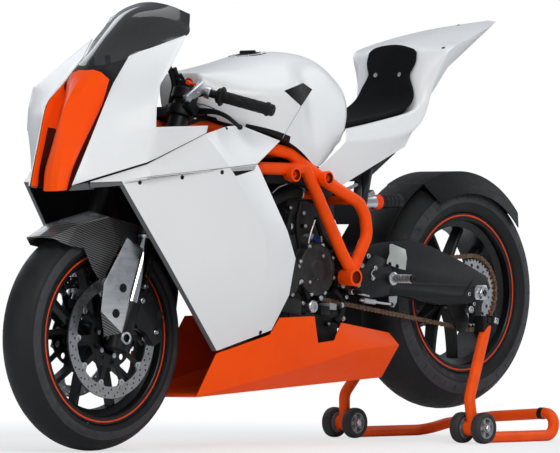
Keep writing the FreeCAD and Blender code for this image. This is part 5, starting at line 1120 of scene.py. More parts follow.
def skin(shares, faces, whole):
    """The named places and facets as a build: one skin over both sides, or a pair of skins."""
    names = list(shares)
    numbers = {name: i for i, name in enumerate(names)}
    points = [spot(*shares[name]) for name in names]
    made = Build().add(points, [tuple(numbers[name] for name in face) for face in faces])
    if not whole:
        return made.both(), names + [name + "_right" for name in names]
    other = {}
    for name in names:
        if shares[name][1]:
            other[name] = len(made.points)
            made.points.append(flipped(points[numbers[name]]))
        else:
            other[name] = numbers[name]
    for face in faces:
        made.faces.append(tuple(other[name] for name in reversed(face)))
        made.kinds.append(0)
    all_names = names + [name + "_right" for name in names if shares[name][1]]
    return made, all_names


def folded_panel(name, shares, faces, whole, finish_name, body, node, bevel=0.004, lining=None):
    """A panel of flat facets with narrow rounded folds."""
    build, _ = skin(shares, faces, whole)
    thing = piece(name, build, body, finish_name, [node], wall=WALL, lining=lining)
    return refolded(thing, bevel, FOLD_ANGLE, 40)


def soft_build(shares, faces, folds, whole):
    """A smooth skin through the named places, with folds kept as sharp as they are given."""
    build, names = skin(shares, faces, whole)
    mesh = bpy.data.meshes.new("soft")
    mesh.from_pydata(build.points, [], build.faces)
    thing = bpy.data.objects.new("soft", mesh)
    bpy.context.scene.collection.objects.link(thing)
    users = {}
    for face in build.faces:
        for a, b in zip(face, face[1:] + face[:1]):
            users[frozenset((a, b))] = users.get(frozenset((a, b)), 0) + 1
    edge_folds = mesh.attributes.new("crease_edge", "FLOAT", "EDGE")
    corner_folds = mesh.attributes.new("crease_vert", "FLOAT", "POINT")
    known = {frozenset(corners): value for corners, value in folds.items()}
    for number, edge in enumerate(mesh.edges):
        a, b = (names[i].removesuffix("_right") for i in edge.vertices)
        if users[frozenset(edge.vertices)] == 1:
            edge_folds.data[number].value = 1.0
            for corner in edge.vertices:
                corner_folds.data[corner].value = 1.0
        else:
            edge_folds.data[number].value = known.get(frozenset((a, b)), 0.0)
    made = thing.modifiers.new("subdivide", "SUBSURF")
    made.levels = made.render_levels = SOFT_LEVELS
    wanted = [point.copy() for point in build.points]
    for _ in range(SOFT_ROUNDS):
        bpy.context.view_layer.update()
        shown = thing.evaluated_get(bpy.context.evaluated_depsgraph_get()).to_mesh()
        for number, place in enumerate(wanted):
            mesh.vertices[number].co += (place - shown.vertices[number].co) * SOFT_PULL
        thing.evaluated_get(bpy.context.evaluated_depsgraph_get()).to_mesh_clear()
        mesh.update()
    bpy.context.view_layer.update()
    final = bpy.data.meshes.new_from_object(thing.evaluated_get(bpy.context.evaluated_depsgraph_get()))
    result = Build().add([v.co.copy() for v in final.vertices], [tuple(f.vertices) for f in final.polygons])
    bpy.data.objects.remove(thing)
    bpy.data.meshes.remove(mesh)
    bpy.data.meshes.remove(final)
    return result


# Places on the pieces

SEAM_STEPS, SEAM_LIFT = 10, 0.0003


def here(ahead, left, up):
    """A place from the foot of the front tyre, in metres."""
    return Vector((FRONT_X + ahead, left, up))


def view_way(across_pixels, down_pixels):
    """The way from the camera through a pixel of its picture."""
    turn = bpy.context.scene.camera.matrix_world
    side = (across_pixels - IMAGE_WIDTH / 2 + PIXELS_LEFT) / FOCAL_PIXELS
    rise = (down_pixels - IMAGE_HEIGHT / 2 + PIXELS_UP) / FOCAL_PIXELS
    return (turn.col[0].xyz * side - turn.col[1].xyz * rise - turn.col[2].xyz).normalized()


def struck(thing, start, way):
    """Where a ray meets a piece, or passes closest, and the surface's own way out, turned to the start."""
    bpy.context.view_layer.update()
    shown = thing.evaluated_get(bpy.context.evaluated_depsgraph_get())
    back = thing.matrix_world.inverted()
    hit, place, normal, _ = shown.ray_cast(back @ start, back.to_3x3() @ way)
    if not hit:
        middle = sum((Vector(corner) for corner in shown.bound_box), Vector()) / 8
        beside = back @ start + back.to_3x3() @ way * (middle - back @ start).dot(back.to_3x3() @ way)
        _, place, normal, _ = shown.closest_point_on_mesh(beside)
    normal = thing.matrix_world.to_3x3() @ normal
    return thing.matrix_world @ place, -normal if normal.dot(way) > 0 else normal


def seen_on(thing, pixel):
    return struck(thing, CAMERA_PLACE, view_way(*pixel))


def screws(name, thing, pixels, radius, mirrored=True):
    """Screw heads where a piece shows these pixels, and the same on the far side."""
    build = Build()
    for pixel in pixels:
        place, normal = seen_on(thing, pixel)
        build.add_build(bolt(place - normal * 0.0006, normal, radius, 0.0025))
    piece(name, build.both() if mirrored else build, "chassis", "black_metal")


def patch(name, thing, corners, kind, lift=0.0012, steps=8):
    """A thin inlay on a piece, between four pixels, and the same on the far side; also a patch of painted
    shade.
    """
    first, second, third, fourth = (Vector(corner) for corner in corners)
    places = []
    for down in range(steps + 1):
        for across in range(steps + 1):
            low = first.lerp(second, across / steps)
            high = fourth.lerp(third, across / steps)
            place, normal = seen_on(thing, low.lerp(high, down / steps))
            places.append(place + normal * lift)
    build = Build().add(places, sheet_faces(steps + 1, steps + 1))
    return piece(name, build.both(), "chassis", kind, wall=-lift * 2, angle=50)


def strip_faces(count):
    """The faces of a strip between pairs of points."""
    return [(2 * i, 2 * i + 1, 2 * i + 3, 2 * i + 2) for i in range(count - 1)]


def seam(name, thing, pixels, width, kind):
    """A narrow line on a piece along these pixels, and the same on the far side."""
    spots = []
    for start, end in zip(pixels, pixels[1:]):
        for step in range(SEAM_STEPS):
            spots.append(seen_on(thing, Vector(start).lerp(Vector(end), step / SEAM_STEPS)))
    spots.append(seen_on(thing, Vector(pixels[-1])))
    points = []
    for number, (place, normal) in enumerate(spots):
        before, after = spots[max(number - 1, 0)][0], spots[min(number + 1, len(spots) - 1)][0]
        aside = (after - before).cross(normal).normalized() * width / 2
        points += [place + normal * SEAM_LIFT - aside, place + normal * SEAM_LIFT + aside]
    build = Build().add(points, strip_faces(len(spots)))
    return piece(name, build.both(), "chassis", kind, wall=-0.0006, angle=60)


# Nose insert and screen

INSERT_ROWS = [
    [(161, 0, 683), (158, 22, 683), (147, 40, 685), (141, 42, 686), (116, 52, 690), (116, 68, 694),
     (137, 72, 695), (160, 73, 697)],
    [(156, 0, 735), (151, 24, 735), (136, 46, 737), (129, 49, 739), (104, 60, 745), (104, 76, 747),
     (122, 80, 748), (141, 81, 750)],
    [(143, 0, 790), (133, 25, 790), (116, 46, 792), (103, 55, 795), (93, 62, 796), (84, 78, 799),
     (100, 87, 801), (119, 90, 803)],
    [(118, 0, 888), (98, 25, 888), (76, 50, 890), (55, 72, 895), (50, 78, 896), (40, 96, 903),
     (56, 102, 906), (76.5, 105, 908)],
    [(84, 0, 948), (72, 25, 950), (52, 50, 949), (40, 75, 930), (36, 80, 926), (22, 90, 932), (32, 95, 945),
     (46, 98.5, 950)],
    [(34, 0, 1006), (34, 27, 1007), (33, 55, 1000), (25, 79, 980), (19, 86, 962), (4, 88, 968),
     (-6, 87, 994), (-10, 90, 1007)],
]
INSERT_STEPS = 8
# columns painted dark red for the shade along the grooves and inside the intakes
SHADED_COLUMNS, SLOT_COLUMNS, SLOT_TOP = (3, 10), (1, 2, 11, 12), 20
SCREEN_STEPS, SCREEN_FOOT = 6, 2
SCREEN_ROWS = [
    [(0.020, 0, 0.985), (0.018, 0.030, 0.982), (0.014, 0.060, 0.965), (0.012, 0.087, 0.935)],
    [(0.033, 0, 1.003), (0.031, 0.030, 1.001), (0.027, 0.060, 0.997), (0.021, 0.092, 0.974)],
    [(0.022, 0, 1.019), (0.018, 0.030, 1.019), (0.002, 0.060, 1.024), (-0.044, 0.086, 1.041)],
    [(-0.028, 0, 1.080), (-0.034, 0.030, 1.077), (-0.060, 0.072, 1.072), (-0.107, 0.129, 1.077)],
    [(-0.075, 0, 1.125), (-0.082, 0.038, 1.120), (-0.115, 0.092, 1.112), (-0.170, 0.172, 1.104)],
    [(-0.130, 0, 1.170), (-0.137, 0.040, 1.166), (-0.160, 0.095, 1.156), (-0.192, 0.160, 1.135)],
    [(-0.191, 0, 1.198), (-0.193, 0.040, 1.195), (-0.198, 0.090, 1.184), (-0.204, 0.149, 1.162)],
]


def make_nose():
    """The orange insert with its grooves and intakes, the shade in them painted dark red, and the tinted
    screen with its dark foot.
    """
    rows = [[here(*(value / 1000 for value in place)) for place in row] for row in INSERT_ROWS]
    build = grid(rows, 1, INSERT_STEPS)
    across = 2 * (len(rows[0]) - 1)
    for number in range(len(build.faces)):
        column, row = number % across, number // across
        # the shaded columns, and the intake columns below SLOT_TOP, get the painted shade
        build.kinds[number] = int(column in SHADED_COLUMNS or column in SLOT_COLUMNS and row < SLOT_TOP)
    thing = piece("nose_insert_skin", build, "chassis", ["orange_paint", "painted_shade_red"], ["nose_insert"],
                  wall=WALL, lining="black_plastic")
    # the orange rims take the dark red too: painted shade at the insert's edges
    thing.modifiers["wall"].material_offset_rim = 1
    refolded(thing, 0.0035, 16, 50)
    rows = [[here(*place) for place in row] for row in SCREEN_ROWS]
    build = grid(rows, SCREEN_STEPS, SCREEN_STEPS)
    dark = SCREEN_FOOT * 2 * (len(rows[0]) - 1) * SCREEN_STEPS * SCREEN_STEPS
    build.kinds = [int(number < dark) for number in range(len(build.faces))]
    piece("screen_shell", build, "chassis", ["smoked_screen", "black_plastic"], ["windscreen"], wall=0.0032,
          angle=60)


BRACKET_RUN = [(0.1485, 0.13, 0.673), (0.085, 0.13, 0.692), (0.02, 0.13, 0.8)]
BRACKET_ARMS = [((-0.09, 0.13, 0.8), "nose_insert_skin"), ((0.0, 1.1, 0.79), "nose_panel"),
                ((0.0, 0.13, 0.95), "screen_shell"), ((0.1, 0.13, 0.835), "instruments")]
BRACKET_RADIUS, BRACKET_BEND = 0.0077, 0.023


def make_bracket():
    """The bracket from the steering head, each arm ending at the inside of what it holds."""
    places = [spot(*share) for share in BRACKET_RUN]
    build = pipe(places, BRACKET_RADIUS, 20, BRACKET_BEND)
    for share, held in BRACKET_ARMS:
        way = (spot(*share) - places[-1]).normalized()
        end, _ = struck(bpy.data.objects[held], places[-1], way)
        build.add_build(bar(places[-1], end - way * 0.004, BRACKET_RADIUS, 20, 0.001))
    build.both()
    build.add_build(bar(flipped(places[-1]), places[-1], BRACKET_RADIUS, 20))
    piece("nose_bracket", build, "chassis", "black_metal", ["fairing_bracket"], angle=40)


# Seat

SEAT_ROWS = [
    ((-0.871, 0.866), (-0.871, 0.877), 0.108, (0.20, 0.98)),
    ((-0.935, 0.877), (-0.935, 0.890), 0.114, (0.20, 0.98)),
    ((-1.000, 0.888), (-1.000, 0.904), 0.117, (0.20, 0.98)),
    ((-1.060, 0.898), (-1.062, 0.917), 0.118, (0.22, 0.97)),
    ((-1.108, 0.911), (-1.112, 0.930), 0.117, (0.36, 0.93)),
    ((-1.146, 0.934), (-1.150, 0.951), 0.113, (0.62, 0.78)),
    ((-1.170, 0.962), (-1.172, 0.976), 0.106, (0.85, 0.52)),
    ((-1.182, 0.995), (-1.180, 1.003), 0.096, (0.96, 0.28)),
    ((-1.192, 1.026), (-1.184, 1.026), 0.083, (0.98, 0.20)),
    ((-1.197, 1.046), (-1.188, 1.042), 0.078, (0.98, 0.18)),
    ((-1.201, 1.064), (-1.191, 1.056), 0.084, (0.99, 0.14)),
    ((-1.206, 1.086), (-1.196, 1.075), 0.0915, (0.99, 0.13)),
    ((-1.210, 1.106), (-1.200, 1.093), 0.091, (0.99, 0.13)),
    ((-1.213, 1.120), (-1.203, 1.106), 0.088, (0.99, 0.14)),
    ((-1.215, 1.127), (-1.206, 1.115), 0.076, (0.99, 0.14)),
]
SEAT_FOAM, SEAT_FILL = 0.019, 0.8
SEAT_CROWN = [(0.0, 1.0), (0.3, 1.03), (0.6, 1.04), (0.85, 0.95), (0.96, 0.72), (1.0, 0.35)]
DIMPLE_SIDE, DIMPLE_RISE, DIMPLE_RADIUS = 0.045, 1.043, 0.0075
DIMPLE = [(-0.001, 1.35), (0.0016, 1.2), (0.002, 1.05), (0.0012, 0.97), (0.0008, 0.9), (0.0006, 0.0)]


def make_seat():
    """One foam pad over the seat and up the hump, crowned, waisted, with two sunk screws."""
    rows = []
    for (middle_x, middle_z), (edge_x, edge_z), half, way in SEAT_ROWS:
        out = Vector((way[0], 0, way[1])).normalized()
        row = []
        for aside, rise in SEAT_CROWN:
            dip = aside * aside
            base = here(middle_x + (edge_x - middle_x) * dip, half * aside,
                        middle_z + (edge_z - middle_z) * dip)
            row.append(base + out * SEAT_FOAM * rise)
        rows.append(row)
    build = grid(rows, 3, 4)
    pad = piece("seat_cushion", build, "chassis", "seat_foam", ["seat_pad"], wall=SEAT_FOAM * SEAT_FILL,
                bevel=0.003, angle=50, segments=3)
    cups = Build()
    for sign in (1, -1):
        start = here(-1.0, sign * DIMPLE_SIDE, DIMPLE_RISE)
        place, normal = struck(pad, start, Vector((-1, 0, 0)))
        profile = [(rise, DIMPLE_RADIUS * share) for rise, share in DIMPLE]
        cups.add_build(turned(place, normal, profile, 24, [0, 0, 0, 0, 1]))
    piece("seat_screws", cups, "chassis", ["seat_foam", "grey_plastic"], angle=40)


# Body panel details

TANK_INLAY = [(284.3, 90.8), (302.7, 83.1), (311.9, 89.5), (301.0, 106.0)]
TANK_SEAM = [(301.0, 106.6), (294.0, 118.0), (282.0, 139.0)]
TAIL_DOTS = [(458.5, 25.2), (443.4, 47.9)]
LOWER_SCREWS = [(139.9, 182.5), (182.3, 177.4), (222.2, 172.3), (235.2, 344.0), (260.4, 332.5)]
UPPER_SCREWS = [(226.6, 128.4)]
LOWER_SEAM = [(125.0, 183.6), (160.0, 177.5), (200.0, 172.0), (230.0, 167.5)]
SLOT_CORNERS = [(232.5, 171.3), (254.5, 170.0), (236.5, 175.8), (235.6, 176.0)]
SLOT_SHADE = [(229.9, 168.3), (256.0, 165.2), (254.5, 169.9), (232.4, 171.2)]
CAP_PLACE, CAP_LEAN = (-0.592, 0, 1.066), Vector((0.17, 0, 0.985)).normalized()
CAP_PROFILE = [(-0.004, 0.0565), (0.006, 0.0565), (0.0095, 0.054), (0.0095, 0.047), (0.006, 0.045),
               (0.006, 0.038), (0.011, 0.036), (0.0125, 0.030), (0.0125, 0.0)]
CAP_SCREWS, CAP_SCREW_REACH, CAP_SCREW_RISE = 8, 0.0505, 0.0092
CAP_GRIP_RISE, CAP_GRIP_HALF = 0.0125, 0.026


def make_panel_details(made):
    """Inlays, seams and screws on the body panels, and painted shade in and above the lower slots."""
    patch("tank_inlay", made["tank"], TANK_INLAY, "black_plastic")
    seam("tank_seam", made["tank"], TANK_SEAM, 0.0014, "grey_line")
    screws("tail_screws", made["tail"], TAIL_DOTS, 0.0042, mirrored=False)
    screws("lower_screws", made["lower"], LOWER_SCREWS, 0.0046)
    screws("upper_screws", made["upper"], UPPER_SCREWS, 0.0046)
    seam("lower_seam", made["lower"], LOWER_SEAM, 0.0012, "grey_line")
    # painted shade: the lower panel's slots in black, the shaded slope above them in grey
    patch("lower_slots", made["lower"], SLOT_CORNERS, "shadow_gap", 0.0006, 4)
    patch("lower_ramps", made["lower"], SLOT_SHADE, "grey_line", 0.0006, 4)
    make_fuel_cap()


def make_fuel_cap():
    """The screwed ring and the cap's grip."""
    cap = here(*CAP_PLACE)
    build = turned(cap, CAP_LEAN, CAP_PROFILE, 48)
    aside, over = frame_of(CAP_LEAN)
    for number in range(CAP_SCREWS):
        turn = 2 * math.pi * number / CAP_SCREWS
        reach = (aside * math.cos(turn) + over * math.sin(turn)) * CAP_SCREW_REACH
        build.add_build(bolt(cap + reach + CAP_LEAN * CAP_SCREW_RISE, CAP_LEAN, 0.0028, 0.0028), 1)
    grip = [cap + CAP_LEAN * CAP_GRIP_RISE + aside * side for side in (-CAP_GRIP_HALF, CAP_GRIP_HALF)]
    build.add_build(swept(grip, lambda share: chamfered(0.005, 0.008, 0.0025)))
    piece("fuel_cap_ring", build, "chassis", ["black_metal", "bright_metal"], ["fuel_cap"], angle=40)


def make_panels():
    """The painted panels, by name."""
    made = {}
    nose = soft_build(NOSE, NOSE_FACES, {("flank", "low"): 0.5}, False)
    shell = piece("nose_panel", nose, "chassis", "black_plastic", ["nose_fairing"], wall=WALL,
                  bevel=0.0012, lining="white_paint")
    shell.modifiers["wall"].material_offset_rim = 1
    made["upper"] = folded_panel("upper_panel", UPPER, UPPER_FACES, False, "white_paint", "chassis",
                                 "upper_side_panels", lining="black_plastic")
    made["lower"] = folded_panel("lower_panel", LOWER, LOWER_FACES, False, "white_paint", "chassis",
                                 "lower_side_panels", lining="black_plastic")
    folded_panel("belly", BELLY, BELLY_FACES, True, "orange_paint", "chassis", "belly_pan", 0.006)
    folded_panel("fender", FENDER, FENDER_FACES, True, "carbon", "steering", "front_fender", 0.003)
    tank = soft_build(TANK, TANK_FACES, TANK_FOLDS, True)
    for number, face in enumerate(tank.faces):
        a, b, c = (tank.points[i] for i in face[:3])
        tank.kinds[number] = int((b - a).cross(c - a).normalized().z < TANK_UNDERSIDE)
    made["tank"] = piece("tank", tank, "chassis", ["white_paint", "black_plastic"], ["tank_cover"])
    tail = soft_build(TAIL, TAIL_FACES, TAIL_FOLDS, True)
    made["tail"] = piece("tail", tail, "chassis", "white_paint", ["tail_unit"], wall=TAIL_WALL)
    return made


# Controls and fork

FORK_SIDE, CLAMP_RISE, CLIP_RISE = 0.105, 0.712, 0.688
BAR_INNER, BAR_OUTER = (0.198, 0.56, 0.798), (0.2580, 1.272, 0.756)
BAR_RADIUS, BAR_BEND, BAR_GAP = 0.011, 0.022, 0.020
CLAMP_RING = [(-0.015, 0.0272), (-0.015, 0.0335), (-0.0125, 0.036), (0.0125, 0.036), (0.015, 0.0335),
              (0.015, 0.0272)]
GRIP_START, GRIP_END, GRIP_RADIUS, GRIP_GROOVE, GRIP_BORE = 0.31, 0.90, 0.0162, 0.0021, 0.0115
GRIP_FLANGES = [(0.200, 0.021), (0.245, 0.0265)]
FLANGE_HALF, FLANGE_TOP, FLANGE_SLOPE = 0.005, 0.002, 0.004
GRIP_COLLAR, COLLAR_PLACE = [(-0.004, 0.0115), (-0.004, 0.0155), (0.008, 0.0162), (0.008, 0.0115)], 0.27
GRIP_CAP, CAP_SHARE = [(-0.004, 0.0115), (-0.004, 0.0185), (0.003, 0.0195), (0.006, 0.0165), (0.016, 0.0160),
                       (0.019, 0.0130), (0.019, 0.0)], 0.91
GROOVE_SHARE = 0.16
LEVER_RUN = [(0.170, 0.60, 0.7525), (0.166, 0.72, 0.7530), (0.164, 0.86, 0.7520), (0.1625, 0.98, 0.7480),
             (0.1645, 1.10, 0.7385), (0.168, 1.19, 0.7255), (0.1705, 1.25, 0.7165)]
LEVER_HALVES = [0.0095, 0.009, 0.0075, 0.0062, 0.0056, 0.0052, 0.0048]
LEVER_BALL, LEVER_FLAT, LEVER_CUT = 0.0078, 0.72, 0.3
LEVER_CLAMP_SHARE = 0.045
ARM_PIXELS, ARM_SIDE = [(203.0, 86.0), (186.0, 99.5)], 0.150
PIVOT_PIXELS, PIVOT_SIDE = [(188.0, 101.5), (194.5, 113.0)], 0.149
CABLE_PIXELS, CABLE_STEP = [(196.5, 103.5), (206.0, 105.5), (215.0, 109.0)], 0.010
ADJUSTER = [(-0.010, 0.0), (-0.010, 0.0055), (-0.008, 0.0065), (0.0, 0.0065), (0.001, 0.004),
            (0.018, 0.0035)]
FORK_CAP = [(0.0, 0.026), (0.004, 0.0275), (0.010, 0.0275), (0.012, 0.023), (0.012, 0.015)]
FORK_NUT = [(0.012, 0.015), (0.018, 0.014), (0.018, 0.010), (0.022, 0.009), (0.022, 0.0)]
FORK_SCREW = [(0.021, 0.008), (0.026, 0.007), (0.026, 0.0)]
BAR_LEADS = [([(168, 64), (174, 84), (171, 104), (174, 128)], 0.070, 0.0075),
             ([(174, 68), (179, 86), (177, 106), (179, 126)], 0.078, 0.0075),
             ([(180, 74), (184, 84), (176, 98), (180, 120)], 0.092, 0.005)]


def beside(pixel, side):
    """The place seen at a pixel, at a distance to the left of the middle plane."""
    way = view_way(*pixel)
    return CAMERA_PLACE + way * ((side - CAMERA_PLACE.y) / way.y)


def outline(shares):
    """Side outline places from shares, on the middle plane."""
    return [spot(back, 0, up) for back, up in shares]


def knurled(start, end, radius, depth, turns, lanes, rounds=56, rings=40):
    """A round bar whose surface is cut by crossing spiral grooves."""
    way = (end - start).normalized()
    aside, over = frame_of(way)
    length = (end - start).length
    points, faces = [], []
    for ring in range(rings + 1):
        share = ring / rings
        plain = ring <= 1 or ring >= rings - 1
        for step in range(rounds):
            angle = step / rounds
            cut = 0.0
            for lean in (turns, -turns):
                phase = abs((angle * lanes + share * lean) % 1 - 0.5)
                cut = max(cut, 1 - phase / GROOVE_SHARE)
            reach = radius if plain else radius - depth * cut
            turn = 2 * math.pi * angle
            points.append(start + way * length * share
                          + (aside * math.cos(turn) + over * math.sin(turn)) * reach)
    for ring in range(rings):
        for step in range(rounds):
            a, b = ring * rounds + step, ring * rounds + (step + 1) % rounds
            faces.append((a, b, b + rounds, a + rounds))
    faces += [tuple(reversed(range(rounds))), tuple(range(rings * rounds, (rings + 1) * rounds))]
    return Build().add(points, faces)


def along_bar(share):
    """A place on the left bar, by its share of the run."""
    inner, outer = spot(*BAR_INNER), spot(*BAR_OUTER)
    return inner + (outer - inner) * share


def make_bars(unit):
    """Bars on their clamps, and grips with flanges and ends."""
    inner, outer, clip = spot(*BAR_INNER), spot(*BAR_OUTER), fork_spot(CLIP_RISE, FORK_SIDE)
    bars = pipe([clip + (inner - clip).normalized() * BAR_GAP, inner, outer], BAR_RADIUS, 24, BAR_BEND, 8)
    bars.add_build(lathe(clip, FORK_UP, CLAMP_RING, 40))
    piece("clip_bars", bars.both(), "steering", "black_metal", ["handlebars"], angle=40)
    grip = knurled(along_bar(GRIP_START), along_bar(GRIP_END), GRIP_RADIUS, GRIP_GROOVE, 3, 5)
    for share, reach in GRIP_FLANGES:
        half = [(FLANGE_TOP, reach), (FLANGE_HALF, reach - FLANGE_SLOPE), (FLANGE_HALF, GRIP_BORE)]
        grip.add_build(lathe(along_bar(share), unit, whole_profile(half), 36))
    grip.add_build(lathe(along_bar(COLLAR_PLACE), unit, GRIP_COLLAR, 32))
    grip.add_build(turned(along_bar(CAP_SHARE), unit, GRIP_CAP, 32))
    piece("grip_rubbers", grip.both(), "steering", "grip_rubber", ["grips"], angle=30)


def lever_section(share):
    """A lever's section, slimmer towards its ball."""
    place = share * (len(LEVER_HALVES) - 1)
    low = min(int(place), len(LEVER_HALVES) - 2)
    half = LEVER_HALVES[low] + (LEVER_HALVES[low + 1] - LEVER_HALVES[low]) * (place - low)
    return chamfered(half * LEVER_FLAT, half, half * LEVER_CUT)


def make_levers(unit):
    """Ball-ended levers on bright brackets, each with its clamp, pivot, adjuster and cable."""
    path = curved_path([spot(*share) for share in LEVER_RUN], 5)
    lever = swept(path, lever_section)
    ball = [(-along, radius) for along, radius in (polar(LEVER_BALL, t * math.pi / 8) for t in range(9))]
    lever.add_build(turned(path[-1], path[-1] - path[-2], ball, 18))
    lever.add_build(lathe(along_bar(LEVER_CLAMP_SHARE), unit, sleeve(-0.008, 0.008, 0.0112, 0.0165), 28), 1)
    arm = [beside(pixel, ARM_SIDE) for pixel in ARM_PIXELS]
    lever.add_build(swept(arm, lambda share: chamfered(0.0085, 0.015 - 0.004 * share, 0.003)), 1)
    pivot = [beside(pixel, PIVOT_SIDE) for pixel in PIVOT_PIXELS]
    lever.add_build(swept(pivot, lambda share: chamfered(0.011, 0.014, 0.003)), 0)
    lever.add_build(bolt(pivot[1] - UP * 0.013, -UP, 0.0052, 0.004), 1)
    lever.add_build(bolt(arm[0].lerp(arm[1], 0.5) + SIDEWAYS * 0.012, SIDEWAYS, 0.0036, 0.004), 1)
    adjuster = arm[0].lerp(arm[1], 0.6) + UP * 0.030 - SIDEWAYS * 0.012
    lever.add_build(turned(adjuster, unit, ADJUSTER, 18), 2)
    cable = [beside(pixel, ARM_SIDE + CABLE_STEP * number) for number, pixel in enumerate(CABLE_PIXELS)]
    lever.add_build(hose(cable, 0.0014, 8), 0)
    piece("levers", lever.both(), "steering", ["black_metal", "bright_metal", "orange_line"],
          ["hand_levers"], angle=40, bevel=0.0006)


def make_controls():
    """Bars, levers, the leads between them, and the caps on the fork."""
    unit = (spot(*BAR_OUTER) - spot(*BAR_INNER)).normalized()
    make_bars(unit)
    make_levers(unit)
    leads = Build()
    for pixels, side, radius in BAR_LEADS:
        leads.add_build(hose([beside(pixel, side) for pixel in pixels], radius, 12))
    leads.both()
    for sign in (1, -1):
        top = fork_spot(CLAMP_RISE, sign * FORK_SIDE)
        for profile, sides, kind in ((FORK_CAP, 32, 0), (FORK_NUT, 6, 1), (FORK_SCREW, 18, 2)):
            leads.add_build(turned(top, FORK_UP, profile, sides), kind)
    piece("control_leads", leads, "steering", ["black_metal", "dark_metal", "orange_line"], angle=40)


GUARD = {
    "top": (-0.008, 0.47, 0.1395), "back": (0.035, 0.446, 0.138), "waist": (0.001, 0.327, 0.139),
    "toe": (-0.019, 0.261, 0.139), "heel": (-0.063, 0.254, 0.137), "low": (-0.072, 0.308, 0.137),
    "front": (-0.066, 0.37, 0.138), "ridge_top": (0.026, 0.441, 0.1445), "ridge": (-0.006, 0.345, 0.1460),
    "ridge_low": (-0.027, 0.275, 0.1440),
}
GUARD_FACES = [
    ("top", "ridge_top", "back"), ("top", "front", "ridge", "ridge_top"),
    ("back", "ridge_top", "ridge", "waist"), ("front", "low", "ridge_low", "ridge"),
    ("ridge", "ridge_low", "toe", "waist"), ("low", "toe", "ridge_low"), ("low", "heel", "toe"),
]
GUARD_BOLTS = [(123.2, 288.0), (116.0, 313.5)]
GUARD_CUP = [(-0.001, 0.0125), (0.001, 0.0118), (0.0008, 0.0098), (0.0004, 0.0)]
AXLE_RADIUS, AXLE_COLLAR, FRONT_AXLE_HALF, FRONT_NUT_SIDE = 0.0124, 0.0185, 0.118, 0.1255
FRONT_NUT = [(-0.0075, 0.0), (-0.0075, 0.0186), (0.0025, 0.0186), (0.0045, 0.0168), (0.0045, 0.0125),
             (0.0035, 0.0112), (-0.0035, 0.0112), (-0.0035, 0.0)]
FRONT_SPACER, SPACER_BORE = (0.0585, 0.0755), 0.0125
CALIPER_BOLTS, CALIPER_BOLT_SIDE = [(0.062, 0.332), (0.098, 0.262)], 0.0995
CALIPER_CAPS, CALIPER_CAP_SIDE = [(0.080, 0.338), (0.106, 0.300), (0.104, 0.262)], 0.0985
CALIPER_CAP = [(0, 0.0135), (0.004, 0.0125), (0.004, 0.0)]
BRAKE_HOSE = [(0.076, 0.362, 0.088), (0.084, 0.40, 0.098), (0.092, 0.47, 0.098), (0.105, 0.56, 0.085),
              (0.122, 0.64, 0.065)]
WIPER_RISE, WIPER = 0.277, [(0.0, 0.0222), (0.0, 0.0245), (0.006, 0.0245), (0.008, 0.0222)]


def make_guards():
    """Folded carbon guards with sunk black bolts: bright metal on their upper faces for a painted reflection,
    plain carbon on the lower corner.
    """
    names = list(GUARD)
    points = [spot(back, 0, up) + SIDEWAYS * side for back, up, side in GUARD.values()]
    build = Build().add(points, [tuple(names.index(name) for name in face) for face in GUARD_FACES])
    # bright metal on all faces but the lowest is a painted reflection on the carbon
    build.kinds[-1] = 1
    guard = piece("guard_plates", build.both(), "steering", ["bright_metal", "carbon"], ["fork_guards"],
                  wall=0.0035, bevel=0.0012, angle=24)
    bolts = Build()
    for pixel in GUARD_BOLTS:
        place, normal = seen_on(guard, pixel)
        bolts.add_build(turned(place, normal, GUARD_CUP, 28), 0)
        bolts.add_build(bolt(place + normal * 0.0004, normal, 0.0068, 0.0035), 1)
    piece("guard_bolts", bolts.both(), "steering", ["black_plastic", "black_metal"])


def make_front_axle():
    """The axle with its nuts, and the spacers beside the hub."""
    ends = Build()
    for sign in (1, -1):
        place = FRONT_AXLE + SIDEWAYS * sign * FRONT_NUT_SIDE
        ends.add_build(turned(place, SIDEWAYS * sign, FRONT_NUT, 36, [0, 0, 0, 0, 0, 1, 1]))
        spacer = sleeve(*(sign * side for side in FRONT_SPACER), SPACER_BORE, AXLE_COLLAR)
        ends.add_build(lathe(FRONT_AXLE, SIDEWAYS, spacer, 32))
    half = SIDEWAYS * FRONT_AXLE_HALF
    ends.add_build(bar(FRONT_AXLE - half, FRONT_AXLE + half, AXLE_RADIUS, 24))
    piece("front_axle_ends", ends, "steering", ["bright_metal", "black_metal"], ["front_axle"], angle=40)


def make_brake_fittings():
    """Bolts and caps on the calipers, brake hoses, and the wipers at the tops of the fork legs."""
    fittings = Build()
    for sign in (1, -1):
        out = SIDEWAYS * sign
        for back, up in CALIPER_BOLTS:
            fittings.add_build(bolt(spot(back, 0, up) + out * CALIPER_BOLT_SIDE, out, 0.0055, 0.006), 1)
        for back, up in CALIPER_CAPS:
            fittings.add_build(turned(spot(back, 0, up) + out * CALIPER_CAP_SIDE, out, CALIPER_CAP, 24), 0)
        run = [spot(back, 0, up) + out * side for back, up, side in BRAKE_HOSE]
        fittings.add_build(hose(run, 0.0036))
        fittings.add_build(bar(run[0] - out * 0.007, run[0] + out * 0.007, 0.0075, 18, 0.001), 1)
        fittings.add_build(lathe(fork_spot(WIPER_RISE, sign * FORK_SIDE), FORK_UP, WIPER, 32), 1)
    piece("brake_fittings", fittings, "steering", ["black_metal", "bright_metal"], angle=40)


# Engine bay and footrests

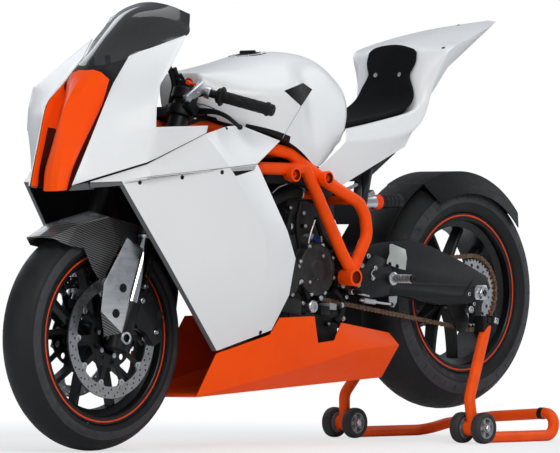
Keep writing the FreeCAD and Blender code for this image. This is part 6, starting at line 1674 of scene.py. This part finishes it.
COVERS, COVER_SIDE = [(0.508, 0.405, 0.072), (0.42, 0.39, 0.0576)], 0.146
COVER_LUGS, LUG_PHASE, LUG_REACH = 8, 0.4, 0.985
CASTINGS = [
    ([(0.300, 0.60), (0.372, 0.625), (0.388, 0.60), (0.318, 0.565)], 0.070, 0.094),
    ([(0.455, 0.605), (0.560, 0.590), (0.572, 0.625), (0.462, 0.640)], 0.062, 0.094),
    ([(0.375, 0.47), (0.43, 0.495), (0.418, 0.52), (0.363, 0.492)], 0.060, 0.100),
    ([(0.40, 0.31), (0.47, 0.30), (0.47, 0.335), (0.40, 0.345)], 0.100, 0.138),
    ([(0.48, 0.245), (0.60, 0.235), (0.60, 0.31), (0.48, 0.30)], -0.10, 0.105),
    ([(0.500, 0.47), (0.535, 0.64), (0.600, 0.63), (0.613, 0.515), (0.631, 0.488), (0.600, 0.43),
      (0.545, 0.44)], -0.075, 0.075),
    ([(0.38, 0.60), (0.43, 0.655), (0.56, 0.640), (0.56, 0.615), (0.47, 0.60)], -0.10, 0.10),
]
FINS, FIN_STEP, FIN_SIDES = 7, 0.0135, (0.086, 0.0945)
BAY_HOSES = [
    ([(268, 204), (283, 196), (300, 193), (313, 198)], 0.112, 0.0155),
    ([(290, 214), (287, 236), (293, 262)], 0.104, 0.012),
    ([(301, 203), (297, 224), (300, 250), (305, 262)], 0.118, 0.0085),
    ([(320, 255), (325, 268), (341, 272)], 0.140, 0.006),
    ([(334, 290), (341, 298), (342, 312), (336, 322)], 0.135, 0.008),
    ([(316, 218), (322, 236), (331, 248)], 0.116, 0.007),
    ([(306, 262), (303, 282), (308, 299)], 0.136, 0.0075),
    ([(283, 268), (282, 288), (290, 304), (305, 312)], 0.126, 0.009),
]
BAY_LEADS = [([(272, 193), (279, 187), (287, 184)], 0.128, 0.0022),
             ([(315, 220), (309, 240), (307, 263)], 0.132, 0.0026), ([(321, 236), (322, 246)], 0.122, 0.003)]
HOSE_CLIPS = [((300, 193), 0.112, 0.0175), ((289, 226), 0.104, 0.0138), ((341, 305), 0.135, 0.0098)]
CLIP_HALF = Vector((0.004, 0, 0))
BAY_SCREWS = [
    ((293.5, 240), 0.105, 0.0045), ((292.5, 245.5), 0.105, 0.004), ((316.5, 271), 0.148, 0.0048),
    ((317, 278), 0.148, 0.0045), ((322.5, 256), 0.142, 0.0052), ((305.5, 226), 0.12, 0.004),
    ((321, 298), 0.146, 0.0052), ((313.5, 277.5), 0.146, 0.003), ((310, 282), 0.146, 0.0035),
    ((343, 286), 0.15, 0.0048), ((346.5, 297), 0.15, 0.0042), ((303, 303), 0.13, 0.004),
    ((343, 318.5), 0.12, 0.0055), ((337, 320), 0.12, 0.0045), ((329, 324), 0.12, 0.004),
    ((291, 208), 0.1, 0.0042), ((304, 213), 0.1, 0.0042), ((316, 196), 0.1, 0.004),
    ((341, 243), 0.08, 0.004), ((336, 247), 0.08, 0.0045),
]
SCREW_POST = 0.034
SLAVE_PIXEL, SLAVE_SIDE = (313.5, 306.5), 0.142
SLAVE = [(-0.030, 0.018), (0.0, 0.018), (0.003, 0.015), (0.003, 0.009), (-0.004, 0.008), (-0.004, 0.0)]
SENSORS, SENSOR_SIDE = [((324, 310.5), 0.014, 3), ((331.5, 306.5), 0.010, 1)], 0.135
SENSOR_CORNERS, SENSOR_STRETCH = [(-1, -1), (1, -0.8), (1, 1), (-1, 0.8)], 1.4
BLUE_PIXELS, BLUE_SIDE = [(313, 237), (318, 243), (323, 249)], 0.118


def cover_profile(reach):
    """A round engine cover: its flange, rim, sunk field and middle boss."""
    return [(-0.029, reach + 0.004), (-0.024, reach + 0.004), (-0.020, reach + 0.0005),
            (-0.002, reach + 0.0005), (0.0022, reach - 0.004), (0.0022, reach * 0.82), (0.0004, reach * 0.78),
            (0.0006, reach * 0.42), (0.006, reach * 0.38), (0.008, reach * 0.32), (0.008, 0.0)]


def make_bay():
    """What fills the space behind the panels: castings, cover rims, hoses, leads and screws."""
    cast, small = Build(), Build()
    for back, up, reach in COVERS:
        face = spot(back, 0, up) + SIDEWAYS * COVER_SIDE
        cast.add_build(turned(face, SIDEWAYS, cover_profile(reach), 56))
        for number in range(COVER_LUGS):
            turn = 2 * math.pi * (number + LUG_PHASE) / COVER_LUGS
            lug = face + ray(turn) * (reach * LUG_REACH) - SIDEWAYS * 0.004
            cast.add_build(bar(lug - SIDEWAYS * 0.022, lug + SIDEWAYS * 0.004, 0.0085, 14, 0.002))
            small.add_build(bolt(lug + SIDEWAYS * 0.004, SIDEWAYS, 0.0042, 0.004), 0)
    for shares, low, high in CASTINGS:
        cast.add_build(prism(outline(shares), low, high))
    for number in range(FINS):
        lift = number * FIN_STEP
        fin = [(0.300 + lift * 0.2, 0.575 - lift * 1.1), (0.376, 0.601 - lift * 1.1),
               (0.376, 0.597 - lift * 1.1), (0.300 + lift * 0.2, 0.571 - lift * 1.1)]
        cast.add_build(prism(outline(fin), *FIN_SIDES))
    piece("bay_castings", cast, "chassis", "engine_metal", bevel=0.0022, angle=40)
    make_bay_hoses()
    for pixel, side, radius in BAY_SCREWS:
        place = beside(pixel, side)
        small.add_build(bar(place - SIDEWAYS * SCREW_POST, place, radius * 1.5, 14, 0.001), 3)
        small.add_build(bolt(place, SIDEWAYS, radius, radius), 0)
    small.add_build(turned(beside(SLAVE_PIXEL, SLAVE_SIDE), SIDEWAYS, SLAVE, 28), 0)
    for pixel, half, kind in SENSORS:
        middle = beside(pixel, SENSOR_SIDE)
        box = [middle + Vector((u * half * SENSOR_STRETCH, 0, w * half)) for u, w in SENSOR_CORNERS]
        small.add_build(prism(box, middle.y - 0.035, middle.y + 0.006), kind)
    blue = [beside(pixel, BLUE_SIDE) for pixel in BLUE_PIXELS]
    small.add_build(swept(blue, lambda share: chamfered(0.006, 0.0075, 0.002)), 2)
    small.add_build(bar(blue[0] - SIDEWAYS * 0.03, blue[0], 0.009, 16, 0.001), 1)
    piece("bay_fittings", small, "chassis", ["bright_metal", "grey_plastic", "blue_anodised", "black_metal"],
          angle=40, bevel=0.0005)


def make_bay_hoses():
    """Hoses, thin bright leads and the clips on the hoses."""
    hoses = Build()
    for runs, sides, kind in ((BAY_HOSES, 12, 0), (BAY_LEADS, 8, 1)):
        for pixels, side, radius in runs:
            hoses.add_build(hose([beside(pixel, side) for pixel in pixels], radius, sides), kind)
    for pixel, side, radius in HOSE_CLIPS:
        middle = beside(pixel, side)
        hoses.add_build(bar(middle - CLIP_HALF, middle + CLIP_HALF, radius, 20, 0.001), 1)
    piece("bay_hoses", hoses, "chassis", ["black_plastic", "bright_metal"], angle=50)


MOUTHS = [((0.1516, 0.193, 0.7428), 0.0195, 0.0145, 0.0085),
          ((0.0190, 0.193, 0.7362), 0.0195, 0.0145, 0.0085),
          ((-0.0985, 0.1925, 0.4656), 0.0245, 0.0175, 0.0)]
# dark strips behind the panel seams: painted shade seen through the gaps
LINERS = [(NOSE, ("jaw", "low", "lobe_low"), UPPER, ("jaw", "low", "lobe"), 0.0075, 0.010),
          (UPPER, ("hem", "slot", "heel"), LOWER, ("hem", "slot", "heel"), 0.010, 0.005)]
# dark sheets inside the fairing, for the ducts there and the shade on its inside
SHROUDS = [
    [(0.20, 0.5, 0.615), (0.245, 0.5, 0.36), (0.262, 0.82, 0.33), (0.195, 0.9, 0.60)],
    [(0.245, 0.5, 0.37), (0.262, 0.82, 0.34), (0.27, 0.66, 0.235), (0.255, 0.4, 0.22)],
    [(0.20, 0.5, 0.605), (0.195, 0.9, 0.595), (0.15, 0.84, 0.665), (0.15, 0.64, 0.675)],
]
BAY_PLATES = [
    [(326, 196), (364, 199), (364, 224.4), (336.6, 224.4)],
    [(348.8, 224.4), (366, 224.4), (366, 250), (342.5, 235.4)],
    [(342.5, 235.4), (366, 250), (350, 262), (338, 246)], [(316, 290), (360, 294), (360, 330), (312, 326)],
]
LIP_PIXELS, LIP_SIDE = [(72.5, 185.6), (94.0, 181.4), (94.0, 189.3), (69.0, 190.8)], 0.096
LIP_INSET, LIP_DEPTH, LIP_SWEEP = 0.0015, 0.014, Vector((0.003, 0, 0))
GRILLE_TOP, GRILLE_FOOT, GRILLE_HALF = (0.2195, 0, 0.596), (0.2555, 0, 0.374), 0.112
GRILLE_BARS, GRILLE_POSTS, POST_START, POST_STEP = 26, 12, -0.11, 0.02


def make_frame_details():
    """Open tube mouths with painted shade in their bores, the panels' inner lips painted shaded grey, the
    dark sheets that close the view and stand for the ducts and the shade inside the fairing and bay, and the
    grille.
    """
    mouths = Build()
    for centre, radius, bore, drilled in MOUTHS:
        profile = [(-0.014, radius), (0.006, radius), (0.0075, radius - 0.0015), (0.0075, bore),
                   (0.0006, bore), (0.0006, drilled)]
        for sign in (1, -1):
            place = Vector((centre[0], sign * centre[1], centre[2]))
            mouths.add_build(turned(place, SIDEWAYS * sign, profile, 40, [0, 0, 0, 1, 1]))
    # the bore and its floor are painted dark orange for the shade inside the tube
    piece("tube_mouths", mouths, "chassis", ["frame_paint", "bore_shade_orange"], angle=40)
    make_lips()
    sheets = Build()
    for corners in SHROUDS:
        sheets.add([spot(*corner) for corner in corners], [(0, 1, 2, 3)])
    for above, high_names, below, low_names, inset, reach in LINERS:
        points = []
        for high_name, low_name in zip(high_names, low_names):
            middle = (spot(*above[high_name]) + spot(*below[low_name])) / 2 - SIDEWAYS * inset
            points += [middle + UP * reach, middle - UP * reach]
        sheets.add(points, strip_faces(len(high_names)))
    # the black sheets stand for ducts and for the shade inside the fairing
    piece("inner_sheets", sheets.both(), "chassis", "black_plastic", wall=0.0015, angle=50)
    # flat dark plates for the dark parts and the painted shade deep in the engine bay
    plates = Build()
    for pixels in BAY_PLATES:
        plates.add([beside(pixel, 0.0) for pixel in pixels], [(0, 1, 2, 3)])
    piece("bay_plates", plates, "chassis", "black_plastic", wall=0.004, angle=50)
    grille = Build()
    top, foot = spot(*GRILLE_TOP), spot(*GRILLE_FOOT)
    for number in range(GRILLE_BARS):
        place = top.lerp(foot, (number + 0.5) / GRILLE_BARS)
        grille.add_build(bar(place - SIDEWAYS * GRILLE_HALF, place + SIDEWAYS * GRILLE_HALF, 0.0018, 6))
    for number in range(GRILLE_POSTS):
        side = SIDEWAYS * (POST_START + POST_STEP * number)
        grille.add_build(bar(top + side, foot + side, 0.0016, 6))
    piece("radiator_grille", grille, "chassis", "dark_metal", angle=50)


def make_lips():
    """The turned-in edges of the panels, painted dark grey for the shade on them."""
    lips = Build()
    points = []
    for name in ("toe", "front", "tip"):
        edge = spot(*LOWER[name]) - SIDEWAYS * LIP_INSET
        points += [edge, edge - SIDEWAYS * LIP_DEPTH + LIP_SWEEP]
    lips.add(points, [(0, 1, 3, 2), (2, 3, 5, 4)])
    jaw, toe = (spot(*UPPER[name]) for name in ("jaw", "toe"))
    inward = (toe - jaw).cross(UP).normalized() * 0.005
    inward = inward if inward.x < 0 else -inward
    lips.add([jaw + inward, toe + inward, toe + inward * 1.4 - UP * 0.012, jaw + inward * 1.4 - UP * 0.016],
             [(0, 1, 2, 3)])
    lips.both()
    lips.add([beside(pixel, LIP_SIDE) for pixel in LIP_PIXELS], [(0, 1, 2, 3)])
    piece("panel_lips", lips, "chassis", "lip_grey", wall=0.002, angle=50)


PEG_PLACE, PEG_SIDE, PEG_LENGTH = (0.7085, 0, 0.386), 0.1665, 0.0758
PEG_RIBS, PEG_START, PEG_STEP, PEG_REACH, PEG_WAIST = 7, 0.010, 0.0094, 0.0122, 0.0088
PEG_FLANGE = [(0.0, 0.0), (0.0, 0.0165), (0.003, 0.0185), (0.009, 0.0185), (0.011, 0.015), (0.011, 0.0)]
PEG_END = [(0.0, 0.0), (0.0, 0.0112), (0.006, 0.0112), (0.009, 0.009), (0.009, 0.0)]
HEEL_GUARD = [(389.5, 244.4), (391.5, 243.8), (405.3, 249.4), (406.8, 258.0), (405.3, 270.2), (396.7, 268.0),
              (386.6, 263.7), (387.0, 260.5), (389.5, 253.7)]
HEEL_SCREWS, HEEL_SIDE, HEEL_SIDES = [(389.6, 264.3), (397.0, 266.4)], 0.167, (0.1655, 0.1685)
REST_PLATE_BOLTS = [(362.0, 265.5), (375.5, 268.0), (373.0, 278.0), (358.5, 285.0), (368.5, 256.0)]
REST_PLATE_HOLES = [(369.5, 283.0), (373.0, 285.0), (376.5, 287.0), (366.5, 286.5), (370.0, 288.5),
                    (373.5, 290.5), (387.0, 275.0), (387.0, 279.0), (368.0, 273.0), (367.0, 277.0)]
REST_PLATE_SIDE, REST_HOLE = 0.165, [(0.0, 0.0042), (0.0006, 0.0036), (0.0002, 0.003), (0.0002, 0.0)]
REST_LINK = [(375.5, 268.0), (371.5, 273.0), (373.0, 278.0)]
SHIFT_PIXELS, SHIFT_SIDE = [(391.5, 304.5), (371.0, 301.5), (360.0, 300.0)], 0.174
SHIFT_ROD_PIXELS, SHIFT_ROD_SIDE = [(352.0, 291.8), (369.0, 296.2)], 0.172
SHIFT_PLATE = [(388.8, 296.5), (397.2, 296.0), (396.5, 302.5), (393.8, 307.3), (390.8, 306.8),
               (389.2, 302.0)]
SHIFT_PLATE_SIDES = (0.170, 0.1725)


def make_footrests():
    """Ribbed pegs, pale heel guards, screws and the gear linkage."""
    steel = Build()
    centre = spot(*PEG_PLACE) + SIDEWAYS * PEG_SIDE
    ribs = [(PEG_START, 0.0)]
    for number in range(PEG_RIBS):
        start = PEG_START + PEG_STEP * number
        ribs += [(start, PEG_REACH), (start + 0.005, PEG_REACH), (start + 0.0062, PEG_WAIST),
                 (start + 0.0082, PEG_WAIST)]
    steel.add_build(turned(centre, SIDEWAYS, ribs + [(PEG_LENGTH, PEG_WAIST)], 32))
    steel.add_build(turned(centre, SIDEWAYS, PEG_FLANGE, 32))
    steel.add_build(turned(centre + SIDEWAYS * PEG_LENGTH, SIDEWAYS, PEG_END, 24), 2)
    guards = prism([beside(pixel, HEEL_SIDE) for pixel in HEEL_GUARD], *HEEL_SIDES)
    piece("heel_guards", guards.both(), "chassis", "pale_metal", bevel=0.0012, angle=40)
    for pixel in HEEL_SCREWS:
        steel.add_build(bolt(beside(pixel, HEEL_SIDES[1]), SIDEWAYS, 0.0048, 0.004), 1)
    for pixel in REST_PLATE_BOLTS:
        steel.add_build(bolt(beside(pixel, REST_PLATE_SIDE), SIDEWAYS, 0.0052, 0.005), 0)
    for pixel in REST_PLATE_HOLES:
        steel.add_build(turned(beside(pixel, REST_PLATE_SIDE), SIDEWAYS, REST_HOLE, 14), 1)
    steel.add_build(hose([beside(pixel, HEEL_SIDES[1]) for pixel in REST_LINK], 0.0018, 8), 0)
    piece("peg_bars", steel.both(), "chassis", ["bright_metal", "black_metal", "dark_metal"], ["footrests"],
          angle=40)
    run = Build()
    places = [beside(pixel, SHIFT_SIDE) for pixel in SHIFT_PIXELS]
    run.add_build(pipe(places, 0.0036, 12))
    sleeve_start, sleeve_end = places[0].lerp(places[1], 0.82), places[1].lerp(places[2], 0.7)
    run.add_build(knurled(sleeve_start, sleeve_end, 0.0072, 0.0008, 2, 5, 30, 24))
    run.add_build(prism([beside(pixel, SHIFT_ROD_SIDE) for pixel in SHIFT_PLATE], *SHIFT_PLATE_SIDES))
    run.add_build(bolt(places[0], SIDEWAYS, 0.0045, 0.005), 1)
    rod = [beside(pixel, SHIFT_ROD_SIDE) for pixel in SHIFT_ROD_PIXELS]
    run.add_build(pipe(rod, 0.003, 12))
    run.add_build(bar(rod[0] - SIDEWAYS * 0.008, rod[0] + SIDEWAYS * 0.006, 0.0075, 20, 0.0015))
    run.add_build(bar(rod[0], rod[0] + SIDEWAYS * 0.040, 0.0062, 20, 0.0015), 1)
    piece("gear_linkage", run.both(), "chassis", ["bright_metal", "black_metal"], ["foot_controls"],
          angle=40)


# Rear end and stand

AXLE_BLOCK = [(-0.024, -0.020), (0.024, -0.020), (0.030, -0.010), (0.030, 0.012), (0.020, 0.022),
              (-0.020, 0.022), (-0.028, 0.010)]
BLOCK_SIDE, BLOCK_SIDES = 0.1455, (0.1445, 0.1515)
REAR_WASHER = [(0.004, 0.0215), (0.0065, 0.0215), (0.0065, 0.0)]
REAR_NUT = [(0.006, 0.0195), (0.0165, 0.0195), (0.018, 0.0175), (0.018, 0.0105), (0.008, 0.0105),
            (0.008, 0.0)]
END_BOLTS, PULL_START, PULL_RUN = [(0.030, -0.032), (0.052, -0.004)], (0.030, 0, -0.002), (0.034, 0, 0.003)
REAR_SPACER, REAR_AXLE_HALF = (0.0805, 0.1225), 0.150
RESERVOIR_START, RESERVOIR_END = (0.63, 0.6, 0.5605), (0.748, 0.6, 0.5675)
RESERVOIR_HEAD = [(0.28, 0.0165), (0.30, 0.0185), (0.34, 0.0185), (0.36, 0.0208), (0.47, 0.0208),
                  (0.49, 0.0178), (0.52, 0.0190)]
RESERVOIR_GROOVES, GROOVE_START, GROOVE_STEP = 4, 0.55, 0.1
RESERVOIR_GROOVE = [(0.0, 0.0190), (0.01, 0.0172), (0.03, 0.0172), (0.04, 0.0190)]
RESERVOIR_TAIL = [(1.0, 0.0190), (1.02, 0.0165), (1.02, 0.0)]
RESERVOIR_BLOCK = [(361.2, 198.5), (373.0, 189.8), (374.5, 193.0), (374.5, 207.2), (364.5, 209.0)]
RESERVOIR_HOLES = [(365.5, 203.0), (369.5, 198.5), (371.0, 206.0)]
RESERVOIR_HOLE = [(0.0, 0.0052), (0.0008, 0.0044), (0.0003, 0.004), (0.0003, 0.0)]
TAIL_STRIP, TAIL_STRIP_SIDE = [(342.5, 191.5), (357.0, 184.5)], 0.135
SPRING_TOP, SPRING_FOOT, SPRING_TURNS, SPRING_STEPS = (0.6, 0, 0.59), (0.66, 0, 0.435), 6, 144
SPRING_RADIUS, SPRING_WIRE, SPRING_START, SPRING_SHARE = 0.031, 0.0052, 0.08, 0.84
RING_BOLT, HOOK_NUT, STAND_BAND = (470.9, 309.7), (495.3, 320.8), (538.6, 413.0)
RING = [(-0.012, 0.0105), (0.002, 0.0105), (0.0035, 0.009), (0.0035, 0.0055), (0.0, 0.005), (0.0, 0.0)]
HOOK = [(0.0, 0.0), (0.0, 0.0115), (0.005, 0.0115), (0.006, 0.010), (0.006, 0.006), (0.001, 0.006),
        (0.001, 0.0)]
ARM_CREASE = [(398.0, 295.6), (430.0, 296.2), (463.0, 296.4), (473.5, 279.0)]
STAND_WHEELS, STAND_WHEEL_SIDE, STAND_WHEEL_GAP, STAND_NUT_GAP = (0.897, 0, 0), 0.243, 0.039, 0.054
STAND_WHEEL_RADIUS = 0.044
STAND_TYRE = [(0.005, 0.044), (0.012, 0.0425), (0.0155, 0.0375), (0.0145, 0.030)]
STAND_NUT = [(0.0, 0.0), (0.0, 0.0095), (0.0035, 0.0095), (0.005, 0.0075), (0.005, 0.0)]
STAR_ARMS, STAR_STEPS, STAR_WIDTH, STAR_SLOPE = 5, 100, 0.27, 0.1
STAR_INNER, STAR_REACH, STAR_BORE, STAR_DEPTH = 0.0125, 0.015, 0.0083, 0.018


def make_rear_axle():
    """The axle with its blocks, nuts, spacers and chain pullers."""
    ends = Build()
    for sign in (1, -1):
        way = SIDEWAYS * sign
        face = REAR_AXLE + SIDEWAYS * sign * BLOCK_SIDE
        low, high = sorted(sign * side for side in BLOCK_SIDES)
        ends.add_build(prism([REAR_AXLE + Vector((u, 0, w)) for u, w in AXLE_BLOCK], low, high), 0)
        ends.add_build(turned(face, way, REAR_WASHER, 32), 0)
        ends.add_build(turned(face, way, REAR_NUT, 6, [0, 0, 0, 0, 1]))
        for u, w in END_BOLTS:
            ends.add_build(bolt(face + Vector((u, 0, w)), way, 0.0065, 0.005), 0)
        pull = face + Vector(PULL_START) - way * 0.006
        ends.add_build(bar(pull, pull + Vector(PULL_RUN), 0.0035, 12), 0)
        spacer = sleeve(*(sign * side for side in REAR_SPACER), SPACER_BORE, AXLE_COLLAR)
        ends.add_build(lathe(REAR_AXLE, SIDEWAYS, spacer, 32))
    half = SIDEWAYS * REAR_AXLE_HALF
    ends.add_build(bar(REAR_AXLE - half, REAR_AXLE + half, AXLE_RADIUS, 24), 0)
    piece("rear_axle_ends", ends, "chassis", ["bright_metal", "black_metal"], ["rear_axle"], bevel=0.0008)


def make_shock():
    """The shock absorber's coil, and its grooved reservoir with its mounting block."""
    block, knob = spot(*RESERVOIR_START), spot(*RESERVOIR_END)
    length = (knob - block).length
    shares = list(RESERVOIR_HEAD)
    for number in range(RESERVOIR_GROOVES):
        start = GROOVE_START + GROOVE_STEP * number
        shares += [(start + share, radius) for share, radius in RESERVOIR_GROOVE]
    shares += RESERVOIR_TAIL
    profile = [(-0.002, 0.0), (-0.002, 0.0165)] + [(length * share, radius) for share, radius in shares]
    kinds = [0] * 4 + [2] * 2 + [1] * (2 + len(RESERVOIR_GROOVE) * RESERVOIR_GROOVES + len(RESERVOIR_TAIL))
    reservoir = turned(block, (knob - block).normalized(), profile, 36, kinds)
    reservoir.add_build(prism([beside(pixel, 0.150) for pixel in RESERVOIR_BLOCK], 0.135, 0.152), 0)
    for pixel in RESERVOIR_HOLES:
        reservoir.add_build(turned(beside(pixel, 0.152), SIDEWAYS, RESERVOIR_HOLE, 16), 1)
    strip = [beside(pixel, TAIL_STRIP_SIDE) for pixel in TAIL_STRIP]
    reservoir.add_build(swept(strip, lambda share: chamfered(0.0035, 0.0042, 0.001)), 0)
    piece("shock_reservoir", reservoir, "chassis", ["bright_metal", "black_metal", "orange_line"])
    top, foot = spot(*SPRING_TOP), spot(*SPRING_FOOT)
    aside, over = frame_of((top - foot).normalized())
    coil = []
    for step in range(SPRING_STEPS + 1):
        turn = 2 * math.pi * SPRING_TURNS * step / SPRING_STEPS
        coil.append(foot + (top - foot) * (SPRING_START + SPRING_SHARE * step / SPRING_STEPS)
                    + (aside * math.cos(turn) + over * math.sin(turn)) * SPRING_RADIUS)
    piece("shock_spring", pipe(coil, SPRING_WIRE, 8), "chassis", "orange_line", angle=60)


def stand_star():
    """The five-armed outline of a stand wheel's hub."""
    star = []
    for step in range(STAR_STEPS):
        turn = 2 * math.pi * step / STAR_STEPS
        phase = abs((turn * STAR_ARMS / (2 * math.pi) + 0.5) % 1 - 0.5)
        share = min(max((STAR_WIDTH - phase) / STAR_SLOPE, 0), 1)
        star.append(polar(STAR_INNER + STAR_REACH * share, turn))
    return star


def make_stand_wheels():
    """Twin small wheels on each side of the stand, and the nuts at their axles' ends."""
    for side, sign in (("left", 1), ("right", -1)):
        hubs, nuts = Build(), Build()
        out = SIDEWAYS * sign
        star = cut_sheet([stand_star(), circle(STAR_BORE, 24)], STAR_DEPTH)
        for shift in (1, -1):
            middle, end = (
                spot(*STAND_WHEELS) + out * (STAND_WHEEL_SIDE + shift * gap) + UP * STAND_WHEEL_RADIUS
                for gap in (STAND_WHEEL_GAP, STAND_NUT_GAP))
            hubs.add_build(lathe(middle, out, whole_profile(STAND_TYRE), 48), 0)
            hubs.add_build(lathe(middle, out, sleeve(-0.012, 0.012, 0.030, 0.0265), 40), 1)
            hubs.add_build(upright(star, middle), 1)
            hubs.add_build(lathe(middle, out, sleeve(-0.013, 0.013, 0.0084, 0.0125), 28), 1)
            nuts.add_build(turned(end, out * shift, STAND_NUT, 6))
        piece(f"stand_hubs_{side}", hubs, f"stand_wheels_{side}", ["stand_tyre", "hub_grey"],
              [f"stand_wheels_{side}"], bevel=0.0005, angle=40)
        piece(f"stand_nuts_{side}", nuts, "chassis", "bright_metal", angle=30)


def make_rear_end():
    """Axle, shock absorber, small fittings, and the stand's band and wheels."""
    make_rear_axle()
    make_shock()
    small = turned(beside(RING_BOLT, 0.151), SIDEWAYS, RING, 28)
    small.add_build(turned(beside(HOOK_NUT, 0.198), SIDEWAYS, HOOK, 4, start=0.6))
    piece("rear_fittings", small.both(), "chassis", "bright_metal")
    place, normal = seen_on(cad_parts["stand_frame"], STAND_BAND)
    band = lathe(place - normal * 0.016, SIDEWAYS, sleeve(-0.008, 0.008, 0.0158, 0.0172), 32)
    piece("stand_band", band, "chassis", "black_plastic")
    seam("arm_crease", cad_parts["swingarm"], ARM_CREASE, 0.0016, "dark_metal")
    make_stand_wheels()


def main():
    make_camera()
    make_world()
    make_floor()
    make_lamps()
    make_finishes()
    dress_solids()
    made = make_panels()
    make_nose()
    make_seat()
    make_panel_details(made)
    make_wheels()
    make_controls()
    make_guards()
    make_front_axle()
    make_brake_fittings()
    make_bay()
    make_frame_details()
    make_bracket()
    make_footrests()
    make_rear_end()


# Solids that stay

KEPT = {
    "fork_feet": ("black_metal", 0.003), "fork_sliders": ("chrome_tube", 0.0),
    "fork_tubes": ("black_metal", 0.001), "yokes": ("black_metal", 0.002),
    "front_calipers": ("black_metal", 0.003),
    "main_frame": ("frame_paint", 0.0015), "engine_crankcase": ("engine_metal", 0.005),
    "engine_cylinders": ("engine_metal", 0.005), "engine_covers": ("black_metal", 0.005),
    "exhaust": ("exhaust_steel", 0.004), "radiator": ("black_metal", 0.002),
    "swingarm": ("black_metal", 0.005), "rear_hugger": ("black_plastic", 0.001),
    "rear_caliper": ("black_metal", 0.003),
    "rear_subframe": ("black_metal", 0.001), "shock_absorber": ("black_metal", 0.001),
    "rearset_plates": ("black_metal", 0.0012), "instruments": ("black_plastic", 0.003),
    "stand_frame": ("stand_paint", 0.0), "stand_hooks": ("black_plastic", 0.002),
    "panel_stays": ("black_metal", 0.0),
}
WELD_GAP, FLAT_ANGLE, EDGE_ANGLE = 0.00002, math.radians(0.8), 32


def dress_solids():
    """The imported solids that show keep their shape, with rounded edges and a finish."""
    for name, (kind, bevel) in KEPT.items():
        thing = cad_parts[name]
        thing.data.materials.clear()
        thing.data.materials.append(finishes[kind])
        weld = thing.modifiers.new("weld", "WELD")
        weld.merge_threshold = WELD_GAP
        if bevel:
            flat = thing.modifiers.new("flat", "DECIMATE")
            flat.decimate_type = "DISSOLVE"
            flat.angle_limit = FLAT_ANGLE
            bevelled(thing, bevel, 2, EDGE_ANGLE)
        shade(thing, 38)


main()
bpy.context.scene.view_settings.view_transform = "Standard"
